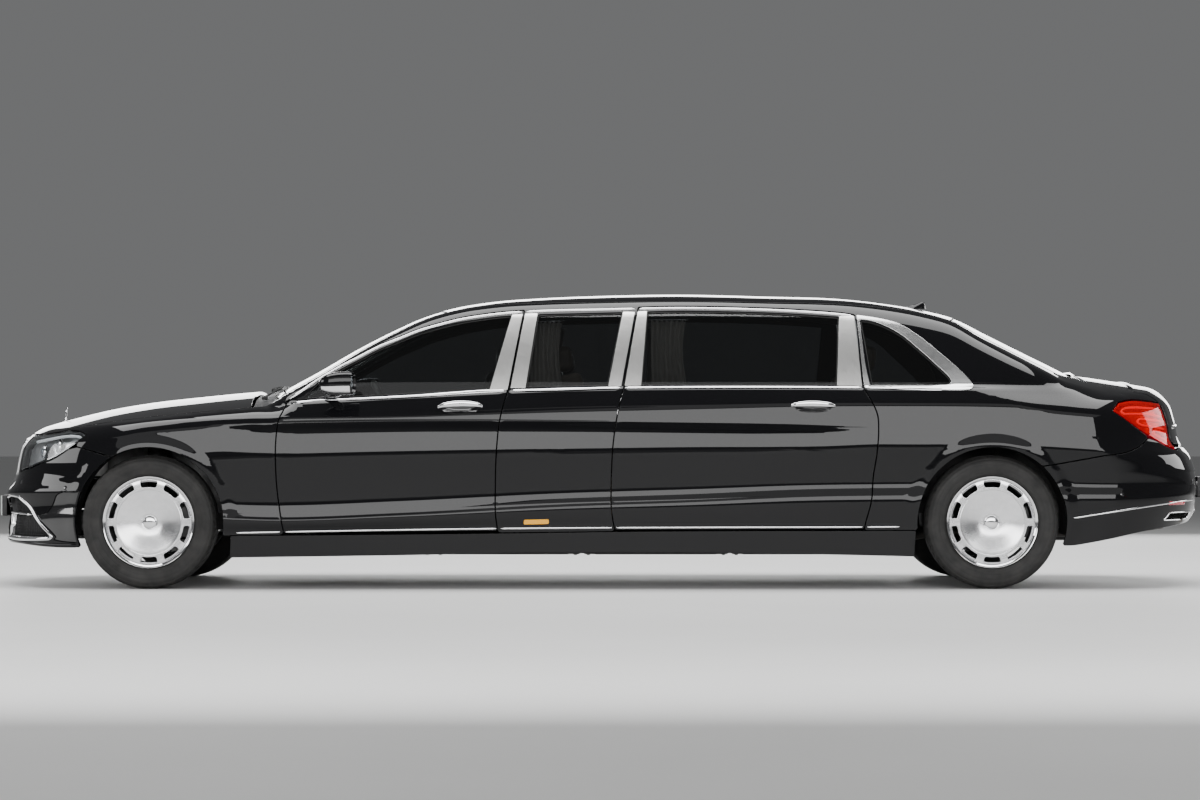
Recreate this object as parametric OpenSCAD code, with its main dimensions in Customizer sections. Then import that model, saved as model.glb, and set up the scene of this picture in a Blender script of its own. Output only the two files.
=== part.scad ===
// Stretch limousine, full size, in millimetres.
// X runs from the nose (-X) to the tail (+X), Y from the left side (-Y) to the right (+Y), Z up from the ground.
// The body is one smooth form: a lower body and a glasshouse, each the space inside a few curves read from short
// tables, joined with soft radii. Every panel is a shell of that form, cut along its real shut lines.

/* [Wheels] */
// Distance between the axles
wheelbase = 4418; // [4410:2:4426]
// Radius of the loaded tyre, which is also the height of the axles
tyre_r = 350; // [346:1:352]
// Width of a tyre
tyre_w = 240; // [225:5:245]
// Radius of the bright rim of the wheel
rim_r = 240; // [232:1:246]
// Half the distance between the tyres' middles
half_track = 800; // [796:1:804]
// Number of slots round a wheel
slots = 10; // [8:1:12]

/* [Body] */
// Gap round doors and lids
gap = 6; // [5:0.5:7]
// Thickness of a door below its window
door_t = 70; // [55:1:78]
// Thickness of a door's window frame
frame_t = 30; // [26:1:34]
// Thickness of a door's outer skin
skin_t = 8; // [6:1:10]
// Thickness of the glass
glass_t = 5; // [4:0.5:6]
// Radius of the wheel arches
arch_r = 393; // [391:1:396]

/* [Cabin] */
// Width of one seat
seat_w = 560; // [500:10:600]
// Height of a seat cushion's top above the ground
seat_h = 560; // [530:5:580]
// Radius of the steering wheel
wheel_r = 188; // [180:1:195]

/* [Hidden] */
mid_axles = -169;
xf = mid_axles - wheelbase / 2;
xr = mid_axles + wheelbase / 2;
king_y = 710;

// ---- smooth curves through tables: column 0 is the position, column c the value ----
function seg(t, x, i = 0) = (i >= len(t) - 2 || x < t[i + 1][0]) ? i : seg(t, x, i + 1);
function chord(t, i, c) = (t[i + 1][c] - t[i][c]) / (t[i + 1][0] - t[i][0]);
function slope(t, i, c) = i <= 0 ? chord(t, 0, c) : i >= len(t) - 1 ? chord(t, len(t) - 2, c)
    : let (a = t[i][0] - t[i - 1][0], b = t[i + 1][0] - t[i][0]) (chord(t, i - 1, c) * b + chord(t, i, c) * a) / (a + b);
function curve(t, x, c = 1) = let (i = seg(t, x), h = t[i + 1][0] - t[i][0], u = min(1, max(0, (x - t[i][0]) / h)),
    u2 = u * u, u3 = u2 * u)
    (2 * u3 - 3 * u2 + 1) * t[i][c] + (u3 - 2 * u2 + u) * h * slope(t, i, c)
    + (3 * u2 - 2 * u3) * t[i + 1][c] + (u3 - u2) * h * slope(t, i + 1, c);

// heights of the body's long lines: x, trim strip, low crease, widest, waist line, shoulder, belt
LINES = [
    [-3100, 290, 400, 560, 760, 830, 900],
    [-2691, 290, 400, 600, 812, 870, 940],
    [-2315, 292, 400, 640, 849, 890, 960],
    [-1714, 298, 372, 675, 870, 905, 975],
    [-1061, 310, 395, 697, 880, 915, 1009],
    [-224, 320, 440, 716, 880, 945, 1048],
    [509, 323, 465, 728, 872, 961, 1058],
    [1032, 325, 488, 728, 864, 972, 1058],
    [1633, 327, 497, 728, 850, 973, 1054],
    [2078, 327, 500, 728, 850, 969, 1054],
    [2664, 330, 500, 700, 800, 938, 1040],
    [3100, 330, 500, 660, 780, 920, 1030]];
// half width at each long line, 0 at the sill's foot and 6 at the belt
FLANK = [[0, 884], [1, 906], [2, 927], [2.18, 917], [2.6, 926], [3, 938], [3.7, 934], [4, 929], [5, 918], [6, 868]];
// how much narrower the body is along its length
TAPER = [[-3250, 110], [-2900, 45], [-2600, 18], [-2378, 8], [-2000, 4], [-1500, 0], [1500, 0], [2040, 6], [2400, 22],
    [2800, 60], [3250, 125]];
// nose and tail seen from the side: height, x
NOSE = [[150, -3150], [213, -3193], [241, -3231], [296, -3243], [384, -3232], [483, -3248], [505, -3248], [549, -3215],
    [587, -3198], [670, -3182], [752, -3160], [802, -3132], [860, -3070], [920, -2980]];
TAIL = [[200, 3150], [318, 3180], [384, 3225], [450, 3240], [604, 3240], [642, 3228], [714, 3195], [741, 3170],
    [890, 3122], [972, 3094], [1044, 3045], [1100, 2990]];
// hood and deck along the middle: x, height, share of the hood's fall to the sides, share of the deck's
DECK = [[-3200, 770, 1, 0], [-3121, 807, 1, 0], [-3094, 829, 1, 0], [-2984, 868, 1, 0], [-2874, 898, 1, 0],
    [-2654, 950, 1, 0], [-2434, 986, 1, 0], [-2214, 1011, 1, 0], [-1994, 1033, 1, 0], [-1840, 1046, 1, 0],
    [-1700, 1056, 1, 0], [-1500, 1110, 0, 0], [1800, 1130, 0, 0], [2300, 1132, 0, 0.8], [2559, 1128, 0, 1],
    [2735, 1104, 0, 1], [2955, 1068, 0, 1], [3010, 1058, 0, 1], [3045, 1040, 0, 1], [3100, 1000, 0, 1]];
// glasshouse along the middle: x, height
ROOF = [[-1860, 970], [-1760, 1034], [-1664, 1088], [-1554, 1148], [-1334, 1275], [-1114, 1387], [-1004, 1437],
    [-894, 1475], [-784, 1503], [-674, 1522], [-564, 1536], [-344, 1552], [-14, 1566], [425, 1573], [865, 1563],
    [1305, 1547], [1525, 1522], [1745, 1486], [1937, 1434], [2075, 1365], [2295, 1255], [2515, 1145], [2640, 1075],
    [2800, 980]];
// glasshouse along x: taper, bow of the screens, crown, edge radius, radius to the lower body
HOUSE = [[-1900, 75, -60, 15, 40, 20], [-1660, 45, -60, 15, 45, 6], [-1200, 15, -60, 15, 50, 4], [-700, 0, -50, 25, 70, 4],
    [-200, 0, 0, 32, 90, 4], [1000, 0, 0, 32, 90, 4], [1500, 8, 0, 30, 90, 4], [1700, 15, 50, 30, 85, 6],
    [2000, 30, 100, 28, 70, 40], [2400, 75, 100, 28, 60, 80], [2700, 130, 100, 28, 60, 80]];

function fillet(a, b, r) = r - sqrt(pow(max(r - a, 0), 2) + pow(max(r - b, 0), 2));
function cove(a, b, r) = -fillet(-a, -b, r);
// place of a height among the long lines
function rung(L, z) = z <= L[1] ? (z - 170) / (L[1] - 170) : z <= L[2] ? 1 + (z - L[1]) / (L[2] - L[1])
    : z <= L[3] ? 2 + (z - L[2]) / (L[3] - L[2]) : z <= L[4] ? 3 + (z - L[3]) / (L[4] - L[3])
    : z <= L[5] ? 4 + (z - L[4]) / (L[5] - L[4]) : 5 + (z - L[5]) / (L[6] - L[5]);
function lines(x) = [for (c = [0:6]) c == 0 ? x : curve(LINES, x, c)];
function flank(x, z, L) = curve(FLANK, rung(L, z)) - curve(TAPER, x) - 3 * max(0, z - L[6]);
function deck(x, y) = curve(DECK, x, 1) - 80 * curve(DECK, x, 2) * pow(abs(y) / 750, 2.2)
    - 164 * curve(DECK, x, 3) * pow(abs(y) / 880, 3);
// depth inside the lower body, and inside the glasshouse
function tub(x, y, z, L) = let (a = abs(y),
    nose = x - curve(NOSE, z) - 60 * pow(a / 450, 2), tail = curve(TAIL, z) - 85 * pow(a / 500, 2) - x,
    wall = fillet(fillet(flank(x, z, L) - a, nose, 420), tail, 300))
    fillet(wall, deck(x, y) - z, 60);
function house_top(x, y, H) = curve(ROOF, x + H[2] * pow(y / 700, 2)) - H[3] * pow(y / 600, 2);
function house(x, y, z, H) = fillet(862 - 0.3 * (z - 1050) - 0.00042 * pow(z - 1050, 2) - H[1] - abs(y),
    house_top(x, y, H) - z, H[4]);
function housing(x) = [for (c = [0:5]) c == 0 ? x : curve(HOUSE, x, c)];
function depth(x, y, z, L, H) = x < -1900 || x > 2790 ? tub(x, y, z, L) : cove(tub(x, y, z, L), house(x, y, z, H), H[5]);
// where a line from o along d leaves the form: which = 0 all, 1 lower body, 2 glasshouse
function at(p, which) = which == 1 ? tub(p.x, p.y, p.z, lines(p.x)) : which == 2 ? house(p.x, p.y, p.z, housing(p.x))
    : depth(p.x, p.y, p.z, lines(p.x), housing(p.x));
function leave(o, d, lo, hi, which = 0, n = 13) = n == 0 ? (lo + hi) / 2
    : let (m = (lo + hi) / 2) at(o + d * m, which) > 0 ? leave(o, d, m, hi, which, n - 1) : leave(o, d, lo, m, which, n - 1);
function side_y(x, z) = leave([x, 0, z], [0, -1, 0], 0, 1000);

// ---- shells ----
// closed shell between an outer and an inner grid of points, rows by columns
module shell(A, B) {
    n = len(A); m = len(A[0]); k = n * m;
    function id(i, j) = i * m + j;
    points = concat([for (r = A) each r], [for (r = B) each r]);
    polyhedron(points, concat(
        [for (i = [0:n - 2], j = [0:m - 2]) each [[id(i, j), id(i, j + 1), id(i + 1, j + 1)],
            [id(i, j), id(i + 1, j + 1), id(i + 1, j)]]],
        [for (i = [0:n - 2], j = [0:m - 2]) each [[k + id(i, j), k + id(i + 1, j + 1), k + id(i, j + 1)],
            [k + id(i, j), k + id(i + 1, j), k + id(i + 1, j + 1)]]],
        [for (i = [0:n - 2]) each [[id(i, 0), id(i + 1, 0), k + id(i + 1, 0)], [id(i, 0), k + id(i + 1, 0), k + id(i, 0)],
            [id(i + 1, m - 1), id(i, m - 1), k + id(i, m - 1)], [id(i + 1, m - 1), k + id(i, m - 1), k + id(i + 1, m - 1)]]],
        [for (j = [0:m - 2]) each [[id(0, j + 1), id(0, j), k + id(0, j)], [id(0, j + 1), k + id(0, j), k + id(0, j + 1)],
            [id(n - 1, j), id(n - 1, j + 1), k + id(n - 1, j + 1)], [id(n - 1, j), k + id(n - 1, j + 1), k + id(n - 1, j)]]]));
}
module formed() { resize([0, 0, 0]) children(); }
// left side shell over stations xs and columns zs, from depth t0 to depth t1 at each column; a column is a height met
// straight from the side or, when negative, minus the angle of a ray that climbs from a line inside the shoulder
function ray_o(x, c) = c < 0 ? [x, -400, 950] : [x, 0, c];
function ray_d(c) = c < 0 ? [0, -cos(-c), sin(-c)] : [0, -1, 0];
module side_shell(xs, zs, t0, t1) {
    R = [for (x = xs) [for (c = zs) leave(ray_o(x, c), ray_d(c), 0, 1000)]];
    function p(i, j, t) = ray_o(xs[i], zs[j]) + ray_d(zs[j]) * (R[i][j] - t);
    shell([for (i = [0:len(xs) - 1]) [for (j = [0:len(zs) - 1]) p(i, j, t0)]],
        [for (i = [0:len(xs) - 1]) [for (j = [0:len(zs) - 1]) p(i, j, is_num(t1) ? t1 : t1[j])]]);
}
// shell round the nose (f = -1) or tail (f = 1): angles from the middle, heights, thickness
module end_shell(f, x0, angles, zs, t0, t1) {
    R = [for (a = angles) [for (z = zs) leave([x0, 0, z], [f * cos(a), -sin(a), 0], 50, 1400, 1)]];
    function p(i, j, t) = [x0 + f * (R[i][j] - t) * cos(angles[i]), -(R[i][j] - t) * sin(angles[i]), zs[j]];
    A = [for (i = [0:len(angles) - 1]) [for (j = [0:len(zs) - 1]) p(i, j, t0)]];
    B = [for (i = [0:len(angles) - 1]) [for (j = [0:len(zs) - 1]) p(i, j, t1)]];
    if (f > 0) shell([for (i = [len(A) - 1:-1:0]) A[i]], [for (i = [len(A) - 1:-1:0]) B[i]]); else shell(A, B);
}
// shell seen from above: rows of [x, half width, bow], shares of the half width, depths, form
module top_shell(rows, shares, t0, t1, which) {
    function px(r, s) = r[0] + r[2] * s * s;
    Z = [for (r = rows) [for (s = shares) leave([px(r, s), r[1] * s, 600], [0, 0, 1], 0, 1100, which)]];
    shell([for (i = [0:len(rows) - 1]) [for (j = [0:len(shares) - 1]) [px(rows[i], shares[j]), rows[i][1] * shares[j], 600 + Z[i][j] - t0]]],
        [for (i = [0:len(rows) - 1]) [for (j = [0:len(shares) - 1]) [px(rows[i], shares[j]), rows[i][1] * shares[j], 600 + Z[i][j] - t1]]]);
}
// a side view outline, cut right through one side
module cutter(pts, grow = 0) { translate([0, 100, 0]) rotate([90, 0, 0]) linear_extrude(1300) offset(delta = grow) polygon(pts); }
module both() { children(); mirror([0, 1, 0]) children(); }
module right() { mirror([0, 1, 0]) children(); }
function steps(a, b, n) = [for (i = [0:n]) a + (b - a) * i / n];

// ---- outlines in side view: x, z ----
FRONT_DOOR = [[-1673, 291], [-1704, 493], [-1713, 640], [-1712, 781], [-1699, 885], [-1680, 930], [-1660, 985], [-1603, 1036],
    [-1497, 1112], [-1391, 1176], [-1285, 1231], [-1179, 1287], [-1074, 1329], [-968, 1372], [-862, 1403], [-756, 1430],
    [-650, 1448], [-544, 1462], [-412, 1472], [-491, 1048], [-511, 990], [-538, 875], [-553, 728], [-559, 571], [-559, 404],
    [-548, 301]];
FRONT_WINDOW = [[-1570, 1000], [-1497, 1085], [-1391, 1149], [-1285, 1204], [-1179, 1260], [-1074, 1302], [-968, 1345],
    [-862, 1376], [-756, 1403], [-650, 1421], [-544, 1435], [-480, 1440], [-592, 1046], [-1064, 1021], [-1327, 1008]];
MIDDLE_WINDOW = [[-343, 1447], [107, 1458], [27, 1067], [-403, 1058]];
REAR_DOOR = [[60, 306], [43, 414], [43, 598], [51, 754], [69, 885], [90, 990], [106, 1048], [187, 1488], [409, 1493],
    [833, 1485], [1045, 1475], [1256, 1459], [1337, 1447], [1370, 1060], [1408, 990], [1440, 911], [1445, 833], [1435, 702],
    [1419, 598], [1408, 467], [1377, 340], [1372, 310]];
REAR_WINDOW = [[235, 1462], [409, 1466], [833, 1458], [1045, 1448], [1252, 1433], [1229, 1070], [201, 1069]];
QUARTER_WINDOW = [[1364, 1415], [1400, 1412], [1463, 1395], [1569, 1340], [1674, 1250], [1754, 1176], [1822, 1108],
    [1833, 1085], [1815, 1071], [1412, 1071]];
HEADLAMP = [[-2711, 812], [-2753, 829], [-2832, 834], [-2911, 826], [-3047, 803], [-3300, 770], [-3300, 610], [-3052, 631],
    [-3004, 650], [-2911, 680], [-2858, 707], [-2806, 738], [-2753, 775]];
TAIL_LAMP = [[2674, 938], [2716, 983], [2790, 997], [2900, 990], [3000, 975], [3300, 965], [3300, 745], [3060, 735],
    [3021, 739], [2926, 781], [2821, 838], [2743, 891]];
FRONT_BUMPER = [[-3400, 100], [-3400, 575], [-3150, 575], [-3100, 625], [-3052, 625], [-3004, 644], [-2911, 674], [-2858, 701],
    [-2806, 732], [-2772, 747], [-2633, 713], [-2500, 680], [-2500, 100]];
REAR_BUMPER = [[3400, 100], [3400, 735], [3060, 731], [3018, 733], [2922, 776], [2876, 796], [2840, 760], [2761, 723],
    [2604, 697], [2395, 660], [2200, 630], [2200, 100]];
module arch(x, r = arch_r) { translate([x, 0, tyre_r]) rotate([90, 0, 0]) cylinder(r = r, h = 1200, $fn = 64); }
// hood in plan: x in the middle, half width, how far its edge sweeps back
HOOD = [[-3104, 420, 55], [-3060, 520, 48], [-3000, 600, 40], [-2900, 680, 30], [-2750, 740, 20], [-2600, 765, 20],
    [-2300, 785, 20], [-2000, 795, 20], [-1872, 799, 20]];

// ---- body ----
PANEL_XS = [-1716, -1640, -1540, -1420, -1280, -1140, -1000, -850, -650, -400, 0, 450, 900, 1250, 1420, 1560, 1680, 1790, 1900,
    2040, 2180, 2300, 2420, 2540, 2650, 2760, 2860, 2960];
module side_panels() color([0.015, 0.015, 0.017]) both() formed() difference() {
    side_shell(PANEL_XS, concat([172, 230, 292, 330, 400, 450, 520, 600, 700, 800, 860, 905, 950], [for (a = [7:7:84]) -a]), 0, 52);
    cutter(FRONT_DOOR); cutter(REAR_DOOR); cutter(MIDDLE_WINDOW); cutter(QUARTER_WINDOW);
    cutter([[-1800, 250], [-1663, 250], [-1663, 291], [-1704, 493], [-1713, 640], [-1712, 781], [-1699, 885], [-1680, 930],
        [-1660, 985], [-1668, 1000], [-1700, 1300], [-1900, 1300], [-1900, 250]], gap);
    arch(xr); cutter(TAIL_LAMP, gap); cutter(REAR_BUMPER, gap / 2);
    // the roof panel, screens and deck lid take the middle
    linear_extrude(2500) polygon(concat([[-2200, 200], [-2200, -760]], [for (r = SCREEN) [r[0] + r[2], -r[1] - 4]],
        [[-860, -600], [1880, -600], [1920, -589], [3400, -589], [3400, 200]]));
}
// windscreen, roof and rear window in plan: x in the middle, half width, how far the sides sweep back
SCREEN = [for (i = [0:7]) [-1775 + i * 110 + i * 14, 722 - i * 17.4, 60]];
module roof_panel() color([0.015, 0.015, 0.017]) {
    formed() top_shell([[-878, 596, 56], [-760, 596, 50], [-640, 596, 40], [-480, 596, 20], [-280, 596, 0], [0, 596, 0], [400, 596, 0],
        [800, 596, 0], [1200, 596, 0], [1450, 596, -10], [1650, 596, -30], [1800, 590, -45], [1910, 584, -60]],
        [-1, -0.85, -0.6, -0.3, 0, 0.3, 0.6, 0.85, 1], 0, 22, 2);
}
module windscreen() color([0.1, 0.12, 0.12, 0.5]) formed() top_shell([for (r = SCREEN) [r[0], r[1] - 2, r[2]]],
    [-1, -0.85, -0.6, -0.3, 0, 0.3, 0.6, 0.85, 1], 3, 3 + glass_t, 2);
module rear_window() color([0.05, 0.05, 0.05, 0.6]) formed() top_shell([for (i = [0:5]) [1916 + i * 125, 583, -60 + i * 4]],
    [-1, -0.85, -0.6, -0.3, 0, 0.3, 0.6, 0.85, 1], 3, 3 + glass_t, 2);
module fixed_side_windows() color([0.05, 0.05, 0.05, 0.6]) both() formed() {
    intersection() { side_shell([-420, -200, 0, 120], [1040, 1100, 1200, 1300, 1400, 1470], 10, 10 + glass_t); cutter(MIDDLE_WINDOW, -0.5); }
    intersection() { side_shell([1340, 1450, 1560, 1700, 1850], [1040, 1100, 1200, 1300, 1400, 1440], 10, 10 + glass_t); cutter(QUARTER_WINDOW, -0.5); }
}
module front_fenders() color([0.015, 0.015, 0.017]) both() formed() difference() {
    side_shell([-3010, -2960, -2900, -2830, -2750, -2650, -2520, -2378, -2230, -2100, -1980, -1860, -1780, -1713],
        [172, 240, 300, 370, 450, 560, 660, 740, 800, 840, 870, 895, 915, 935, 955, 975], 0, 24);
    cutter([[-1663, 100], [-1663, 291], [-1704, 493], [-1713, 640], [-1712, 781], [-1699, 885], [-1680, 930], [-1660, 985],
        [-1668, 1000], [-1700, 1300], [-1500, 1300], [-1500, 100]], gap);
    cutter(HEADLAMP, gap); cutter(FRONT_BUMPER, gap); arch(xf);
    cutter([[-2200, 100], [-1500, 100], [-1500, 286], [-1970, 278], [-2200, 278]]);
    linear_extrude(1500) polygon(concat([[-3400, 200]], [for (r = HOOD) [r[0] + r[2] - gap, -r[1] - gap]], [[-1700, -806], [-1700, 200]]));
    translate([-3400, -560, 0]) cube([2000, 760, 1500]);
}
module hood() color([0.015, 0.015, 0.017]) formed() top_shell(HOOD,
    [-1, -0.9, -0.75, -0.5, -0.25, 0, 0.25, 0.5, 0.75, 0.9, 1], 0, 20, 1);
// shell of the lower body over angles in planes of constant y, seen from an inner line at x0, z0
module lid_shell(ys, angles, x0, z0, t) {
    R = [for (y = ys) [for (a = angles) leave([x0, y, z0], [cos(a), 0, sin(a)], 50, 900, 1)]];
    function p(i, j, t) = [x0 + (R[i][j] - t) * cos(angles[j]), ys[i], z0 + (R[i][j] - t) * sin(angles[j])];
    shell([for (i = [0:len(ys) - 1]) [for (j = [0:len(angles) - 1]) p(i, j, 0)]],
        [for (i = [0:len(ys) - 1]) [for (j = [0:len(angles) - 1]) p(i, j, t)]]);
}
module trunk_lid() color([0.015, 0.015, 0.017]) formed()
    lid_shell([583, 500, 350, 170, 0, -170, -350, -500, -583],
        [112, 98, 82, 70, 60, 52, 46, 41, 36, 31, 25, 18, 10, 2, -6.5], 2700, 800, 22);
// a front view outline, cut along X at the nose
module front_cut(pts) { translate([-3500, 0, 0]) rotate([90, 0, 90]) linear_extrude(900) polygon(pts); }
GRILLE = [[-366, 590], [-392, 752], [-380, 778], [-350, 788], [350, 788], [380, 778], [392, 752], [366, 590]];
INTAKE = [[-330, 268], [-352, 300], [-330, 352], [330, 352], [352, 300], [330, 268]];
SIDE_INTAKE = [[-395, 262], [-770, 258], [-745, 310], [-650, 430], [-590, 478], [-430, 478], [-400, 440]];
module front_bumper() color([0.015, 0.015, 0.017]) formed() difference() {
    end_shell(-1, -2350, [for (a = [-86:8.6:86]) a], [214, 235, 265, 300, 350, 400, 450, 485, 505, 530, 560, 600, 660, 730, 785], 0, 22);
    both() difference() {
        cutter([[-3600, -100], [-3600, 1200], [-1500, 1200], [-1500, -100]]);
        cutter(FRONT_BUMPER);
        translate([-3500, -474, 500]) cube([900, 574, 600]);
    }
    both() arch(xf);
    front_cut(GRILLE); front_cut(INTAKE); front_cut(SIDE_INTAKE); mirror([0, 1, 0]) front_cut(SIDE_INTAKE);
    // room for the hood
    translate([0, 0, 700]) linear_extrude(300) both() polygon(concat([[-3110, 0]], [for (r = HOOD) [r[0] + r[2] - gap, -r[1] - gap]], [[-1700, 0]]));
}
module rear_bumper() color([0.015, 0.015, 0.017]) formed() difference() {
    end_shell(1, 2300, [for (a = [-86:8.6:86]) a], [222, 260, 300, 340, 390, 450, 520, 600, 640, 680, 720, 760, 800], 0, 22);
    both() difference() { cutter([[1500, -100], [1500, 1200], [3600, 1200], [3600, -100]]); cutter(REAR_BUMPER); }
    both() arch(xr);
    both() cutter([[2300, 100], [2400, 222], [2470, 224], [2874, 300], [3200, 345], [3400, 350], [3400, 100]]);
}
module radiator_grille() color([0.8, 0.8, 0.8]) formed() {
    difference() {
        intersection() {
            end_shell(-1, -2350, [for (a = [-32:4:32]) a], [570, 640, 700, 760, 790], -6, 30);
            translate([-3500, 0, 0]) rotate([90, 0, 90]) linear_extrude(900) offset(delta = -2) polygon(GRILLE);
        }
        translate([-3600, 0, 0]) rotate([90, 0, 90]) linear_extrude(1200) offset(delta = -26) polygon(GRILLE);
    }
    for (i = [0:3]) intersection() {
        end_shell(-1, -2350, [for (a = [-32:4:32]) a], [600, 700, 800], 4, 40);
        translate([-3300, -372, 634 + i * 42]) cube([600, 744, 14]);
    }
}
module headlamps() color([0.8, 0.85, 0.9, 0.6]) both() formed() difference() {
    intersection() {
        end_shell(-1, -2450, [for (a = [32:6:80]) a], [600, 640, 680, 720, 760, 800, 820, 840], 2, 50);
        cutter(HEADLAMP, -1);
        translate([-3300, -1000, 500]) cube([700, 1000 - 480, 500]);
    }
    translate([0, 0, 700]) linear_extrude(300) polygon(concat([[-3110, 0]], [for (r = HOOD) [r[0] + r[2] - gap, -r[1] - gap]], [[-1700, 0]]));
}
module tail_lamps() color([0.6, 0.01, 0.02]) both() formed() intersection() {
    end_shell(1, 2400, [for (a = [34:6:82]) a], [725, 760, 800, 840, 880, 920, 950, 980, 1000], 2, 50);
    cutter(TAIL_LAMP, -1);
    translate([2500, -1000, 500]) cube([800, 1000 - 589, 500]);
}
// ---- doors ----
DOOR_ZS = [285, 325, 400, 450, 520, 600, 700, 800, 860, 905, 945, 985, 1020, 1050, 1100, 1200, 1300, 1400, 1450, 1500];
module door(outline, window, xs) color([0.015, 0.015, 0.017]) formed() difference() {
    union() {
        intersection() { side_shell(xs, DOOR_ZS, 0, skin_t); cutter(outline, -gap); }
        intersection() { side_shell(xs, DOOR_ZS, skin_t - 1, [for (z = DOOR_ZS) z < 1010 ? door_t : frame_t]); cutter(outline, -gap - 14); }
    }
    cutter(window);
}
module door_glass(window, xs) color([0.05, 0.05, 0.05, 0.6]) formed() intersection() {
    side_shell(xs, [980, 1050, 1150, 1250, 1350, 1450, 1480], 10, 10 + glass_t);
    cutter(window, -0.5);
}
FD_XS = [-1716, -1650, -1580, -1480, -1360, -1200, -1000, -800, -600, -400];
RD_XS = [40, 150, 300, 500, 750, 1000, 1200, 1330, 1400, 1450];
module front_door() door(FRONT_DOOR, FRONT_WINDOW, FD_XS);
module rear_door() door(REAR_DOOR, REAR_WINDOW, RD_XS);
module door_mirror() color([0.015, 0.015, 0.017]) formed() {
    hull() {
        translate([-1452, -985, 1060]) sphere(r = 26, $fn = 16);
        translate([-1440, -1040, 1075]) sphere(r = 20, $fn = 16);
        translate([-1345, -975, 1100]) sphere(r = 34, $fn = 16);
        translate([-1345, -1062, 1100]) sphere(r = 28, $fn = 16);
        translate([-1325, -975, 1045]) sphere(r = 34, $fn = 16);
        translate([-1325, -1070, 1050]) sphere(r = 26, $fn = 16);
    }
    hull() {
        translate([-1420, -862, 1020]) sphere(r = 14, $fn = 16);
        translate([-1360, -862, 1020]) sphere(r = 14, $fn = 16);
        translate([-1400, -970, 1048]) sphere(r = 16, $fn = 16);
        translate([-1350, -970, 1040]) sphere(r = 16, $fn = 16);
    }
}
// ---- wheels ----
module tyre_at(x, y) color([0.03, 0.03, 0.03]) translate([x, y, tyre_r]) rotate([90, 0, 0]) rotate_extrude($fn = 96)
    polygon([[rim_r + 1, -tyre_w / 2 + 12], [rim_r + 12, -tyre_w / 2 + 4], [tyre_r - 60, -tyre_w / 2], [tyre_r - 25, -tyre_w / 2 + 5],
        [tyre_r - 8, -tyre_w / 2 + 18], [tyre_r, -tyre_w / 2 + 40], [tyre_r, tyre_w / 2 - 40], [tyre_r - 8, tyre_w / 2 - 18],
        [tyre_r - 25, tyre_w / 2 - 5], [tyre_r - 60, tyre_w / 2], [rim_r + 12, tyre_w / 2 - 4], [rim_r + 1, tyre_w / 2 - 12]]);
// a wheel whose outer face looks along s * Y, with its hub and brake disc in one piece and a bore for the spindle
module wheel_at(x, y, s) color([0.7, 0.7, 0.72]) translate([x, y, tyre_r]) rotate([s > 0 ? -90 : 90, 0, 0]) difference() {
    rotate_extrude($fn = 96) polygon([[0, 66], [0, -55], [70, -55], [70, -46], [168, -46], [168, -20], [90, -20], [90, -10],
        [74, 40], [150, 78], [178, 80], [214, 90], [214, -95], [228, -108], [rim_r, -108], [rim_r, 108], [228, 108], [222, 100],
        [176, 98], [150, 96], [60, 66]]);
    for (i = [0:slots - 1]) rotate(i * 360 / slots + 18) translate([196, 0, 40]) linear_extrude(100) {
        square([24, 46], center = true); for (k = [-1, 1]) translate([0, k * 23]) circle(r = 12, $fn = 24);
    }
    translate([0, 0, -60]) cylinder(r = 25.05, h = 85, $fn = 48);
}
// the part that carries the left hub at x: barrel, spindle and brake caliper
module carrier(x) {
    translate([x, -king_y, tyre_r]) rotate([90, 0, 0]) {
        translate([0, 0, -8]) cylinder(r = 52, h = 35, $fn = 48);
        cylinder(r = 25, h = 110, $fn = 48);
    }
    translate([x + 90, -792, tyre_r - 70]) difference() { cube([96, 92, 140]); translate([-1, 5, -1]) cube([86, 42, 142]); }
    translate([x - 30, -718, tyre_r - 24]) cube([130, 20, 48]);
}
module knuckle() color([0.35, 0.35, 0.36]) {
    carrier(xf);
    translate([xf - 24, -722, tyre_r - 132]) cube([48, 24, 264]);
    translate([xf - 150, -718, tyre_r - 50]) cube([130, 16, 30]);
}
module front_suspension() color([0.12, 0.12, 0.12]) {
    both() {
        translate([xf, -680, tyre_r - 145]) rotate([-90, 0, 0]) cylinder(r = 15, h = 250, $fn = 24);
        translate([xf, -560, tyre_r - 150]) cylinder(r = 42, h = 640, $fn = 32);
        translate([xf - 14, -680, tyre_r + 112]) cube([28, 120, 18]);
    }
    translate([xf - 60, -440, tyre_r - 170]) cube([120, 880, 50]);
    for (s = [-1, 1]) translate([xf - 10, s * 420 - 20, tyre_r - 130]) cube([20, 40, 80]);
}
module rear_suspension() color([0.12, 0.12, 0.12]) {
    both() {
        carrier(xr);
        translate([xr - 118, -716, tyre_r - 152]) cube([236, 22, 60]);
        translate([xr - 40, -716, tyre_r - 152]) cube([80, 22, 150]);
        translate([xr, -700, tyre_r]) rotate([-90, 0, 0]) cylinder(r = 22, h = 600, $fn = 24);
        translate([xr - 112, -700, tyre_r - 150]) cube([30, 420, 24]);
        translate([xr + 82, -700, tyre_r - 150]) cube([30, 420, 24]);
        translate([xr - 90, -560, tyre_r - 150]) cylinder(r = 45, h = 410, $fn = 32);
    }
    translate([xr - 150, -290, tyre_r - 165]) cube([300, 580, 50]);
    translate([xr - 110, -120, tyre_r - 115]) cube([220, 240, 220]);
}
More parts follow.
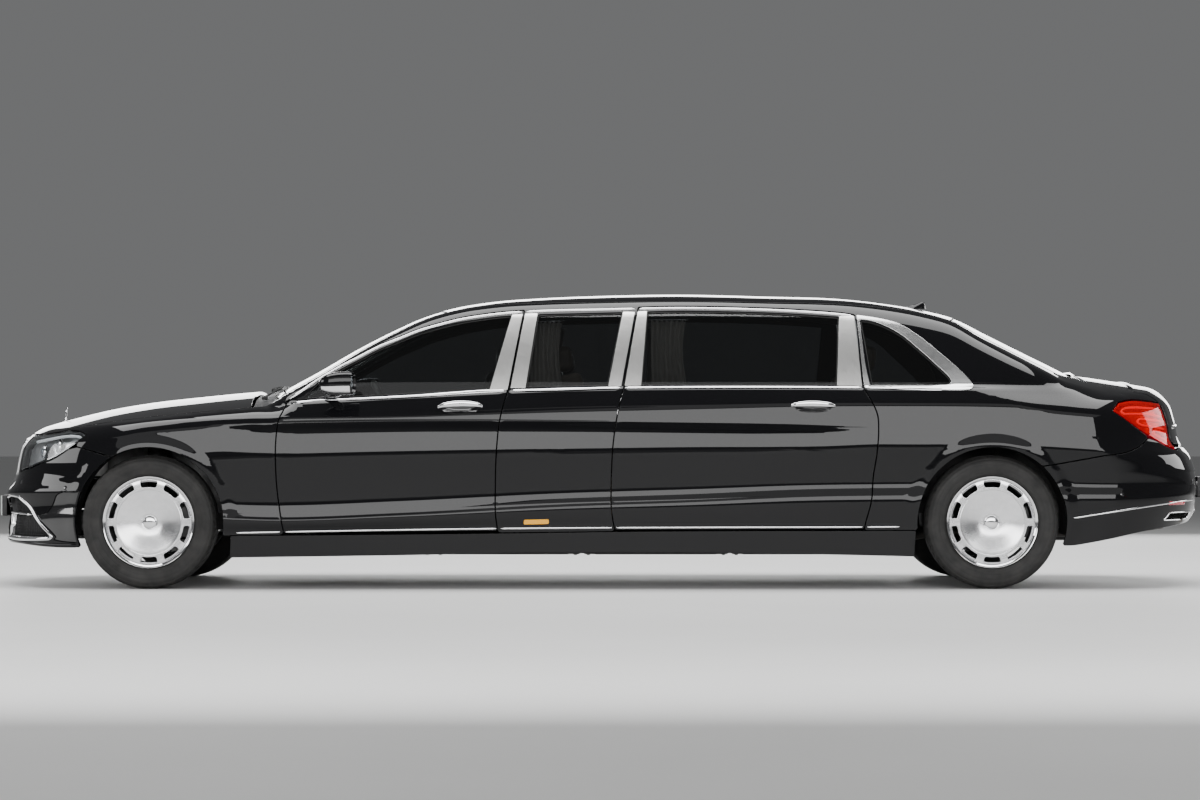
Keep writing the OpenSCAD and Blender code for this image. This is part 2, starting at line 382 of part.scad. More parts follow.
// ---- inside and below ----
// liner over a wheel from y0 to y1 with a hole for the strut or spring at sx, sy
module liner(x, r, y0, y1, sx, sy) difference() {
    translate([x, y1, tyre_r]) rotate([90, 0, 0]) difference() {
        cylinder(r = r + 8, h = y1 - y0, $fn = 64);
        translate([0, 0, -1]) cylinder(r = r, h = y1 - y0 + 2, $fn = 64);
        translate([-500, -600, -1]) cube([1000, 530, 1000]);
    }
    translate([x + sx, sy, 500]) cylinder(r = 56, h = 400, $fn = 32);
}
module floor_pan() color([0.06, 0.06, 0.065]) {
    difference() {
        union() {
            translate([-1740, -822, 185]) cube([3300, 1644, 25]);            // cabin floor
            translate([-1560, -140, 185]) cube([3120, 280, 150]);           // tunnel
        }
        translate([-1561, -120, 180]) cube([3130, 240, 135]);
    }
    translate([-1752, -850, 185]) cube([30, 1700, 730]);                  // front bulkhead
    translate([-1800, -690, 915]) cube([180, 1380, 16]);                  // scuttle
    difference() {                                                        // behind the lounge seats
        translate([1545, -690, 185]) cube([22, 1380, 640]);
        translate([1540, -120, 180]) cube([32, 240, 135]);
    }
    translate([1572, -484, 480]) cube([1528, 968, 18]);                   // trunk floor
    translate([1545, -640, 1010]) cube([420, 1280, 16]);                  // parcel shelf
    translate([-3080, -465, 300]) cube([40, 930, 270]);                   // radiator carrier
    for (s = [-1, 1]) {
        translate([-3034, s * 430 - 22, 300]) cube([1276, 44, 90]);         // front rails
        translate([1572, s * 400 - 22, 388]) cube([1544, 44, 88]);          // rear rails
        translate([xf, s * 530, 792]) difference() {                      // strut towers
            cylinder(r = 95, h = 30, $fn = 32);
            translate([0, s * 30, -1]) cylinder(r = 48, h = 40, $fn = 32);
        }
        translate([xf - 60, s * 442 - 22, 394]) cube([120, 44, 406]);
        translate([1572, s * 500 - 12, 480]) cube([1428, 24, 300]);         // trunk walls
        translate([xr - 90, s * 560, 766]) cylinder(r = 70, h = 30, $fn = 32);
        translate([xr - 130, s * 530 - 30, 758]) cube([80, 40, 30]);
    }
    both() difference() {
        liner(xf, 414, -858, -505, 0, -560);
        translate([-2900, -900, 200]) cube([222, 105, 500]);                // room for the bumper
    }
    both() liner(xr, 405, -826, -520, -90, -560);
}
module engine() color([0.25, 0.25, 0.26]) translate([-2720, -300, 330]) cube([880, 600, 440]);
// round pipe between two points
module pipe(a, b, r) {
    d = b - a; l = norm(d);
    translate(a) rotate([0, acos(d.z / l), atan2(d.y, d.x)]) cylinder(r = r, h = l, $fn = 32);
    translate(b) sphere(r = r + 3, $fn = 32);
}
PIPE = [[-1690, -62, 240], [-520, -62, 240], [120, -62, 240], [1600, -62, 240], [1750, -200, 278], [2230, -200, 278], [2330, -320, 278],
    [2560, -460, 290], [2700, -460, 290]];
module exhaust() color([0.45, 0.44, 0.43]) both() {
    for (i = [0:len(PIPE) - 2]) pipe(PIPE[i], PIPE[i + 1], 26);
    translate([-520, -108, 194]) cube([640, 92, 92]);
    translate([2680, -600, 240]) cube([330, 280, 110]);                   // rear silencers
    translate([3000, -560, 285]) rotate([0, 90, 0]) difference() { cylinder(r = 34, h = 150, $fn = 32); translate([0, 0, 60]) cylinder(r = 29, h = 100, $fn = 32); }
}
module fuel_tank() color([0.04, 0.04, 0.045]) translate([2340, -250, 240]) cube([320, 500, 150]);
module dashboard() color([0.05, 0.045, 0.04]) formed() {
    hull() { translate([-1600, -700, 860]) cube([20, 1400, 120]); translate([-1420, -700, 900]) cube([10, 1400, 60]);
        translate([-1330, -700, 820]) cube([10, 1400, 60]); translate([-1600, -700, 620]) cube([150, 1400, 20]); }
    hull() { translate([-1420, -110, 420]) cube([300, 220, 200]); translate([-1000, -110, 340]) cube([400, 220, 220]); }
    hull() { translate([-1420, -440, 840]) rotate([0, 65, 0]) cylinder(r = 40, h = 10, $fn = 24);
        translate([-1183, -440, 905]) rotate([0, 65, 0]) cylinder(r = 24, h = 10, $fn = 24); }
}
module steering_wheel() color([0.04, 0.04, 0.04]) translate([-1150, -440, 900 + 20]) rotate([0, 65, 0]) {
    rotate_extrude($fn = 64) translate([wheel_r, 0]) circle(r = 16, $fn = 24);
    translate([0, 0, -16]) cylinder(r = 70, h = 32, $fn = 48);
    for (a = [0, 90, 270]) rotate(a) translate([40, -18, -8]) cube([wheel_r - 42, 36, 16]);
}
// a seat that faces -X, its back's foot at x = 0; w is its width
module seat(w) {
    rotate([90, 0, 0]) linear_extrude(w, center = true) polygon([[-520, seat_h - 140], [-520, seat_h - 20], [-490, seat_h],
        [-20, seat_h - 40], [90, seat_h + 540], [120, seat_h + 560], [200, seat_h + 550], [225, seat_h + 500], [110, seat_h - 140]]);
    translate([-440, -w / 2 + 60, 212]) cube([500, w - 120, seat_h - 150 - 200]);
    rotate([90, 0, 0]) linear_extrude(260, center = true) polygon([[120, seat_h + 590], [140, seat_h + 710], [165, seat_h + 725],
        [215, seat_h + 720], [225, seat_h + 600], [180, seat_h + 580]]);
    translate([160, -60, seat_h + 540]) cube([20, 120, 60]);
}
module front_seats() color([0.05, 0.04, 0.035]) both() translate([-690, -440, 0]) seat(seat_w);
module lounge_seats() color([0.07, 0.055, 0.045]) both() {
    translate([-40, -430, 0]) mirror([1, 0, 0]) seat(seat_w);
    translate([1230, -430, 0]) seat(seat_w);
}
module partition() color([0.06, 0.05, 0.045]) {
    difference() { translate([-352, -760, 213]) cube([36, 1520, 760]); translate([-353, -146, 200]) cube([38, 292, 141]); }
    translate([-344, -600, 974]) cube([20, 1200, 440]);
}
module licence_plates() color([0.85, 0.85, 0.85]) for (p = [[-3264, 370], [3250, 470]]) difference() {
    translate([p[0], -260, p[1]]) cube([8, 520, 110]);
    for (s = [-1, 1]) translate([p[0] - 1, s * 150, p[1] + 55]) rotate([0, 90, 0]) cylinder(r = 3.5, h = 10, $fn = 32);
}

floor_pan();
side_panels();
roof_panel();
front_fenders();
front_bumper();
rear_bumper();
radiator_grille();
headlamps();
tail_lamps();
windscreen();
rear_window();
fixed_side_windows();
engine();
front_suspension();
rear_suspension();
exhaust();
fuel_tank();
dashboard();
front_seats();
lounge_seats();
partition();
licence_plates();
hood();
trunk_lid();
steering_wheel();
front_door();  // front_door_left
right() front_door();  // front_door_right
rear_door();  // rear_door_left
right() rear_door();  // rear_door_right
door_glass(FRONT_WINDOW, FD_XS);  // front_door_glass_left
right() door_glass(FRONT_WINDOW, FD_XS);  // front_door_glass_right
door_glass(REAR_WINDOW, RD_XS);  // rear_door_glass_left
right() door_glass(REAR_WINDOW, RD_XS);  // rear_door_glass_right
door_mirror();  // door_mirror_left
right() door_mirror();  // door_mirror_right
knuckle();  // steering_knuckle_left
right() knuckle();  // steering_knuckle_right
wheel_at(xf, -half_track, -1);  // wheel_front_left
wheel_at(xf, half_track, 1);  // wheel_front_right
wheel_at(xr, -half_track, -1);  // wheel_rear_left
wheel_at(xr, half_track, 1);  // wheel_rear_right
tyre_at(xf, -half_track);  // tyre_front_left
tyre_at(xf, half_track);  // tyre_front_right
tyre_at(xr, -half_track);  // tyre_rear_left
tyre_at(xr, half_track);  // tyre_rear_right
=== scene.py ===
"""Stretch limousine: its looks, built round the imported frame.
Lengths below are millimetres in the CAD's frame; meshes are made in metres. The outer form is the same set of smooth
curves as in the CAD, and every panel is a thin closed shell of that form with rolled edges, cut along its real shut lines."""
import math

import bmesh
import bpy
import numpy as np
from mathutils import Matrix, Vector
from mathutils.geometry import delaunay_2d_cdt


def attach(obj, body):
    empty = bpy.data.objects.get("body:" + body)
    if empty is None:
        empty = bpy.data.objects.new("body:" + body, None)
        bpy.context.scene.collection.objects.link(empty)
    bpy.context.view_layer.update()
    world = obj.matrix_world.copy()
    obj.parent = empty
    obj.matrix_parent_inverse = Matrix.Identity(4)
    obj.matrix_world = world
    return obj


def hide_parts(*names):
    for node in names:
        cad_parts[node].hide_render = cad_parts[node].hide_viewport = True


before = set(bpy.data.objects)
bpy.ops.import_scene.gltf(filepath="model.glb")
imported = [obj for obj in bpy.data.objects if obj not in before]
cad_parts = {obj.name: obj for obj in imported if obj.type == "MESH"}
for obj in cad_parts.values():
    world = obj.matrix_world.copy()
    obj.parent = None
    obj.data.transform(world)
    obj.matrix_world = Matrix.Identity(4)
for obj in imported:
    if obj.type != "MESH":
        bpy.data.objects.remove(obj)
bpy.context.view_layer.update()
scene = bpy.context.scene

# ---- camera first ----
cam_data = bpy.data.cameras.new("camera")
cam_data.sensor_width = 36.0
cam_data.lens = 3442.7 * 36.0 / 1200.0
cam_data.shift_y = 0.03025
cam_data.clip_end = 500
camera = bpy.data.objects.new("camera", cam_data)
camera.location = (-0.0145, -18.93, 0.8)
camera.rotation_euler = (math.radians(90), 0, 0)
scene.collection.objects.link(camera)
scene.camera = camera

# ---- numbers shared with the construction: millimetres, as in the CAD ----
LINES = [
    [-3100, 290, 400, 560, 760, 830, 900],
    [-2691, 290, 400, 600, 812, 870, 940],
    [-2315, 292, 400, 640, 849, 890, 960],
    [-1714, 298, 372, 675, 870, 905, 975],
    [-1061, 310, 395, 697, 880, 915, 1009],
    [-224, 320, 440, 716, 880, 945, 1048],
    [509, 323, 465, 728, 872, 961, 1058],
    [1032, 325, 488, 728, 864, 972, 1058],
    [1633, 327, 497, 728, 850, 973, 1054],
    [2078, 327, 500, 728, 850, 969, 1054],
    [2664, 330, 500, 700, 800, 938, 1040],
    [3100, 330, 500, 660, 780, 920, 1030]]
FLANK = [[0, 884], [1, 906], [2, 927], [2.18, 917], [2.6, 926], [3, 938], [3.7, 934], [4, 929], [5, 918], [6, 868]]
TAPER = [[-3250, 110], [-2900, 45], [-2600, 18], [-2378, 8], [-2000, 4], [-1500, 0], [1500, 0], [2040, 6], [2400, 22],
    [2800, 60], [3250, 125]]
NOSE = [[150, -3150], [213, -3193], [241, -3231], [296, -3243], [384, -3232], [483, -3248], [505, -3248], [549, -3215],
    [587, -3198], [670, -3182], [752, -3160], [802, -3132], [860, -3070], [920, -2980]]
TAIL = [[200, 3150], [318, 3180], [384, 3225], [450, 3240], [604, 3240], [642, 3228], [714, 3195], [741, 3170],
    [890, 3122], [972, 3094], [1044, 3045], [1100, 2990]]
DECK = [[-3200, 770, 1, 0], [-3121, 807, 1, 0], [-3094, 829, 1, 0], [-2984, 868, 1, 0], [-2874, 898, 1, 0],
    [-2654, 950, 1, 0], [-2434, 986, 1, 0], [-2214, 1011, 1, 0], [-1994, 1033, 1, 0], [-1840, 1046, 1, 0],
    [-1700, 1056, 1, 0], [-1500, 1110, 0, 0], [1800, 1130, 0, 0], [2300, 1132, 0, 0.8], [2559, 1128, 0, 1],
    [2735, 1104, 0, 1], [2955, 1068, 0, 1], [3010, 1058, 0, 1], [3045, 1040, 0, 1], [3100, 1000, 0, 1]]
ROOF = [[-1860, 970], [-1760, 1034], [-1664, 1088], [-1554, 1148], [-1334, 1275], [-1114, 1387], [-1004, 1437],
    [-894, 1475], [-784, 1503], [-674, 1522], [-564, 1536], [-344, 1552], [-14, 1566], [425, 1573], [865, 1563],
    [1305, 1547], [1525, 1522], [1745, 1486], [1937, 1434], [2075, 1365], [2295, 1255], [2515, 1145], [2640, 1075],
    [2800, 980]]
HOUSE = [[-1900, 75, -60, 15, 40, 20], [-1660, 45, -60, 15, 45, 6], [-1200, 15, -60, 15, 50, 4], [-700, 0, -50, 25, 70, 4],
    [-200, 0, 0, 32, 90, 4], [1000, 0, 0, 32, 90, 4], [1500, 8, 0, 30, 90, 4], [1700, 15, 50, 30, 85, 6],
    [2000, 30, 100, 28, 70, 40], [2400, 75, 100, 28, 60, 80], [2700, 130, 100, 28, 60, 80]]
FRONT_DOOR = [[-1673, 291], [-1704, 493], [-1713, 640], [-1712, 781], [-1699, 885], [-1680, 930], [-1660, 985], [-1603, 1036],
    [-1497, 1112], [-1391, 1176], [-1285, 1231], [-1179, 1287], [-1074, 1329], [-968, 1372], [-862, 1403], [-756, 1430],
    [-650, 1448], [-544, 1462], [-412, 1472], [-491, 1048], [-511, 990], [-538, 875], [-553, 728], [-559, 571], [-559, 404],
    [-548, 301]]
FRONT_WINDOW = [[-1570, 1000], [-1497, 1085], [-1391, 1149], [-1285, 1204], [-1179, 1260], [-1074, 1302], [-968, 1345],
    [-862, 1376], [-756, 1403], [-650, 1421], [-544, 1435], [-480, 1440], [-592, 1046], [-1064, 1021], [-1327, 1008]]
MIDDLE_WINDOW = [[-343, 1447], [107, 1458], [27, 1067], [-403, 1058]]
REAR_DOOR = [[60, 306], [43, 414], [43, 598], [51, 754], [69, 885], [90, 990], [106, 1048], [187, 1488], [409, 1493],
    [833, 1485], [1045, 1475], [1256, 1459], [1337, 1447], [1370, 1060], [1408, 990], [1440, 911], [1445, 833], [1435, 702],
    [1419, 598], [1408, 467], [1377, 340], [1372, 310]]
REAR_WINDOW = [[235, 1462], [409, 1466], [833, 1458], [1045, 1448], [1252, 1433], [1229, 1070], [201, 1069]]
QUARTER_WINDOW = [[1364, 1415], [1400, 1412], [1463, 1395], [1569, 1340], [1674, 1250], [1754, 1176], [1822, 1108],
    [1833, 1085], [1815, 1071], [1412, 1071]]
HEADLAMP = [[-2711, 812], [-2753, 829], [-2832, 834], [-2911, 826], [-3047, 803], [-3300, 770], [-3300, 610], [-3052, 631],
    [-3004, 650], [-2911, 680], [-2858, 707], [-2806, 738], [-2753, 775]]
TAIL_LAMP = [[2674, 938], [2716, 983], [2790, 997], [2900, 990], [3000, 975], [3300, 965], [3300, 745], [3060, 735],
    [3021, 739], [2926, 781], [2821, 838], [2743, 891]]
HOOD = [[-3104, 420, 55], [-3060, 520, 48], [-3000, 600, 40], [-2900, 680, 30], [-2750, 740, 20], [-2600, 765, 20],
    [-2300, 785, 20], [-2000, 795, 20], [-1872, 799, 20]]
XF, XR, AXLE_Z, ARCH_R = -2378.0, 2040.0, 350.0, 393.0


class Curve:
    """A smooth curve through a table: column 0 is the place, column c the value."""

    def __init__(self, table, c=1):
        t = np.array(table, float)
        self.x, self.d = t[:, 0], t[:, c]
        self.h = np.diff(self.x)
        ch = np.diff(self.d) / self.h
        m = np.empty(len(t))
        m[0], m[-1] = ch[0], ch[-1]
        m[1:-1] = (ch[:-1] * self.h[1:] + ch[1:] * self.h[:-1]) / (self.h[:-1] + self.h[1:])
        self.m = m

    def __call__(self, q):
        q = np.asarray(q, float)
        i = np.clip(np.searchsorted(self.x, q, "right") - 1, 0, len(self.h) - 1)
        h = self.h[i]
        u = np.clip((q - self.x[i]) / h, 0, 1)
        u2 = u * u
        u3 = u2 * u
        return ((2 * u3 - 3 * u2 + 1) * self.d[i] + (u3 - 2 * u2 + u) * h * self.m[i]
                + (3 * u2 - 2 * u3) * self.d[i + 1] + (u3 - u2) * h * self.m[i + 1])


C_LINES = [Curve(LINES, c) for c in range(1, 7)]
C_FLANK, C_TAPER, C_NOSE, C_TAIL = Curve(FLANK), Curve(TAPER), Curve(NOSE), Curve(TAIL)
C_DECK = [Curve(DECK, c) for c in (1, 2, 3)]
C_ROOF = Curve(ROOF)
C_HOUSE = [Curve(HOUSE, c) for c in range(1, 6)]
# the sharp line along the flank, and how deep the hollow under it is cut
LINE_A = Curve([[-2691, 812], [-2524, 833], [-2315, 849], [-2106, 864], [-1897, 870], [-1714, 870], [-1060, 880], [-224, 880],
    [508, 872], [1031, 864], [1397, 849], [1700, 840]])
HOLLOW = Curve([[-2300, 0], [-2060, 0], [-1900, 0.55], [-1600, 1], [800, 1], [1250, 0.5], [1420, 0], [1700, 0]])
ARCH_LIP = 9.0


def step(t):
    t = np.clip(t, 0, 1)
    return t * t * (3 - 2 * t)


def fillet(a, b, r):
    return r - np.sqrt(np.maximum(r - a, 0) ** 2 + np.maximum(r - b, 0) ** 2)


def detail(x, z):
    """Fine shape of the flank on top of the tables: the hollow under the sharp line and the lips of the wheel arches."""
    w = np.clip(HOLLOW(x), 0, 1)
    t = LINE_A(x) - z
    width = np.maximum(57 * w, 1e-3)
    cut = np.where(t <= 0, 0, np.where(t < width, t / width, 1 - step((t - width) / 130)))
    e = -6.5 * w * cut
    for cx in (XF, XR):
        r = np.hypot(x - cx, z - AXLE_Z)
        e = e + ARCH_LIP * (1 - step((r - 404) / 66)) * step((z - 190) / 120)
    return e


def lines(x):
    return [c(x) for c in C_LINES]


def flank(x, z, L):
    r = np.where(z <= L[0], (z - 170) / (L[0] - 170), 0)
    for k in range(5):
        r = np.where(z > L[k], k + 1 + (z - L[k]) / (L[k + 1] - L[k]), r)
    return C_FLANK(r) - C_TAPER(x) - 3 * np.maximum(0, z - L[5]) + detail(x, z)


def deck(x, y):
    a = np.abs(y)
    return C_DECK[0](x) - 80 * C_DECK[1](x) * (a / 750) ** 2.2 - 164 * C_DECK[2](x) * (a / 880) ** 3


def tub(x, y, z, L):
    a = np.abs(y)
    nose = x - C_NOSE(z) - 60 * (a / 450) ** 2
    tail = C_TAIL(z) - 85 * (a / 500) ** 2 - x
    wall = fillet(fillet(flank(x, z, L) - a, nose, 420), tail, 300)
    return fillet(wall, deck(x, y) - z, 60)


def house(x, y, z, H):
    top = C_ROOF(x + H[1] * (y / 700) ** 2) - H[2] * (y / 600) ** 2
    return fillet(862 - 0.3 * (z - 1050) - 0.00042 * (z - 1050) ** 2 - H[0] - np.abs(y), top - z, H[3])


def depth(p, which=0):
    """How far inside the form a point is: which = 0 all, 1 lower body, 2 glasshouse."""
    x, y, z = p[:, 0], p[:, 1], p[:, 2]
    if which == 2:
        return house(x, y, z, [c(x) for c in C_HOUSE])
    t = tub(x, y, z, lines(x))
    if which == 1:
        return t
    H = [c(x) for c in C_HOUSE]
    return np.where((x < -1900) | (x > 2790), t, -fillet(-t, -house(x, y, z, H), H[4]))


def cast(o, d, lo, hi, which=0, n=19):
    """Where lines from inside points o along d leave the form."""
    o, d = np.atleast_2d(np.asarray(o, float)), np.atleast_2d(np.asarray(d, float))
    d = np.broadcast_to(d, o.shape)
    lo, hi = np.full(len(o), float(lo)), np.full(len(o), float(hi))
    for _ in range(n):
        m = (lo + hi) / 2
        inside = depth(o + d * m[:, None], which) > 0
        lo, hi = np.where(inside, m, lo), np.where(inside, hi, m)
    return o + d * ((lo + hi) / 2)[:, None]


def normal(p, which=0, h=1.2):
    g = np.stack([depth(p + e, which) - depth(p - e, which) for e in np.eye(3) * h], 1)
    return -g / np.maximum(np.linalg.norm(g, axis=1), 1e-9)[:, None]
GRILLE_F = [[-366, 590], [-392, 752], [-380, 778], [-350, 788], [350, 788], [380, 778], [392, 752], [366, 590]]
INTAKE_F = [[-330, 268], [-352, 300], [-330, 352], [330, 352], [352, 300], [330, 268]]
SIDE_INTAKE_F = [[-395, 262], [-770, 258], [-745, 310], [-650, 430], [-590, 478], [-430, 478], [-400, 440]]


# ---- shapes: vertices, faces, materials and corner normals, kept together until a piece is made ----
class Shape:
    def __init__(self, v, f, m=None, n=None):
        self.v = np.asarray(v, float).reshape(-1, 3)
        self.f = [tuple(int(i) for i in q) for q in f]
        self.m = np.zeros(len(self.f), int) if m is None else np.asarray(m, int)
        self.n = n  # one normal for each face corner, or None for normals worked out from the faces

    def mirrored(self):
        return self.changed(lambda p: p * [1, -1, 1], lambda q: q * [1, -1, 1], True)

    def changed(self, points, normals=None, flip=False):
        n = None if self.n is None else (normals(self.n) if normals else self.n)
        f = self.f
        if flip:
            if n is not None:
                out, k = np.empty_like(n), 0
                for q in f:
                    out[k:k + len(q)] = n[k:k + len(q)][::-1]
                    k += len(q)
                n = out
            f = [q[::-1] for q in f]
        return Shape(points(self.v), f, self.m, n)

    def moved(self, x, y, z):
        return self.changed(lambda p: p + np.array([x, y, z], float))

    def turned(self, m, about=(0, 0, 0)):
        """Turned by a 3 by 3 matrix about a point."""
        m, c = np.asarray(m, float), np.asarray(about, float)
        return self.changed(lambda p: (p - c) @ m.T + c, lambda q: q @ m.T)

    def mat(self, k):
        return Shape(self.v, self.f, np.full(len(self.f), k), self.n)


def join(*shapes):
    v, f, m, n, k = [], [], [], [], 0
    for s in shapes:
        v.append(s.v)
        f += [tuple(i + k for i in q) for q in s.f]
        m.append(s.m)
        n.append(s.n)
        k += len(s.v)
    return Shape(np.vstack(v), f, np.concatenate(m), None if any(q is None for q in n) else np.vstack(n))


def both(s):
    return join(s, s.mirrored())


def turn(axis, degrees):
    return np.array(Matrix.Rotation(math.radians(degrees), 3, axis))


MATS = {}
PIECES = {}


def piece(name, shape, mats, body="body", replaces=(), slot=None, sharp=36, subdivide=0):
    """Makes a Blender object from a shape. mats names a material for each number in shape.m."""
    me = bpy.data.meshes.new(name)
    me.from_pydata((shape.v * 0.001).tolist(), [], shape.f)
    for m in mats:
        me.materials.append(MATS[m])
    me.polygons.foreach_set("material_index", shape.m.astype(np.int32))
    me.polygons.foreach_set("use_smooth", np.ones(len(me.polygons), bool))
    if shape.n is not None:
        me.normals_split_custom_set(shape.n.tolist())
    elif sharp:
        me.set_sharp_from_angle(angle=math.radians(sharp))
    me.update()
    ob = bpy.data.objects.new(name, me)
    scene.collection.objects.link(ob)
    if subdivide:
        mod = ob.modifiers.new("subdivision", "SUBSURF")
        mod.levels = mod.render_levels = subdivide
    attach(ob, body)
    if replaces:
        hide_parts(*([replaces] if isinstance(replaces, str) else replaces))
    PIECES[name] = ob
    return ob


# ---- ways to wrap a flat drawing (u, v) onto the form ----
DEG = 7.854  # millimetres of drawing for a degree round the shoulder


class Side:
    """Left side: u is x, v a height up to 950, and above it the way round the shoulder and roof edge."""

    def point(self, uv):
        x, s = uv[:, 0], uv[:, 1]
        low = s <= 950
        a = np.radians(np.where(low, 0, (s - 950) / DEG))
        o = np.stack([x, np.where(low, 0.0, -400.0), np.where(low, s, 950.0)], 1)
        d = np.stack([np.zeros_like(x), -np.cos(a), np.sin(a)], 1)
        return cast(o, d, 0, 1000)

    def normal(self, p):
        return normal(p)

    def flat(self, p):
        a = np.degrees(np.arctan2(p[:, 2] - 950, -p[:, 1] - 400))
        return np.stack([p[:, 0], np.where(p[:, 2] <= 950, p[:, 2], 950 + a * DEG)], 1)

    def side(self, pts):
        """Drawing places of side view points [x, z]."""
        q = np.array(pts, float)
        return self.flat(cast(np.stack([q[:, 0], np.zeros(len(q)), q[:, 1]], 1), [0, -1, 0], 0, 1000))

    def plan(self, pts, which=0):
        """Drawing places of plan view points [x, y]."""
        q = np.array(pts, float)
        return self.flat(cast(np.stack([q[:, 0], q[:, 1], np.full(len(q), 600.0)], 1), [0, 0, 1], 0, 1100, which))


class Top:
    """Seen from above: u is x, v is y."""

    def __init__(self, which):
        self.which = which

    def point(self, uv):
        return cast(np.stack([uv[:, 0], uv[:, 1], np.full(len(uv), 600.0)], 1), [0, 0, 1], 0, 1100, self.which)

    def normal(self, p):
        return normal(p, self.which)


class End:
    """Round the nose (f = -1) or the tail (f = 1): u is the angle from the middle, to the right positive, v is z."""

    def __init__(self, f, x0):
        self.f, self.x0, self.k = f, x0, 900 * math.pi / 180

    def point(self, uv):
        a = np.radians(uv[:, 0] / self.k)
        o = np.stack([np.full(len(uv), float(self.x0)), np.zeros(len(uv)), uv[:, 1]], 1)
        return cast(o, np.stack([self.f * np.cos(a), np.sin(a), np.zeros(len(uv))], 1), 50, 1400, 1)

    def normal(self, p):
        return normal(p, 1)

    def flat(self, p):
        return np.stack([np.degrees(np.arctan2(p[:, 1], self.f * (p[:, 0] - self.x0))) * self.k, p[:, 2]], 1)

    def side(self, pts):
        q = np.array(pts, float)
        return self.flat(cast(np.stack([q[:, 0], np.zeros(len(q)), q[:, 1]], 1), [0, -1, 0], 0, 1000))

    def front(self, pts):
        """Drawing places of front view points [y, z]."""
        q = np.array(pts, float)
        o = np.stack([np.full(len(q), self.x0 + self.f * 100.0), q[:, 0], q[:, 1]], 1)
        return self.flat(cast(o, [self.f, 0, 0], 0, 1200, 1))

    def plan(self, pts):
        q = np.array(pts, float)
        return self.flat(cast(np.stack([q[:, 0], q[:, 1], np.full(len(q), 600.0)], 1), [0, 0, 1], 0, 1100, 1))


class Lid:
    """Deck and tail between the lamps: u is y, v the way round from the back edge up and forward."""

    def __init__(self, x0, z0):
        self.x0, self.z0, self.k = x0, z0, 330 * math.pi / 180

    def point(self, uv):
        a = np.radians(uv[:, 1] / self.k)
        o = np.stack([np.full(len(uv), self.x0), uv[:, 0], np.full(len(uv), self.z0)], 1)
        return cast(o, np.stack([np.cos(a), np.zeros(len(uv)), np.sin(a)], 1), 50, 900, 1)

    def normal(self, p):
        return normal(p, 1)


# ---- outlines ----
def rounded(pts, r=12, bend=24, step=13, radii=None, closed=True):
    """A smooth, evenly dense line through points; corners sharper than bend get a small radius."""
    p = np.array(pts, float)
    n = len(p)
    radii = radii or {}
    idx = range(n) if closed else range(1, n - 1)
    corner = set()
    for i in idx:
        a, b = p[i] - p[i - 1], p[(i + 1) % n] - p[i]
        t = abs(math.degrees(math.atan2(a[0] * b[1] - a[1] * b[0], a @ b)))
        if t > bend or i in radii:
            corner.add(i)
    if not closed:
        corner |= {0, n - 1}
    order = sorted(corner) or [0]
    runs = []
    if closed:
        for k, i in enumerate(order):
            j = order[(k + 1) % len(order)]
            m = (j - i) % n or n
            runs.append((i, [p[(i + q) % n] for q in range(m + 1)], bool(corner)))
    else:
        for i, j in zip(order[:-1], order[1:]):
            runs.append((i, [p[q] for q in range(i, j + 1)], True))
    out, marks = [], []
    for start, run, open_ends in runs:
        run = np.array(run)
        if open_ends:
            ext = np.vstack([2 * run[0] - run[1], run, 2 * run[-1] - run[-2]])
        else:
            ext = np.vstack([run[-2], run, run[1]])
        marks.append((len(out), radii.get(start, r) if start in corner else 0))
        for k in range(len(run) - 1):
            a, b, c, d = ext[k], ext[k + 1], ext[k + 2], ext[k + 3]
            la, lb, lc = (max(np.linalg.norm(q), 1e-6) ** 0.5 for q in (b - a, c - b, d - c))
            m1 = ((b - a) / la - (c - a) / (la + lb) + (c - b) / lb) * lb
            m2 = ((c - b) / lb - (d - b) / (lb + lc) + (d - c) / lc) * lb
            if len(run) == 2:
                m1 = m2 = c - b
            s = max(1, int(math.ceil(np.linalg.norm(c - b) / step)))
            for q in range(s):
                u = q / s
                out.append((2 * u**3 - 3 * u**2 + 1) * b + (u**3 - 2 * u**2 + u) * m1 + (3 * u**2 - 2 * u**3) * c
                           + (u**3 - u**2) * m2)
    out = np.array(out)
    if not closed:
        return np.vstack([out, p[-1]])
    gone, arcs, N = np.zeros(len(out), bool), {}, len(out)
    for k, rad in marks:
        if not rad or k not in range(N):
            continue
        ends = []
        for way in (-1, 1):
            i, far = k, 0
            while far < rad and abs(i - k) < N // 3:
                j = i + way
                far_next = np.linalg.norm(out[j % N] - out[k])
                if far_next >= rad:
                    u = (rad - far) / max(far_next - far, 1e-9)
                    ends.append(out[i % N] + (out[j % N] - out[i % N]) * u)
                    break
                gone[j % N] = True
                i, far = j, far_next
            else:
                ends.append(out[i % N])
        gone[k] = True
        arcs[k] = [(1 - u) ** 2 * ends[0] + 2 * u * (1 - u) * out[k] + u * u * ends[1] for u in np.linspace(0, 1, 6)]
    final = []
    for i in range(N):
        if i in arcs:
            final += arcs[i]
        elif not gone[i]:
            final.append(out[i])
    final = np.array(final)
    keep = np.linalg.norm(final - np.roll(final, 1, 0), axis=1) > 0.4
    return final[keep]


def area(l):
    q = np.roll(l, -1, 0)
    return float((l[:, 0] * q[:, 1] - q[:, 0] * l[:, 1]).sum() / 2)


def inset(l, d):
    """Moves a closed line to its left by d."""
    a, b = l - np.roll(l, 1, 0), np.roll(l, -1, 0) - l
    na = np.stack([-a[:, 1], a[:, 0]], 1) / np.maximum(np.linalg.norm(a, axis=1), 1e-9)[:, None]
    nb = np.stack([-b[:, 1], b[:, 0]], 1) / np.maximum(np.linalg.norm(b, axis=1), 1e-9)[:, None]
    s = na + nb
    s = s / np.maximum((s * s).sum(1) / 2, 0.6)[:, None]
    return l + s * d


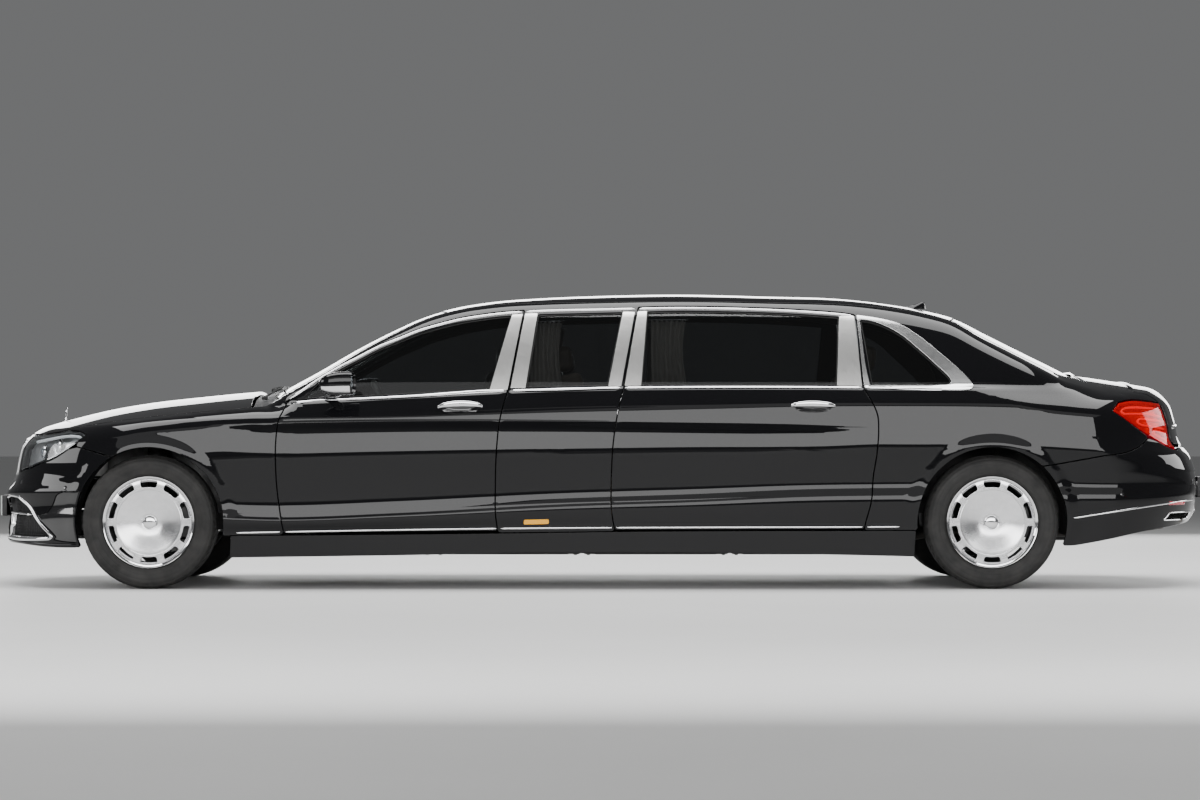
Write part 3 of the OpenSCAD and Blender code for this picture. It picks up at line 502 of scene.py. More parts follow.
def grown(l, d):
    """A closed line with d more all round, or less if d is negative."""
    return inset(l, -d if area(l) > 0 else d)


def inside(p, loops):
    hit = np.zeros(len(p), bool)
    for l in loops:
        q = np.roll(l, -1, 0)
        for k in range(0, len(l), 256):
            a, b = l[k:k + 256], q[k:k + 256]
            up = (a[None, :, 1] > p[:, None, 1]) != (b[None, :, 1] > p[:, None, 1])
            dy = np.where(np.abs(b[:, 1] - a[:, 1]) < 1e-12, 1e-12, b[:, 1] - a[:, 1])
            x = a[None, :, 0] + (p[:, None, 1] - a[None, :, 1]) * ((b[:, 0] - a[:, 0]) / dy)[None, :]
            hit ^= (up & (p[:, None, 0] < x)).sum(1) % 2 == 1
    return hit


def far_from(p, q, d):
    """Which points of p are further than d from every point of q."""
    ok = np.ones(len(p), bool)
    for k in range(0, len(q), 256):
        c = q[k:k + 256]
        ok &= ((p[:, None, :] - c[None]) ** 2).sum(2).min(1) > d * d
    return ok


def skin(dom, outer, holes=(), grid=None, t=16.0, edge=1.7, drop=1.1, sink=0.0, clear=4.5, ratio=0.45, cells=None):
    """A closed shell over a flat drawing: faces 0 outside and round the edge, 1 inside. Its edges are rolled."""
    loops = [outer if area(outer) > 0 else outer[::-1]] + [h[::-1] if area(h) > 0 else h for h in holes]
    rings = [inset(l, edge) for l in loops]
    ring = np.vstack(rings)
    if grid is not None and len(grid):
        g = grid[inside(grid, rings)]
        g = g[far_from(g, ring, clear)] if len(g) else g
    else:
        g = np.zeros((0, 2))
    pts = np.vstack([ring, g])
    edges, k = [], 0
    for r in rings:
        edges += [(k + i, k + (i + 1) % len(r)) for i in range(len(r))]
        k += len(r)
    cdt = delaunay_2d_cdt([Vector((float(a) * ratio, float(b))) for a, b in pts], edges, [], 0, 1e-4, True)
    flat = np.array([(v.x / ratio, v.y) for v in cdt[0]])
    where = {}
    for i, src in enumerate(cdt[3]):
        for s in src:
            where[s] = i
    tris = np.array([tuple(q) for q in cdt[2]])
    tris = [tuple(q) for q in tris[inside(flat[tris].mean(1), rings)]]
    P = dom.point(flat)
    N = dom.normal(P)
    sk = (sink(P) if callable(sink) else sink) * np.ones(len(P))
    P = P - N * sk[:, None]
    thick = (t(P) if callable(t) else t) * np.ones(len(P))
    Q = P - N * thick[:, None]
    n = len(P)
    verts, n_out, n_edge, n_in = [P, Q], [N, N], [N, N], [-N, -N]
    faces, kinds = [], []
    for q in tris:
        faces.append(q)
        kinds.append(0)
        faces.append(tuple(n + i for i in q[::-1]))
        kinds.append(2)
    base, k = 2 * n, 0
    for l, r in zip(loops, rings):
        m = len(l)
        A = dom.point(l)
        NA = dom.normal(A)
        ska = (sink(A) if callable(sink) else sink) * np.ones(m)
        A = A - NA * ska[:, None]
        ta = (t(A) if callable(t) else t) * np.ones(m)
        idx = np.array([where[k + i] for i in range(m)])
        out = A - P[idx]
        out = out - NA * (out * NA).sum(1)[:, None]
        out = out / np.maximum(np.linalg.norm(out, axis=1), 1e-9)[:, None]
        L0, L1 = A - NA * drop, A - NA * np.maximum(ta, drop + 0.3)[:, None]
        verts += [L0, L1]
        n_out += [out, out]
        n_edge += [out, out]
        n_in += [out, -NA]
        for i in range(m):
            j = (i + 1) % m
            a, b, c, d = idx[i], idx[j], base + j, base + i
            if a != b:
                faces.append((a, d, c, b))
                kinds.append(0)
            faces.append((base + i, base + m + i, base + m + j, base + j))
            kinds.append(1)
            if a != b:
                faces.append((n + a, n + b, base + m + j, base + m + i))
                kinds.append(2)
        base += 2 * m
        k += m
    V = np.vstack(verts)
    NN = [np.vstack(n_out), np.vstack(n_edge), np.vstack(n_in)]
    out_f, corner = [], []
    for q, kind in zip(faces, kinds):
        a, b, c = V[q[0]], V[q[1]], V[q[2]]
        g3 = np.cross(b - a, c - a)
        if len(q) == 4:
            g3 = g3 + np.cross(c - a, V[q[3]] - a)
        m3 = NN[kind][list(q)].sum(0)
        if g3 @ m3 < 0:
            q = q[::-1]
        out_f.append(q)
        corner.append(NN[kind][list(q)])
    return Shape(V, out_f, [0 if k < 2 else 1 for k in kinds], np.vstack(corner))


def surface_strip(dom, path, w, h, base=-1.5, taper=(1.0, 1.0), k=8, offset=0.0, closed=False, width=None):
    """A trim strip with a rounded face along a line of the drawing."""
    path = np.array(path, float)
    P = dom.point(path)
    N = dom.normal(P)
    T = np.gradient(P, axis=0) if not closed else np.roll(P, -1, 0) - np.roll(P, 1, 0)
    T = T / np.maximum(np.linalg.norm(T, axis=1), 1e-9)[:, None]
    B = np.cross(N, T)
    s = np.concatenate([[0], np.cumsum(np.linalg.norm(np.diff(P, axis=0), axis=1))])
    half = (np.array([width(u) for u in s / s[-1]]) if width else np.full(len(P), w)) / 2
    scale = np.ones(len(P))
    if not closed:
        for d, tp in ((s, taper[0]), (s[-1] - s, taper[1])):
            if tp:
                scale = np.minimum(scale, np.sqrt(np.clip(1 - (1 - np.clip(d / (tp * w), 0, 1)) ** 2, 0.0025, 1)))
    rows = []
    for j in range(k + 1):
        a = math.pi * j / k
        rows.append(P + B * (half * math.cos(a) * scale)[:, None] + N * (base + offset + (h - base) * math.sin(a) ** 0.7 * scale)[:, None])
    return loft(np.stack(rows, 1), closed_across=True, closed_along=closed)


def loft(rows, closed_across=False, closed_along=False, caps=True):
    """A skin over rows of points (n, m, 3)."""
    n, m = rows.shape[:2]
    f = []
    for i in range(n if closed_along else n - 1):
        for j in range(m if closed_across else m - 1):
            a, b = i * m + j, i * m + (j + 1) % m
            c, d = ((i + 1) % n) * m + (j + 1) % m, ((i + 1) % n) * m + j
            f.append((a, b, c, d))
    if caps and closed_across and not closed_along:
        f.append(tuple(range(m))[::-1])
        f.append(tuple((n - 1) * m + j for j in range(m)))
    s = Shape(rows.reshape(-1, 3), f)
    return outward(s)


def outward(s):
    """Turns a closed shape's faces to look outwards."""
    vol = 0.0
    for q in s.f:
        a = s.v[q[0]]
        for i in range(1, len(q) - 1):
            vol += a @ np.cross(s.v[q[i]], s.v[q[i + 1]])
    return s if vol > 0 else s.changed(lambda p: p, lambda q: q, True)


def tube(path, r, k=12, closed=False, squash=None):
    """A round bar along points; r may be one number for each point."""
    p = np.array(path, float)
    n = len(p)
    r = np.ones(n) * r
    T = np.gradient(p, axis=0) if not closed else np.roll(p, -1, 0) - np.roll(p, 1, 0)
    T = T / np.maximum(np.linalg.norm(T, axis=1), 1e-9)[:, None]
    u = np.array([0, 0, 1.0]) if abs(T[0][2]) < 0.9 else np.array([0, 1.0, 0])
    rows = []
    for i in range(n):
        u = u - T[i] * (u @ T[i])
        u = u / np.linalg.norm(u)
        w = np.cross(T[i], u)
        a = np.arange(k) * 2 * math.pi / k
        ring = p[i] + r[i] * (np.cos(a)[:, None] * u * (squash or 1) + np.sin(a)[:, None] * w)
        rows.append(ring)
    return loft(np.array(rows), True, closed)


def curve3(pts, n=24):
    """Points evenly along a smooth line through points in space."""
    p = np.array(pts, float)
    t = np.concatenate([[0], np.cumsum(np.linalg.norm(np.diff(p, axis=0), axis=1) ** 0.7)])
    c = [Curve(np.stack([t, p[:, k]], 1)) for k in range(3)]
    q = np.linspace(0, t[-1], n)
    return np.stack([k(q) for k in c], 1)


def lathe(profile, n=64, centre=(0, 0, 0), axis="-Y", close=True):
    """Turns a profile [radius, along] about an axis through centre."""
    pr = np.array(profile, float)
    rows = []
    for i in range(n):
        a = 2 * math.pi * i / n
        c, s = math.cos(a), math.sin(a)
        r, h = pr[:, 0], pr[:, 1]
        if axis == "-Y":
            q = np.stack([r * c, -h, r * s], 1)
        elif axis == "Y":
            q = np.stack([r * c, h, r * s], 1)
        elif axis == "X":
            q = np.stack([h, r * c, r * s], 1)
        elif axis == "-X":
            q = np.stack([-h, r * c, r * s], 1)
        else:
            q = np.stack([r * c, r * s, h], 1)
        rows.append(q)
    s = loft(np.array(rows), close, True, caps=False)
    return s.moved(*centre)


def weld(s, d=0.02):
    """Joins vertices that share a place, and drops faces that lose their area."""
    key, new, remap = {}, [], []
    for p in s.v:
        k = tuple(np.round(p / d).astype(int))
        if k not in key:
            key[k] = len(new)
            new.append(p)
        remap.append(key[k])
    f, m = [], []
    for q, mm in zip(s.f, s.m):
        w = [remap[i] for i in q]
        w = [a for a, b in zip(w, w[1:] + w[:1]) if a != b]
        if len(w) > 2:
            f.append(tuple(w))
            m.append(mm)
    return Shape(np.array(new), f, m)


def block(lo, hi, r=4, seg=2):
    """A box with rounded edges."""
    lo, hi = np.array(lo, float), np.array(hi, float)
    bm = bmesh.new()
    bmesh.ops.create_cube(bm, size=1)
    for v in bm.verts:
        v.co = Vector(((lo + hi) / 2 + np.array(v.co) * (hi - lo)).tolist())
    if r:
        bmesh.ops.bevel(bm, geom=list(bm.edges) + list(bm.verts), offset=min(r, 0.49 * float((hi - lo).min())),
                        segments=seg, profile=0.5, affect="EDGES", clamp_overlap=True)
    bm.verts.ensure_lookup_table()
    s = Shape([tuple(v.co) for v in bm.verts], [[v.index for v in f.verts] for f in bm.faces])
    bm.free()
    return s


def slab(pts, y0, y1, r=3, axis="y"):
    """A flat outline given depth, with rounded edges. axis y: points are [x, z]; x: [y, z]; z: [x, y]."""
    bm = bmesh.new()
    put = {"y": lambda a, b, c: (a, c, b), "x": lambda a, b, c: (c, a, b), "z": lambda a, b, c: (a, b, c)}[axis]
    lo = [bm.verts.new(put(float(a), float(b), y0)) for a, b in pts]
    hi = [bm.verts.new(put(float(a), float(b), y1)) for a, b in pts]
    bm.faces.new(lo[::-1])
    bm.faces.new(hi)
    n = len(pts)
    for i in range(n):
        bm.faces.new((lo[i], lo[(i + 1) % n], hi[(i + 1) % n], hi[i]))
    bmesh.ops.recalc_face_normals(bm, faces=bm.faces)
    if r:
        rim = [e for e in bm.edges if e.calc_face_angle(0) > 0.6]
        bmesh.ops.bevel(bm, geom=rim, offset=r, segments=2, profile=0.5, affect="EDGES", clamp_overlap=True)
    bm.verts.ensure_lookup_table()
    s = Shape([tuple(v.co) for v in bm.verts], [[v.index for v in f.verts] for f in bm.faces])
    bm.free()
    return outward(s)


# ---- materials ----
def nodes_of(name):
    m = bpy.data.materials.new(name)
    m.use_nodes = True
    nt = m.node_tree
    for n in list(nt.nodes):
        nt.nodes.remove(n)
    out = nt.nodes.new("ShaderNodeOutputMaterial")
    MATS[name] = m
    return m, nt, out


def place_of(nt, scale=(1, 1, 1)):
    """Object coordinates, stretched."""
    co = nt.nodes.new("ShaderNodeTexCoord")
    mp = nt.nodes.new("ShaderNodeMapping")
    mp.inputs["Scale"].default_value = scale
    nt.links.new(co.outputs["Object"], mp.inputs["Vector"])
    return mp.outputs["Vector"]


def noise(nt, scale, detail_=3.0, rough=0.55, stretch=(1, 1, 1)):
    t = nt.nodes.new("ShaderNodeTexNoise")
    t.inputs["Scale"].default_value = scale
    t.inputs["Detail"].default_value = detail_
    t.inputs["Roughness"].default_value = rough
    nt.links.new(place_of(nt, stretch), t.inputs["Vector"])
    return t.outputs["Fac"]


def cells(nt, scale, stretch=(1, 1, 1), feature="F1", out="Distance"):
    t = nt.nodes.new("ShaderNodeTexVoronoi")
    t.feature = feature
    t.inputs["Scale"].default_value = scale
    nt.links.new(place_of(nt, stretch), t.inputs["Vector"])
    return t.outputs[out]


def ranged(nt, fac, lo, hi, a=0.3, b=0.7):
    r = nt.nodes.new("ShaderNodeMapRange")
    r.inputs["From Min"].default_value, r.inputs["From Max"].default_value = a, b
    r.inputs["To Min"].default_value, r.inputs["To Max"].default_value = lo, hi
    nt.links.new(fac, r.inputs["Value"])
    return r.outputs["Result"]


def two_colours(nt, fac, a, b, lo=0.3, hi=0.7):
    r = nt.nodes.new("ShaderNodeValToRGB")
    r.color_ramp.elements[0].position, r.color_ramp.elements[1].position = lo, hi
    r.color_ramp.elements[0].color, r.color_ramp.elements[1].color = (*a, 1), (*b, 1)
    nt.links.new(fac, r.inputs["Fac"])
    return r.outputs["Color"]


def bumped(nt, heights):
    """A chain of bumps: (height output, strength, distance in metres)."""
    last = None
    for h, strength, distance in heights:
        b = nt.nodes.new("ShaderNodeBump")
        b.inputs["Strength"].default_value = strength
        b.inputs["Distance"].default_value = distance
        nt.links.new(h, b.inputs["Height"])
        if last is not None:
            nt.links.new(last, b.inputs["Normal"])
        last = b.outputs["Normal"]
    return last


def solid(name, a, b=None, rough=(0.3, 0.4), metal=0.0, scale=40.0, coat=0.0, coat_rough=0.03, bumps=(), spec=0.5,
          stretch=(1, 1, 1), sheen=0.0, rough_scale=None, aniso=0.0):
    """A surface whose colour and roughness drift a little. bumps: (kind, scale, strength, distance, stretch)."""
    m, nt, out = nodes_of(name)
    p = nt.nodes.new("ShaderNodeBsdfPrincipled")
    nt.links.new(p.outputs["BSDF"], out.inputs["Surface"])
    p.inputs["Metallic"].default_value = metal
    p.inputs["Specular IOR Level"].default_value = spec
    p.inputs["Coat Weight"].default_value = coat
    p.inputs["Coat Roughness"].default_value = coat_rough
    if sheen:
        p.inputs["Sheen Weight"].default_value = sheen
        p.inputs["Sheen Roughness"].default_value = 0.45
    if b is None:
        b = tuple(min(1, c * 1.12) for c in a)
    nt.links.new(two_colours(nt, noise(nt, scale, stretch=stretch), a, b), p.inputs["Base Color"])
    nt.links.new(ranged(nt, noise(nt, rough_scale or scale * 0.6, stretch=stretch), rough[0], rough[1]), p.inputs["Roughness"])
    chain = []
    for kind, sc, strength, dist, st in bumps:
        h = noise(nt, sc, 4, 0.6, st) if kind == "noise" else cells(nt, sc, st) if kind == "cells" else \
            cells(nt, sc, st, "DISTANCE_TO_EDGE") if kind == "edges" else wave(nt, sc, st)
        chain.append((h, strength, dist))
    if chain:
        nt.links.new(bumped(nt, chain), p.inputs["Normal"])
    return m


def wave(nt, scale, stretch=(1, 1, 1)):
    t = nt.nodes.new("ShaderNodeTexWave")
    t.inputs["Scale"].default_value = scale
    t.inputs["Distortion"].default_value = 0.0
    nt.links.new(place_of(nt, stretch), t.inputs["Vector"])
    return t.outputs["Fac"]


def pane(name, tint, ior=1.45, rough=0.0, film=None):
    """Clear or tinted glass: lets light through by its tint and mirrors by Fresnel. film is not used."""
    m, nt, out = nodes_of(name)
    clear = nt.nodes.new("ShaderNodeBsdfTransparent")
    clear.inputs["Color"].default_value = (*tint, 1)
    shine = nt.nodes.new("ShaderNodeBsdfGlossy")
    shine.inputs["Roughness"].default_value = rough
    shine.inputs["Color"].default_value = (1, 1, 1, 1)
    f0 = ((ior - 1) / (ior + 1)) ** 2
    facing_ = nt.nodes.new("ShaderNodeLayerWeight")
    facing_.inputs["Blend"].default_value = 0.5
    steep = nt.nodes.new("ShaderNodeMath")
    steep.operation = "POWER"
    steep.inputs[1].default_value = 5.0
    nt.links.new(facing_.outputs["Facing"], steep.inputs[0])
    gain = nt.nodes.new("ShaderNodeMath")
    gain.operation = "MULTIPLY_ADD"
    gain.inputs[1].default_value = 1 - f0
    gain.inputs[2].default_value = f0
    nt.links.new(steep.outputs[0], gain.inputs[0])
    mix = nt.nodes.new("ShaderNodeMixShader")
    nt.links.new(gain.outputs[0], mix.inputs["Fac"])
    nt.links.new(clear.outputs["BSDF"], mix.inputs[1])
    nt.links.new(shine.outputs["BSDF"], mix.inputs[2])
    nt.links.new(mix.outputs["Shader"], out.inputs["Surface"])
    return m


def paint(name, a, b):
    """Gloss black: deep base with a trace of fine flake, under a hard clear coat with a trace of orange peel."""
    m, nt, out = nodes_of(name)
    p = nt.nodes.new("ShaderNodeBsdfPrincipled")
    nt.links.new(p.outputs["BSDF"], out.inputs["Surface"])
    p.inputs["Roughness"].default_value = 0.4
    p.inputs["Specular IOR Level"].default_value = 0.0
    p.inputs["Coat Weight"].default_value = 1.0
    p.inputs["Coat Roughness"].default_value = 0.012
    p.inputs["Coat IOR"].default_value = 1.38
    nt.links.new(two_colours(nt, cells(nt, 2600.0), a, b, 0.0, 0.9), p.inputs["Base Color"])
    peel = bumped(nt, [(noise(nt, 260.0, 1.5, 0.4), 0.004, 0.0004)])
    nt.links.new(peel, p.inputs["Coat Normal"])
    return m


paint("paint", (0.0020, 0.0020, 0.0024), (0.0055, 0.0055, 0.0065))
solid("jamb", (0.012, 0.012, 0.013), (0.02, 0.02, 0.021), (0.3, 0.42), coat=0.3, coat_rough=0.15, scale=60,
      bumps=[("noise", 900, 0.06, 0.0005, (1, 1, 1))])
solid("chrome", (0.80, 0.80, 0.81), (0.86, 0.86, 0.87), (0.035, 0.09), 1.0, 25, bumps=[("noise", 140, 0.01, 0.0006, (1, 1, 1))])
solid("satin_chrome", (0.66, 0.66, 0.66), (0.72, 0.72, 0.72), (0.22, 0.27), 1.0, 60,
      bumps=[("noise", 420, 0.012, 0.0002, (1, 1, 0.06))])
solid("brushed", (0.70, 0.695, 0.68), (0.74, 0.735, 0.72), (0.30, 0.35), 1.0, 160, stretch=(1, 1, 0.05),
      bumps=[("noise", 1500, 0.03, 0.0001, (1, 1, 0.03))])
solid("polished_alloy", (0.72, 0.72, 0.735), (0.8, 0.8, 0.81), (0.19, 0.25), 1.0, 40, bumps=[("noise", 200, 0.015, 0.0005, (1, 1, 1))])
solid("cast_alloy", (0.30, 0.30, 0.31), (0.40, 0.40, 0.41), (0.35, 0.5), 1.0, 60, bumps=[("noise", 700, 0.15, 0.0006, (1, 1, 1))])
solid("brake_iron", (0.20, 0.19, 0.185), (0.32, 0.31, 0.30), (0.3, 0.45), 0.9, 30, bumps=[("noise", 900, 0.12, 0.0004, (1, 1, 1))])
solid("tyre", (0.012, 0.012, 0.012), (0.024, 0.023, 0.022), (0.55, 0.78), 0.0, 18, spec=0.35,
      bumps=[("noise", 1100, 0.2, 0.0005, (1, 1, 1)), ("noise", 60, 0.06, 0.001, (1, 1, 1))])
solid("rubber", (0.010, 0.010, 0.010), (0.018, 0.018, 0.018), (0.5, 0.65), 0.0, 40, spec=0.35,
      bumps=[("noise", 1400, 0.15, 0.0003, (1, 1, 1))])
solid("black_plastic", (0.014, 0.014, 0.015), (0.022, 0.022, 0.023), (0.42, 0.55), 0.0, 50,
      bumps=[("cells", 1500, 0.18, 0.0004, (1, 1, 1))])
solid("gloss_black", (0.004, 0.004, 0.0045), (0.008, 0.008, 0.009), (0.06, 0.1), 0.0, 60, coat=1.0, coat_rough=0.02,
      bumps=[("noise", 300, 0.01, 0.0004, (1, 1, 1))])
solid("underbody", (0.016, 0.016, 0.017), (0.034, 0.033, 0.032), (0.55, 0.75), 0.0, 14,
      bumps=[("noise", 500, 0.35, 0.0012, (1, 1, 1)), ("noise", 30, 0.1, 0.003, (1, 1, 1))])
solid("chassis", (0.022, 0.022, 0.023), (0.045, 0.044, 0.042), (0.42, 0.6), 0.2, 22, bumps=[("noise", 600, 0.22, 0.0008, (1, 1, 1))])
solid("steel", (0.24, 0.235, 0.23), (0.38, 0.37, 0.36), (0.35, 0.55), 0.9, 25, bumps=[("noise", 700, 0.2, 0.0005, (1, 1, 1))])
solid("exhaust_steel", (0.12, 0.112, 0.104), (0.20, 0.19, 0.18), (0.36, 0.55), 1.0, 12,
      bumps=[("noise", 800, 0.12, 0.0004, (0.1, 1, 1))])
solid("engine_block", (0.22, 0.22, 0.225), (0.34, 0.34, 0.34), (0.4, 0.6), 0.8, 20, bumps=[("noise", 500, 0.3, 0.001, (1, 1, 1))])
solid("plate", (0.62, 0.62, 0.60), (0.70, 0.70, 0.69), (0.3, 0.42), 0.0, 30, coat=0.3, bumps=[("noise", 900, 0.05, 0.0002, (1, 1, 1))])
solid("black_leather", (0.014, 0.012, 0.011), (0.027, 0.024, 0.022), (0.38, 0.52), 0.0, 26, sheen=0.05,
      bumps=[("edges", 420, 0.35, 0.0006, (1, 1, 1)), ("noise", 45, 0.08, 0.002, (1, 1, 1))])
solid("cabin_leather", (0.20, 0.165, 0.13), (0.27, 0.225, 0.18), (0.4, 0.54), 0.0, 24, sheen=0.08,
      bumps=[("edges", 420, 0.35, 0.0006, (1, 1, 1)), ("noise", 45, 0.08, 0.002, (1, 1, 1))])
solid("door_trim", (0.05, 0.042, 0.035), (0.075, 0.064, 0.054), (0.42, 0.56), 0.0, 24,
      bumps=[("edges", 420, 0.3, 0.0005, (1, 1, 1)), ("noise", 30, 0.06, 0.002, (1, 1, 1))])
solid("carpet", (0.012, 0.011, 0.010), (0.026, 0.024, 0.022), (0.85, 0.95), 0.0, 60, spec=0.15, sheen=0.3,
      bumps=[("noise", 1600, 0.9, 0.003, (1, 1, 1))])
solid("headliner", (0.26, 0.235, 0.20), (0.32, 0.29, 0.25), (0.85, 0.95), 0.0, 50, spec=0.15, sheen=0.2,
      bumps=[("noise", 2200, 0.4, 0.0008, (1, 1, 1))])
solid("curtain", (0.42, 0.39, 0.35), (0.52, 0.49, 0.45), (0.75, 0.9), 0.0, 70, spec=0.2, sheen=0.3,
      bumps=[("wave", 320, 0.25, 0.0004, (0, 0, 1)), ("noise", 1800, 0.3, 0.0004, (1, 1, 1))])
solid("walnut", (0.035, 0.014, 0.006), (0.10, 0.045, 0.018), (0.1, 0.18), 0.0, 26, coat=1.0, coat_rough=0.03, stretch=(0.25, 1, 1),
      bumps=[("noise", 120, 0.02, 0.0004, (0.2, 1, 1))])
solid("amber", (0.55, 0.20, 0.01), (0.62, 0.25, 0.015), (0.12, 0.2), 0.0, 60, coat=0.8, bumps=[("wave", 160, 0.3, 0.0008, (1, 0, 0))])
solid("yellow_marker", (0.92, 0.40, 0.004), (1.0, 0.47, 0.008), (0.15, 0.25), 0.0, 60, coat=0.6,
      bumps=[("wave", 140, 0.35, 0.0008, (1, 0, 0))])
solid("lamp_bowl", (0.66, 0.66, 0.67), (0.78, 0.78, 0.79), (0.28, 0.36), 1.0, 40, bumps=[("wave", 90, 0.25, 0.001, (0, 0.3, 1))])
solid("lamp_white", (0.70, 0.72, 0.74), (0.82, 0.84, 0.86), (0.12, 0.22), 0.0, 60, coat=0.8,
      bumps=[("wave", 200, 0.3, 0.0006, (0, 1, 0))])
solid("lamp_red", (0.42, 0.006, 0.020), (0.54, 0.010, 0.030), (0.12, 0.22), 0.0, 80, coat=1.0, coat_rough=0.05,
      bumps=[("cells", 260, 0.6, 0.0015, (1, 1, 1))])
solid("lamp_red_bright", (0.92, 0.20, 0.26), (0.96, 0.28, 0.34), (0.15, 0.25), 0.0, 80, coat=1.0, coat_rough=0.05,
      bumps=[("wave", 130, 0.4, 0.0012, (0, 0.3, 1))])
solid("mirror_glass", (0.70, 0.72, 0.74), (0.74, 0.76, 0.78), (0.02, 0.03), 1.0, 40, bumps=[("noise", 30, 0.004, 0.0005, (1, 1, 1))])
pane("side_glass", (0.44, 0.45, 0.455), 1.45)
pane("screen_glass", (0.74, 0.77, 0.76))
pane("lens_glass", (0.93, 0.94, 0.945), 1.4)
solid("lens_eye", (0.10, 0.11, 0.12), (0.16, 0.17, 0.19), (0.03, 0.06), 0.0, 60, coat=1.0, spec=1.0,
      bumps=[("wave", 300, 0.1, 0.0004, (0, 1, 0))])
pane("red_lens", (0.95, 0.16, 0.20), 1.35)

# the tail lamps' reds glow a little; lamp_red also covers the rear reflectors, where its glow is a painted glow
for name_, col_, str_ in (("lamp_red", (0.55, 0.01, 0.03, 1), 0.05), ("lamp_red_bright", (1.0, 0.25, 0.32, 1), 0.42)):
    for q_ in MATS[name_].node_tree.nodes:
        if q_.type == "BSDF_PRINCIPLED":
            q_.inputs["Emission Color"].default_value = col_
            q_.inputs["Emission Strength"].default_value = str_


# ---- grids of the drawing ----
SIDE = Side()
NOSE_END, TAIL_END = End(-1, -2350), End(1, 2300)
LAMP_END, REAR_LAMP_END = End(-1, -2450), End(1, 2400)
HOOD_TOP, ROOF_TOP, ALL_TOP = Top(1), Top(2), Top(0)
LID = Lid(2700.0, 800.0)


def side_grid(x0, x1, dx=34.0, upper=True):
    xs = np.arange(x0 + dx / 2, x1, dx)
    L = np.array(lines(xs))
    rows = [np.full_like(xs, 176), np.full_like(xs, 205), np.full_like(xs, 240), np.full_like(xs, 270)]
    rung = [0.92, 1.0, 1.12, 1.3, 1.5, 1.7, 1.85, 1.93, 1.98, 2.02, 2.06, 2.12, 2.18, 2.26, 2.36, 2.5, 2.6, 2.72, 2.86, 3.0, 3.14,
        3.28, 3.42, 3.56, 3.7, 3.82, 3.92, 4.0, 4.2, 4.4, 4.6, 4.78, 4.9, 4.97, 5.04, 5.12, 5.24, 5.4, 5.6, 5.8, 6.0]
    for r in rung:
        k = min(int(r), 5)
        lo = np.full_like(xs, 170) if k == 0 else L[k - 1]
        rows.append(lo + (L[k] - lo) * (r - k))
    A = LINE_A(xs)
    on = HOLLOW(xs) > 0.02
    for off in (-8, -3, -1, 1, 3, 8, 18, 30, 44, 54, 60, 66, 74, 90, 110, 135, 165):
        rows.append(np.where(on, A - off * np.where(off < 57, np.clip(HOLLOW(xs), 0.2, 1) if off > 0 else 1, 1), np.nan))
    Z = np.sort(np.array(rows), 0)
    pts = []
    for i, x in enumerate(xs):
        last = -1e9
        for z in Z[:, i]:
            if np.isnan(z):
                continue
            if z - last >= 2.0:
                pts.append((x, z))
                last = z
    pts = np.array(pts)
    flat = SIDE.side(pts)
    if upper:
        s0 = SIDE.side(np.stack([xs, L[5] + 8], 1))[:, 1]
        more = []
        for i, x in enumerate(xs):
            for s in np.arange(s0[i] + 6, 1680, 15.0):
                more.append((x, s))
        flat = np.vstack([flat, np.array(more)])
    ring = []
    for cx in (XF, XR):
        if not x0 - 500 < cx < x1 + 500:
            continue
        flat = flat[(np.hypot(flat[:, 0] - cx, flat[:, 1] - AXLE_Z) > 476)]
        for r in (397, 401, 406, 413, 422, 433, 445, 458, 470):
            a = np.radians(np.arange(-40, 220, 2.4))
            ring.append(np.stack([cx + r * np.cos(a), AXLE_Z + r * np.sin(a)], 1))
    if ring:
        flat = np.vstack([flat] + ring)
    return flat


def lattice(x0, x1, y0, y1, dx, dy):
    a, b = np.meshgrid(np.arange(x0, x1 + dx / 2, dx), np.arange(y0, y1 + dy / 2, dy), indexing="ij")
    return np.stack([a.ravel(), b.ravel()], 1)


def line(pts, step=22):
    return rounded(pts, closed=False, step=step)


def arch_line(cx, a0, a1, r=ARCH_R, n=60):
    a = np.radians(np.linspace(a0, a1, n))
    return np.stack([cx + r * np.cos(a), AXLE_Z + r * np.sin(a)], 1)


def on_arch(cx, x, z):
    return math.degrees(math.atan2(z - AXLE_Z, x - cx))


def loop(*parts, r=12, bend=26, step=12):
    return rounded(np.vstack(parts), r=r, bend=bend, step=step)


# ---- shared outlines ----
DOOR_F = rounded(FRONT_DOOR, r=16)
DOOR_R = rounded(REAR_DOOR, r=16)
fd_loop = SIDE.side(DOOR_F)
rd_loop = SIDE.side(DOOR_R)
win_f = SIDE.side(rounded(FRONT_WINDOW, r=14))
win_m = SIDE.side(rounded(MIDDLE_WINDOW, r=14))
win_r = SIDE.side(rounded(REAR_WINDOW, r=14))
win_q = SIDE.side(rounded(QUARTER_WINDOW, r=12))
BELT = Curve([[-1642, 970], [-1589, 980], [-1327, 996], [-1064, 1009], [-539, 1039], [-224, 1048], [-14, 1054], [510, 1059],
    [1035, 1059], [1560, 1054], [1770, 1048], [1830, 1050]])
ROCKER = Curve([[-1960, 293], [-1913, 294], [-1061, 310], [-224, 320], [509, 323], [1555, 326], [1700, 327]])
SILL_TOP = Curve([[-1960, 281], [-1061, 289], [-224, 299], [60, 303], [1346, 308], [1700, 309]])
SILL_LOW = Curve([[-1960, 164], [-1062, 177], [-224, 192], [509, 190], [1347, 177], [1700, 168]])

screen_rows = [(-1775 + i * 124, 722 - i * 17.4) for i in range(8)]
screen_edge = np.array([(a + 60, -(w + 4)) for a, w in screen_rows])

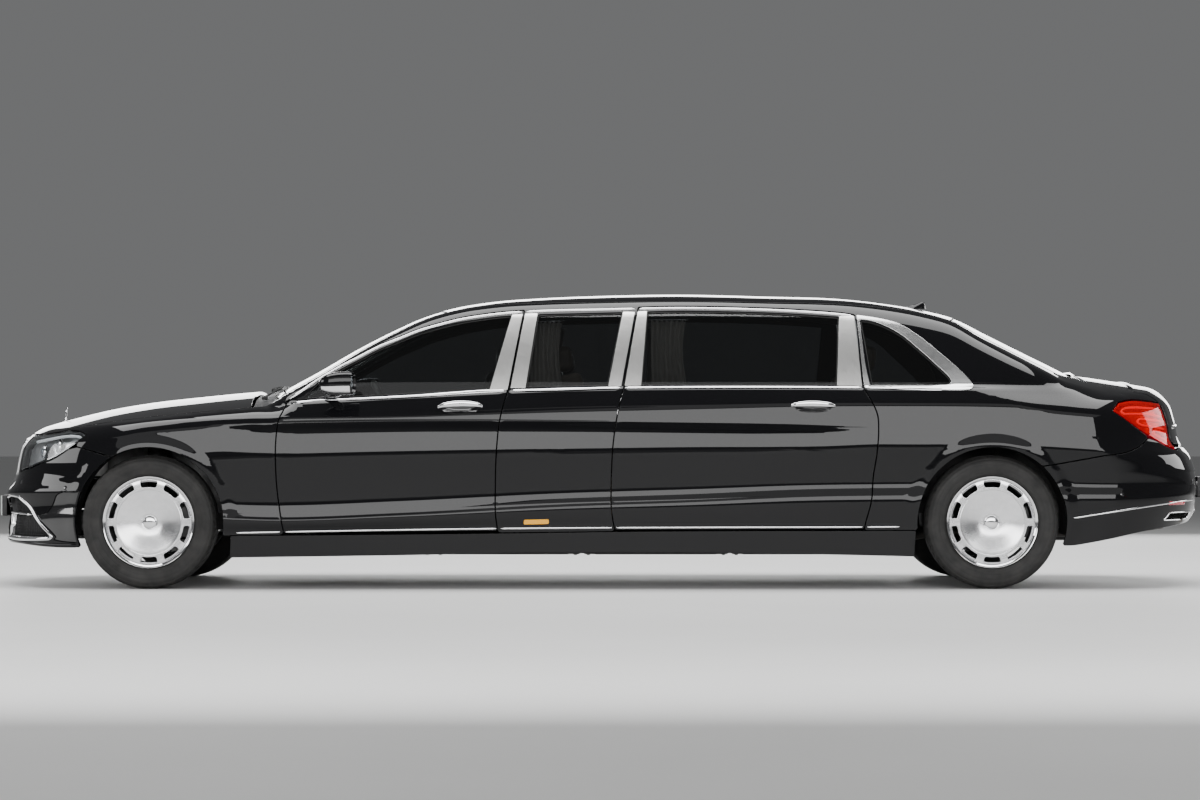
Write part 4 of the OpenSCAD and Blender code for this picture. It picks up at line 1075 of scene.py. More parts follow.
# front door edge from the foot to the windscreen pillar, shared by wing and door
door_front_edge = line(FRONT_DOOR[:7])
door_top_edge = line(FRONT_DOOR[6:19])          # pillar foot up to the back top corner
door_back_edge = line(FRONT_DOOR[18:])          # back top corner down to the back foot
rear_front_edge = line(REAR_DOOR[:8])           # foot up to the front top corner
rear_top_edge = line(REAR_DOOR[7:13])
rear_back_edge = line(REAR_DOOR[12:])

side_parts = [
    SIDE.plan(line([(-1722, -740)] + [tuple(p) for p in screen_edge[0:7]] + [(-872, -604), (-820, -600)])),
    SIDE.plan(line([(-780, -600), (0, -600), (900, -600), (1850, -600)], 40)),
    SIDE.plan(line([(1905, -590), (2200, -589), (2480, -589)], 40)),
    SIDE.plan(line([(2520, -589), (2700, -589), (2900, -589)], 40)),
    SIDE.side(line([(2958, 982), (2900, 990), (2790, 997), (2716, 983), (2674, 938), (2743, 891), (2821, 838), (2878, 797)])),
    SIDE.side(line([(2878, 794), (2840, 760), (2761, 723), (2604, 697), (2395, 660), (2304, 646)])),
    SIDE.side(arch_line(XR, on_arch(XR, 2301, 643), 360 + on_arch(XR, 1649, 313))),
    SIDE.side(line([(1640, 309), (1500, 309), (1392, 308)])),
    SIDE.side(rear_back_edge[::-1]), SIDE.side(rear_top_edge[::-1]), SIDE.side(rear_front_edge[::-1]),
    SIDE.side(line([(52, 303), (-250, 299), (-540, 296)])),
    SIDE.side(door_back_edge[::-1]), SIDE.side(door_top_edge[::-1]),
]
def tidy(parts, least=2.5):
    """Parts of one outline end to end, without doubled points."""
    out = []
    for p in parts:
        for q in p:
            if not out or np.hypot(*(q - out[-1])) > least:
                out.append(q)
    while np.hypot(*(out[0] - out[-1])) < least:
        out.pop()
    return np.array(out)


GRID = side_grid(-3010, 2975)


def part_grid(x0, x1):
    return GRID[(GRID[:, 0] > x0 - 1) & (GRID[:, 0] < x1 + 1)]


side_loop = rounded(tidy(side_parts), r=12, bend=30, step=13)
body_side = skin(SIDE, side_loop, [win_m, win_q], part_grid(-1760, 2975), t=20)
piece("body_side_left", body_side, ["paint", "jamb"], replaces="side_panels")
piece("body_side_right", body_side.mirrored(), ["paint", "jamb"], replaces="side_panels")

# sill, a little proud of the flank
sill_pts = [(x, float(SILL_LOW(x))) for x in np.linspace(-1956, 1634, 40)] + [(x, float(SILL_TOP(x)) - 2.5) for x in np.linspace(1640, -1950, 40)]
sill_loop = rounded(SIDE.side(sill_pts), r=10, bend=35, step=22)
sill = skin(SIDE, sill_loop, [], part_grid(-1960, 1645), t=34, sink=-5.0, edge=3.0, drop=2.6)
piece("sill_left", sill, ["paint", "underbody"], replaces="side_panels")
piece("sill_right", sill.mirrored(), ["paint", "underbody"], replaces="side_panels")

# front wings
hood_edge = np.array([(r[0] + r[2], -r[1] - 5) for r in HOOD[3:]])
wing_parts = [
    SIDE.side(door_front_edge),
    SIDE.plan(line([(-1700, -790), (-1728, -748)]), 0),
    SIDE.plan(line([(-1780, -778), (-1846, -803)]), 0),
    SIDE.plan(line([tuple(p) for p in hood_edge[::-1]] ), 1),
    SIDE.side(line([(-2852, 833), (-2832, 834), (-2753, 829), (-2711, 812), (-2753, 775), (-2768, 752)])),
    SIDE.side(line([(-2768, 748), (-2633, 713), (-2569, 694)])),
    SIDE.side(arch_line(XF, on_arch(XF, -2566, 691), on_arch(XF, -1991, 281))),
    SIDE.side(line([(-1984, 281), (-1800, 282), (-1690, 284)])),
]
wing_loop = rounded(tidy(wing_parts), r=10, bend=30, step=13)
wing = skin(SIDE, wing_loop, [], part_grid(-2875, -1655), t=16)
piece("front_wing_left", wing, ["paint", "jamb"], replaces="front_fenders")
piece("front_wing_right", wing.mirrored(), ["paint", "jamb"], replaces="front_fenders")

# hood
s = np.linspace(-1, 1, 25)
hood_parts = [
    np.stack([-3104 + 55 * s**2, 420 * s], 1),
    line([(r[0] + r[2], r[1]) for r in HOOD[1:]]),
    np.stack([-1872 + 20 * s**2, 799 * s], 1)[::-1],
    line([(r[0] + r[2], -r[1]) for r in HOOD[1:]])[::-1],
]
hood_loop = rounded(tidy(hood_parts, 4), r=14, bend=30, step=16)
hood_grid = np.vstack([lattice(-3060, -1880, -798, 798, 26, 22.17), lattice(-3102, -3066, -560, 560, 7, 14)])
hood = skin(HOOD_TOP, hood_loop, [], hood_grid, t=16, ratio=0.9)
piece("hood_skin", hood, ["paint", "underbody"], "hood", replaces="hood")

# roof, screens and cowls
roof_parts = [
    np.stack([-878 + 56 * s**2, 597 * s], 1),
    line([(-780, 597), (500, 597), (1700, 596), (1850, 588)], 60),
    np.stack([1908 - 60 * s**2, 585 * s], 1)[::-1],
    line([(-780, -597), (500, -597), (1700, -596), (1850, -588)], 60)[::-1],
]
roof_loop = rounded(tidy(roof_parts, 4), r=14, bend=30, step=22)
roof = skin(ROOF_TOP, roof_loop, [], lattice(-860, 1900, -590, 590, 44, 23.6), t=18, ratio=0.6)
piece("roof_skin", roof, ["paint", "headliner"], replaces="roof_panel")

screen_parts = [
    np.stack([-1772 + 60 * s**2, 719 * s], 1),
    np.array([(a + 60, w - 1) for a, w in screen_rows]),
    np.stack([-884 + 57 * s**2, 597 * s], 1)[::-1],
    np.array([(a + 60, -w + 1) for a, w in screen_rows])[::-1],
]
screen_loop = rounded(tidy(screen_parts, 4), r=18, bend=30, step=16)
screen = skin(ROOF_TOP, screen_loop, [], lattice(-1770, -830, -720, 720, 40, 36), t=5, sink=2.5, edge=1.2, drop=0.8, ratio=0.9)
piece("windscreen_glass", screen, ["screen_glass", "screen_glass"], replaces="windscreen")

back_parts = [
    np.stack([1914 - 60 * s**2, 584 * s], 1),
    line([(1920, 583), (2200, 583), (2480, 583)], 60),
    np.stack([2538 - 40 * s**2, 583 * s], 1)[::-1],
    line([(1920, -583), (2200, -583), (2480, -583)], 60)[::-1],
]
back_loop = rounded(tidy(back_parts, 4), r=22, bend=30, step=16)
back = skin(ROOF_TOP, back_loop, [], lattice(1860, 2536, -580, 580, 38, 34), t=5, sink=2.5, edge=1.2, drop=0.8, ratio=0.9)
piece("rear_window_glass", back, ["side_glass", "side_glass"], replaces="rear_window")


def band(outer, d):
    """The strip between an outline and the same outline d further in."""
    l = outer if area(outer) > 0 else outer[::-1]
    return l, inset(l, d)


for nm, lp, sizes in (("windscreen", screen_loop, 42), ("rear_window", back_loop, 34)):
    o, i = band(lp, sizes)
    i = rounded(i[::3], r=20, bend=40, step=16)
    frit = skin(ROOF_TOP, grown(o, -3), [i], np.zeros((0, 2)), t=0.8, sink=8.2, edge=0.5, drop=0.2, ratio=0.9)
    piece(nm + "_black_edge", frit, ["gloss_black", "rubber"])
    seal_line = rounded(grown(lp, 1.5), r=18, bend=40, step=18)
    piece(nm + "_seal", surface_strip(ROOF_TOP, seal_line, 7, 1.6, base=-4, closed=True, k=5), ["rubber"])

# rear cowl between glass and lid
rc = [np.stack([2541 - 40 * s**2, 584 * s], 1), np.stack([2557 + 0 * s, 584 * s], 1)[::-1]]
rc_loop = rounded(tidy(rc, 4), r=5, bend=40, step=16)
piece("rear_cowl", skin(ALL_TOP, rc_loop, [], lattice(2505, 2565, -580, 580, 9, 20), t=9, sink=lambda p: 3 + 9 * step((p[:, 0] - 2535) / 18)), ["gloss_black", "rubber"])

# cowl below the windscreen
cw = [np.stack([-1862 + 16 * s**2, 797 * s], 1), np.array([(-1800, 775), (-1722, 738)]),
      np.stack([-1779 + 60 * s**2, 724 * s], 1)[::-1], np.array([(-1722, -738), (-1800, -775)])]
cw_loop = rounded(tidy(cw, 4), r=8, bend=40, step=16)
cowl = skin(ALL_TOP, cw_loop, [], lattice(-1866, -1716, -795, 795, 10, 20), t=14,
            sink=lambda p: 5 + (17 - 8 * step((p[:, 0] + 1828 - 20 * (p[:, 1] / 797) ** 2) / 20)) * step((-1775 + 60 * (p[:, 1] / 724) ** 2 - p[:, 0]) / 40))
piece("windscreen_cowl", cowl, ["black_plastic", "black_plastic"], replaces="windscreen")

# trunk lid
k = LID.k
lid_outline = [(-581, -6.3 * k), (581, -6.3 * k), (581, 111.6 * k), (300, 111.9 * k), (0, 112 * k), (-300, 111.9 * k), (-581, 111.6 * k)]
lid_loop = rounded(lid_outline, r=26, bend=30, step=16)
lid = skin(LID, lid_loop, [], lattice(-575, 575, -5 * k, 111 * k, 27, 10.5), t=16, ratio=0.5)
piece("trunk_lid_skin", lid, ["paint", "jamb"], "trunk_lid", replaces="trunk_lid")


# ---- doors ----
def door_depth(p):
    return 27 + 35 * step((1004 - p[:, 2]) / 50)


def bowl_outline(cx, cz, a, b, n=40):
    t = np.linspace(0, 2 * math.pi, n, endpoint=False)
    c, s = np.cos(t), np.sin(t)
    return np.stack([cx + a * np.sign(c) * np.abs(c) ** 0.85, cz + b * np.sign(s) * np.abs(s) ** 0.9], 1)


def bowl(loop_uv, deep, rings_=7):
    """A dished recess behind a hole in a panel: a closed shell."""
    c = loop_uv.mean(0)
    rows = []
    for side_ in (0, 1):
        for j in range(rings_ + 1):
            u = j / rings_ if side_ == 0 else 1 - j / rings_
            f = max(1 - u, 0.03)
            d = deep * (1 - (1 - u) ** 2.2) + (3.2 if side_ == 0 else 6.0)
            q = c + (grown(loop_uv, 2.5) - c) * f
            P = SIDE.point(q)
            rows.append(P - SIDE.normal(P) * d)
    rows = np.array(rows)
    return loft(rows, closed_across=True, closed_along=True, caps=False)


def handle(x0, x1, z0, z1):
    """A pull handle: two feet and a bar bowed out over its recess."""
    xs = np.linspace(x0, x1, 29)
    u = (xs - x0) / (x1 - x0)
    zc = z0 + (z1 - z0) * u + 3 * np.sin(math.pi * u)
    P = SIDE.point(SIDE.side(np.stack([xs, zc], 1)))
    N = SIDE.normal(P)
    lift = -3 + 33 * np.clip(np.sin(math.pi * np.clip(u * 1.04 - 0.02, 0, 1)), 0, 1) ** 0.42
    half = 6 + 8.5 * np.sin(math.pi * np.clip(u, 0.02, 0.98)) ** 0.5
    rows = []
    for i in range(len(xs)):
        ring = []
        for j in range(18):
            a = 2 * math.pi * j / 18
            c, s_ = math.cos(a), math.sin(a)
            ring.append(P[i] + N[i] * (lift[i] + 6.5 * np.sign(s_) * abs(s_) ** 0.8) + np.array([0, 0, half[i] * np.sign(c) * abs(c) ** 0.8]))
        rows.append(ring)
    return loft(np.array(rows), True, False)


def pair(name, shape, mats, left, right, **kw):
    a = piece(name + "_left", shape, mats, left, **kw)
    kw2 = dict(kw)
    if "replaces" in kw2:
        kw2["replaces"] = kw2["replaces"].replace("left", "right")
    b = piece(name + "_right", shape.mirrored(), mats, right, **kw2)
    return a, b


def cut_strip(pts, x0, x1):
    """The part of a long line between two x places."""
    c = Curve(pts)
    n = max(3, int((x1 - x0) / 25))
    xs = np.linspace(x0, x1, n)
    return np.stack([xs, c(xs)], 1)


bowl_f = SIDE.side(bowl_outline(-747, 944, 93, 25))
bowl_r = SIDE.side(bowl_outline(1102, 951, 93, 25))
door_f = skin(SIDE, grown(fd_loop, -5), [win_f, bowl_f], part_grid(-1720, -400), t=door_depth)
pair("front_door_skin", door_f, ["paint", "door_trim"], "front_door_left", "front_door_right", replaces="front_door_left")
door_r = skin(SIDE, grown(rd_loop, -5), [win_r, bowl_r], part_grid(40, 1450), t=door_depth)
pair("rear_door_skin", door_r, ["paint", "door_trim"], "rear_door_left", "rear_door_right", replaces="rear_door_left")
for nm, lp, x0, x1, z0, z1 in (("front", bowl_f, -864, -630, 952, 957), ("rear", bowl_r, 986, 1218, 962, 960)):
    L, R = nm + "_door_left", nm + "_door_right"
    pair(nm + "_handle_bowl", bowl(lp, 24), ["gloss_black"], L, R)
    pair(nm + "_handle", handle(x0, x1, z0, z1), ["chrome"], L, R)
    cx = (x0 + x1) / 2
    lk = SIDE.point(SIDE.side([[cx + 78, (z0 + z1) / 2 - 27]]))[0]

# glass: thin panes in the panels' window holes
for nm, lp, body, rep in (("front_door_glass", win_f, "front_door_left", "front_door_glass_left"), ("rear_door_glass", win_r, "rear_door_left", "rear_door_glass_left")):
    g = skin(SIDE, grown(lp, 7), [], GRID[(GRID[:, 1] > 950)], t=4.4, sink=10, edge=1.0, drop=0.6)
    pair(nm + "_pane", g, ["side_glass", "side_glass"], body, body.replace("left", "right"), replaces=rep)
for nm, lp in (("middle_window_pane", win_m), ("quarter_window_pane", win_q)):
    g = skin(SIDE, grown(lp, 7), [], GRID[(GRID[:, 1] > 950)], t=4.4, sink=10, edge=1.0, drop=0.6)
    pair(nm, g, ["side_glass", "side_glass"], "body", "body", replaces="fixed_side_windows")
# rubber round each pane
for nm, lp, body in (("front_door_seal", win_f, "front_door_left"), ("rear_door_seal", win_r, "rear_door_left"), ("middle_window_seal", win_m, "body"),
                     ("quarter_window_seal", win_q, "body")):
    q = grown(lp, 1.0)
    o, i = grown(lp, 2.0), grown(lp, -5.5)
    r_ = skin(SIDE, o, [i], np.zeros((0, 2)), t=5.5, sink=5.0, edge=1.2, drop=1.0)
    pair(nm, r_, ["rubber", "rubber"], body, body.replace("left", "right"))

# bright strip under the windows, and the line over them
TOPLINE = Curve([[-1672, 984], [-1603, 1026], [-1497, 1100], [-1391, 1164], [-1285, 1219], [-1179, 1275], [-1074, 1317], [-968, 1360],
    [-862, 1391], [-756, 1418], [-650, 1436], [-544, 1450], [-332, 1464], [-14, 1472], [409, 1480], [833, 1472], [1045, 1462],
    [1256, 1446], [1362, 1433], [1468, 1414]])


def strips(name, curve, spans, w, h, **kw):
    for k_, (x0, x1, body) in enumerate(spans):
        xs = np.linspace(x0, x1, max(3, int((x1 - x0) / 22)))
        st = surface_strip(SIDE, SIDE.side(np.stack([xs, curve(xs)], 1)), w, h, **kw)
        pair("%s_%d" % (name, k_), st, ["chrome"], body, body.replace("left", "right"))


strips("belt_strip", BELT, [(-1626, -502, "front_door_left"), (-486, 97, "body"), (113, 1362, "rear_door_left"), (1377, 1800, "body")], 20, 5,
       taper=(0.5, 0.15), k=9)
strips("roof_strip", TOPLINE, [(-1655, -424, "front_door_left"), (-408, 174, "body"), (191, 1330, "rear_door_left")], 15, 5.5,
       taper=(0.15, 0.15), k=9)
strips("sill_strip", ROCKER, [(-1668, -552, "front_door_left"), (-540, 54, "body"), (66, 1366, "rear_door_left"), (1378, 1560, "body")], 11, 3.5,
       taper=(0.3, 0.3), k=8)
strips("wing_strip", ROCKER, [(-1925, -1682, "body")], 11, 3.5, taper=(0.6, 0.2), k=8)


# brushed covers of the pillars
def cover(name, quad, body, mat="brushed", r=5):
    lp = SIDE.side(rounded([quad[0], quad[1], quad[2], quad[3]], r=0.01, step=20))
    lp = rounded(lp[::1], r=r, bend=40, step=20)
    g = GRID[(GRID[:, 1] > 940)]
    sk = skin(SIDE, lp, [], g, t=5.5, sink=-3.2, edge=1.8, drop=1.6, clear=6)
    pair(name, sk, [mat, mat], body, body.replace("left", "right"))


cover("front_door_pillar", [(-594, 1044), (-499, 1044), (-424, 1448), (-480, 1444)], "front_door_left")
cover("middle_pillar_front", [(-485, 1052), (-405, 1054), (-345, 1452), (-411, 1450)], "body")
cover("middle_pillar_rear", [(28, 1062), (97, 1062), (171, 1459), (108, 1460)], "body")
cover("rear_door_pillar_front", [(114, 1064), (202, 1066), (235, 1464), (186, 1462)], "rear_door_left")
cover("rear_door_pillar_rear", [(1229, 1066), (1362, 1062), (1332, 1437), (1253, 1436)], "rear_door_left")

# broad bright frame of the last window
q_out = rounded([(1345, 1443), (1358, 1441), (1463, 1425), (1569, 1396), (1674, 1329), (1780, 1240), (1886, 1145), (1938, 1087), (1950, 1062),
    (1930, 1044), (1880, 1040), (1700, 1043), (1500, 1049), (1376, 1051), (1368, 1100), (1352, 1330)], r=8, bend=30, step=20)
q_in = rounded([(1361, 1418), (1400, 1415), (1463, 1397), (1569, 1342), (1674, 1252), (1754, 1178), (1822, 1110), (1832, 1087), (1812, 1068),
    (1404, 1068), (1383, 1180)], r=8, bend=30, step=18)
frame_q = skin(SIDE, SIDE.side(q_out), [SIDE.side(q_in)], GRID[(GRID[:, 1] > 940)], t=7.5, sink=-4.2, edge=2.6, drop=2.2, clear=6)
pair("quarter_window_frame", frame_q, ["satin_chrome", "rubber"], "body", "body")


# ---- side marker, plain ----
mk = SIDE.side(rounded([(-414, 338), (-282, 341), (-281, 367), (-413, 364)], r=8, bend=30, step=12))
pair("side_marker", skin(SIDE, mk, [], GRID, t=8, sink=-3.0, edge=2.5, drop=2.0), ["yellow_marker", "rubber"], "body", "body")

# ---- door mirrors ----
def oval(c, a, b, e=0.75, n=36, top=1.0):
    t = np.linspace(0, 2 * math.pi, n, endpoint=False)
    cs, sn = np.cos(t), np.sin(t)
    return c[0] + a * np.sign(cs) * np.abs(cs) ** e, c[1] + b * np.sign(sn) * np.abs(sn) ** e


def mirror_rows(stations, e=0.78, n=40):
    rows = []
    for x, yc, zc, a, b in stations:
        y, z = oval((yc, zc), a, b, e, n)
        # the top slopes down towards the door
        lean = 0.16 * (y - yc)
        rows.append(np.stack([np.full(n, float(x)) + 0.10 * (y - yc), y, z - lean * (z > zc)], 1))
    return np.array(rows)


M = [(-1474, -1008, 1066, 22, 10), (-1470, -1009, 1066, 42, 24), (-1456, -1010, 1067, 62, 38), (-1434, -1011, 1069, 75, 49), (-1404, -1012, 1071, 81, 56),
     (-1368, -1012, 1073, 83, 59.5), (-1330, -1012, 1074, 83, 60.5), (-1304, -1012, 1074, 81.5, 59.5), (-1297, -1012, 1074, 79.5, 57.5),
     (-1298, -1012, 1074, 75, 53), (-1304, -1012, 1074, 73, 51), (-1318, -1012, 1074, 70, 48)]
housing = loft(mirror_rows(M), True, False)
pair("mirror_housing", housing, ["paint"], "front_door_left", "front_door_right", replaces="door_mirror_left")
mg = mirror_rows([(-1307, -1012, 1074, 20, 12), (-1306.5, -1012, 1074, 45, 30), (-1307.5, -1012, 1074, 71.5, 49.5), (-1312, -1012, 1074, 71.5, 49.5)])
pair("mirror_glass", loft(mg, True, False), ["mirror_glass"], "front_door_left", "front_door_right")
bandrows = []
for x, yc, zc, a, b in M[2:8]:
    bandrows.append((x, yc, zc, a, b))
t_ = np.linspace(math.radians(196), math.radians(262), 13)


def mirror_band(a0, a1, lo, hi, grow, n=15):
    """A bright blade wrapped round the housing's outer lower half, following its skin."""
    path, rows = [], []
    sts = np.array(M[1:8], float)
    for side_ in (1, 0):
        seq = sts[::-1] if side_ else sts
        for x, yc, zc, a, b in seq:
            pass
    for x, yc, zc, a, b in sts[1:]:
        t = np.linspace(math.radians(a0), math.radians(a1), n)
        cs, sn = np.cos(t), np.sin(t)
        rows.append(np.stack([np.full(n, x) + 0.10 * (a * cs), yc + (a + grow) * np.sign(cs) * np.abs(cs) ** 0.78,
                              zc + (b + grow) * np.sign(sn) * np.abs(sn) ** 0.78], 1))
    rows = np.array(rows)
    inner = rows.copy()
    inner[:, :, 1] = -1012 + (inner[:, :, 1] + 1012) * 0.95
    inner[:, :, 2] = 1073 + (inner[:, :, 2] - 1073) * 0.95
    full = np.concatenate([rows, inner[:, ::-1]], 1)
    return loft(full, True, False)


pair("mirror_blade", mirror_band(188, 252, 0, 0, 1.4), ["chrome"], "front_door_left", "front_door_right")
foot_path = curve3([(-1455, -838, 1004), (-1420, -872, 1012), (-1392, -915, 1020), (-1378, -950, 1032)], 12)
rows = []
for i, p in enumerate(foot_path):
    f = i / 11
    a_, b_ = 34 - 8 * f, 10 + 2 * f
    t = np.linspace(0, 2 * math.pi, 24, endpoint=False)
    rows.append(np.stack([p[0] + a_ * np.cos(t), np.full(24, p[1]) + 0 * t, p[2] + b_ * np.sin(t)], 1))
pair("mirror_foot", loft(np.array(rows), True, False), ["gloss_black"], "front_door_left", "front_door_right")


# ---- nose ----
def mirrored_loop(half):
    """A closed drawing line from its left half, which starts and ends on the middle."""
    return np.vstack([half, (half * [-1, 1])[::-1][1:-1]])


def half_loop(parts, r=10, bend=30, step=14):
    p = tidy(parts)
    return rounded(mirrored_loop(p), r=r, bend=bend, step=step)


def flip(loop_uv):
    return (loop_uv * [-1, 1])[::-1]


hx = lambda y, d: -3104 - d + 55 * (np.asarray(y, float) / 420) ** 2
ys = np.linspace(-474, 0, 24)
nose_parts = [
    np.array([(0, 234.0)]),
    NOSE_END.side(line([(-3130, 226), (-2980, 218), (-2860, 215), (-2748, 215)])),
    NOSE_END.side(arch_line(XF, 360 + on_arch(XF, -2747, 217) if on_arch(XF, -2747, 217) < 0 else on_arch(XF, -2747, 217), on_arch(XF, -2571, 688))),
    NOSE_END.side(line([(-2574, 689), (-2634, 707), (-2762, 742), (-2806, 732), (-2858, 701), (-2911, 674), (-3004, 644), (-3048, 627)])),
    NOSE_END.front(line([(-560, 622), (-474, 607), (-472, 700), (-472, 792)])),
    NOSE_END.plan(np.stack([hx(ys, 6), ys], 1)),
]
nose_loop = half_loop(nose_parts)
grille_hole = NOSE_END.front(rounded(GRILLE_F, r=16, step=18))
intake_hole = NOSE_END.front(rounded(INTAKE_F, r=14, step=18))
side_hole = NOSE_END.front(rounded(SIDE_INTAKE_F, r=14, step=16))
zone = rounded(tidy([
    NOSE_END.front(line([(-782, 268), (-758, 312), (-700, 384)])),
    NOSE_END.side(line([(-2939, 393), (-2902, 440), (-2881, 488), (-2850, 505), (-2787, 512), (-2744, 514)])),
    NOSE_END.side(arch_line(XF, 155.6, 196.6, ARCH_R + 8)),
    NOSE_END.side(line([(-2765, 238), (-2850, 244), (-2900, 254)]))]), r=8, bend=30, step=14)
u_side = float(np.abs(nose_loop[:, 0]).max())
g = lattice(-u_side, u_side, 226, 830, 22, 13)
rows_ = [lattice(-u_side, u_side, z, z, 22, 1) for z in (241, 296, 384, 483, 489, 494, 499, 505, 511, 549, 587)]
nose_grid = np.vstack([g] + rows_)
nose_grid = np.array(sorted({(round(a, 1), round(b, 1)) for a, b in nose_grid}))
keep = [0]
for i in range(1, len(nose_grid)):
    if nose_grid[i, 0] != nose_grid[keep[-1], 0] or nose_grid[i, 1] - nose_grid[keep[-1], 1] > 3.5:
        keep.append(i)
nose_grid = nose_grid[keep]
nose = skin(NOSE_END, nose_loop, [grille_hole, intake_hole, side_hole, flip(side_hole), zone, flip(zone)], nose_grid, t=14, ratio=0.8)
piece("front_bumper_skin", nose, ["paint", "black_plastic"], replaces="front_bumper")
low = skin(NOSE_END, grown(zone, -2.0), [], nose_grid, t=10, sink=5, ratio=0.8)
pair("front_bumper_side", low, ["gloss_black", "black_plastic"], "body", "body", replaces="front_bumper")
# lower lip
lip_path = NOSE_END.side(line([(-2752, 226), (-2860, 224), (-2980, 228), (-3100, 238)]))
lip_half = tidy([lip_path, np.array([(0.0, 246.0)])])
lip_line = np.vstack([lip_half, (lip_half * [-1, 1])[::-1][1:]])
lip_line = rounded(lip_line, closed=False, bend=60, step=24)
piece("front_lip", surface_strip(NOSE_END, lip_line, 24, 9, taper=(0.6, 0.6), k=8), ["paint"])


def end_depth(dom, uv, d):
    P = dom.point(np.array(uv, float))
    return P - dom.normal(P) * d


def backing(dom, loop_uv, sink_, t=4, more=8):
    return skin(dom, grown(loop_uv, more), [], None, t=t, sink=sink_, ratio=0.8)


def mesh_bars(dom, loop_uv, us, vs, r, d, pts=8):
    """Crossing bars of a net behind an opening, cut to its outline."""
    out = []
    lo, hi = loop_uv.min(0), loop_uv.max(0)
    for fixed, values in ((0, us), (1, vs)):
        for q in values:
            n = 90
            line_ = np.zeros((n, 2))
            line_[:, fixed] = q
            line_[:, 1 - fixed] = np.linspace(lo[1 - fixed] - 2, hi[1 - fixed] + 2, n)
            ok = inside(line_, [grown(loop_uv, 6)])
            run = []
            for i in range(n):
                if ok[i]:
                    run.append(line_[i])
                if (not ok[i] or i == n - 1) and len(run) > 3:
                    seg = np.array(run)[::5] if len(run) > 10 else np.array(run)
                    seg = np.vstack([seg, run[-1]])
                    out.append(tube(end_depth(dom, seg, d + (0.8 * r if fixed else 0)), r, 6))
                if not ok[i]:
                    run = []
    return join(*out)


def span(l, step_, k):
    lo, hi = l[:, k].min(), l[:, k].max()
    n = max(2, int((hi - lo) / step_))
    return np.linspace(lo, hi, n + 1)[1:-1]


# air intakes
for nm, lp in (("lower_intake", intake_hole), ("side_intake_left", side_hole), ("side_intake_right", flip(side_hole))):
    piece(nm + "_back", backing(NOSE_END, lp, 58), ["black_plastic", "black_plastic"])
    piece(nm + "_net", mesh_bars(NOSE_END, lp, span(lp, 17, 0), span(lp, 17, 1), 2.2, 34), ["black_plastic"])
    o, i_ = grown(lp, 3), grown(lp, -7)
    piece(nm + "_collar", skin(NOSE_END, o, [i_], None, t=40, sink=12, ratio=0.8), ["black_plastic", "black_plastic"])
for s_, nm in ((1, "left"), (-1, "right")):
    m_ = lambda uv: np.array(uv) * [s_, 1]
    blade = NOSE_END.front(line([(-415, 470), (-500, 485), (-585, 480), (-655, 430), (-712, 360), (-752, 300), (-772, 262)], 16))
    piece("intake_blade_outer_" + nm, surface_strip(NOSE_END, m_(blade), 17, 8, base=-6, taper=(1.2, 0.5), k=9), ["chrome"])
    low_ = NOSE_END.front(line([(-768, 262), (-700, 256), (-560, 254), (-410, 262)], 16))
    piece("intake_blade_lower_" + nm, surface_strip(NOSE_END, m_(low_), 24, 9, base=-6, taper=(0.4, 1.0), k=9), ["chrome"])
    mid = NOSE_END.front(line([(-418, 392), (-560, 390), (-660, 384)], 16))
    piece("intake_blade_inner_" + nm, surface_strip(NOSE_END, m_(mid), 15, 10, base=-18, offset=-8, taper=(0.8, 0.8), k=9), ["chrome"])
    up = NOSE_END.front(line([(-430, 262), (-445, 330), (-430, 392)], 12))
    piece("intake_post_" + nm, surface_strip(NOSE_END, m_(up), 13, 5, base=-18, offset=-8, taper=(0.6, 0.6), k=9), ["chrome"])
cl = NOSE_END.front(line([(-322, 258), (0, 254), (322, 258)], 30))
piece("lower_intake_blade", surface_strip(NOSE_END, cl, 12, 6, base=-5, taper=(1, 1), k=8), ["chrome"])

# radiator grille
g_in = NOSE_END.front(rounded(np.array(GRILLE_F) * [0.915, 1.0] + [0, 0], r=14, step=18))
gf = np.array(GRILLE_F, float)
gc = np.array([0, 689.0])
g_out = NOSE_END.front(rounded(gc + (gf - gc) * [0.99, 0.98], r=16, step=16))
g_inn = NOSE_END.front(rounded(gc + (gf - gc) * [0.925, 0.82], r=12, step=16))
piece("grille_frame", skin(NOSE_END, g_out, [g_inn], None, t=26, sink=-7, edge=5, drop=4.5, ratio=0.9), ["chrome", "black_plastic"], replaces="radiator_grille")
piece("grille_back", backing(NOSE_END, g_inn, 62), ["black_plastic", "black_plastic"])
piece("grille_net", mesh_bars(NOSE_END, g_inn, span(g_inn, 20, 0), span(g_inn, 14, 1), 1.8, 46), ["black_plastic"])
for k_, zz in enumerate((636, 668, 700, 732)):
    half = 352 + (zz - 600) * 0.08
    ln = NOSE_END.front(line([(-half, zz), (0, zz), (half, zz)], 30))
    piece("grille_bar_%d" % k_, surface_strip(NOSE_END, ln, 15, 6, base=-20, offset=-14, taper=(0.2, 0.2), k=9), ["chrome"])
pm = NOSE_END.front([(0, 612), (0, 650), (0, 700), (0, 740), (0, 766)])
piece("grille_post", surface_strip(NOSE_END, pm, 13, 3, base=-22, offset=-8, taper=(0.3, 0.3), k=9), ["chrome"])

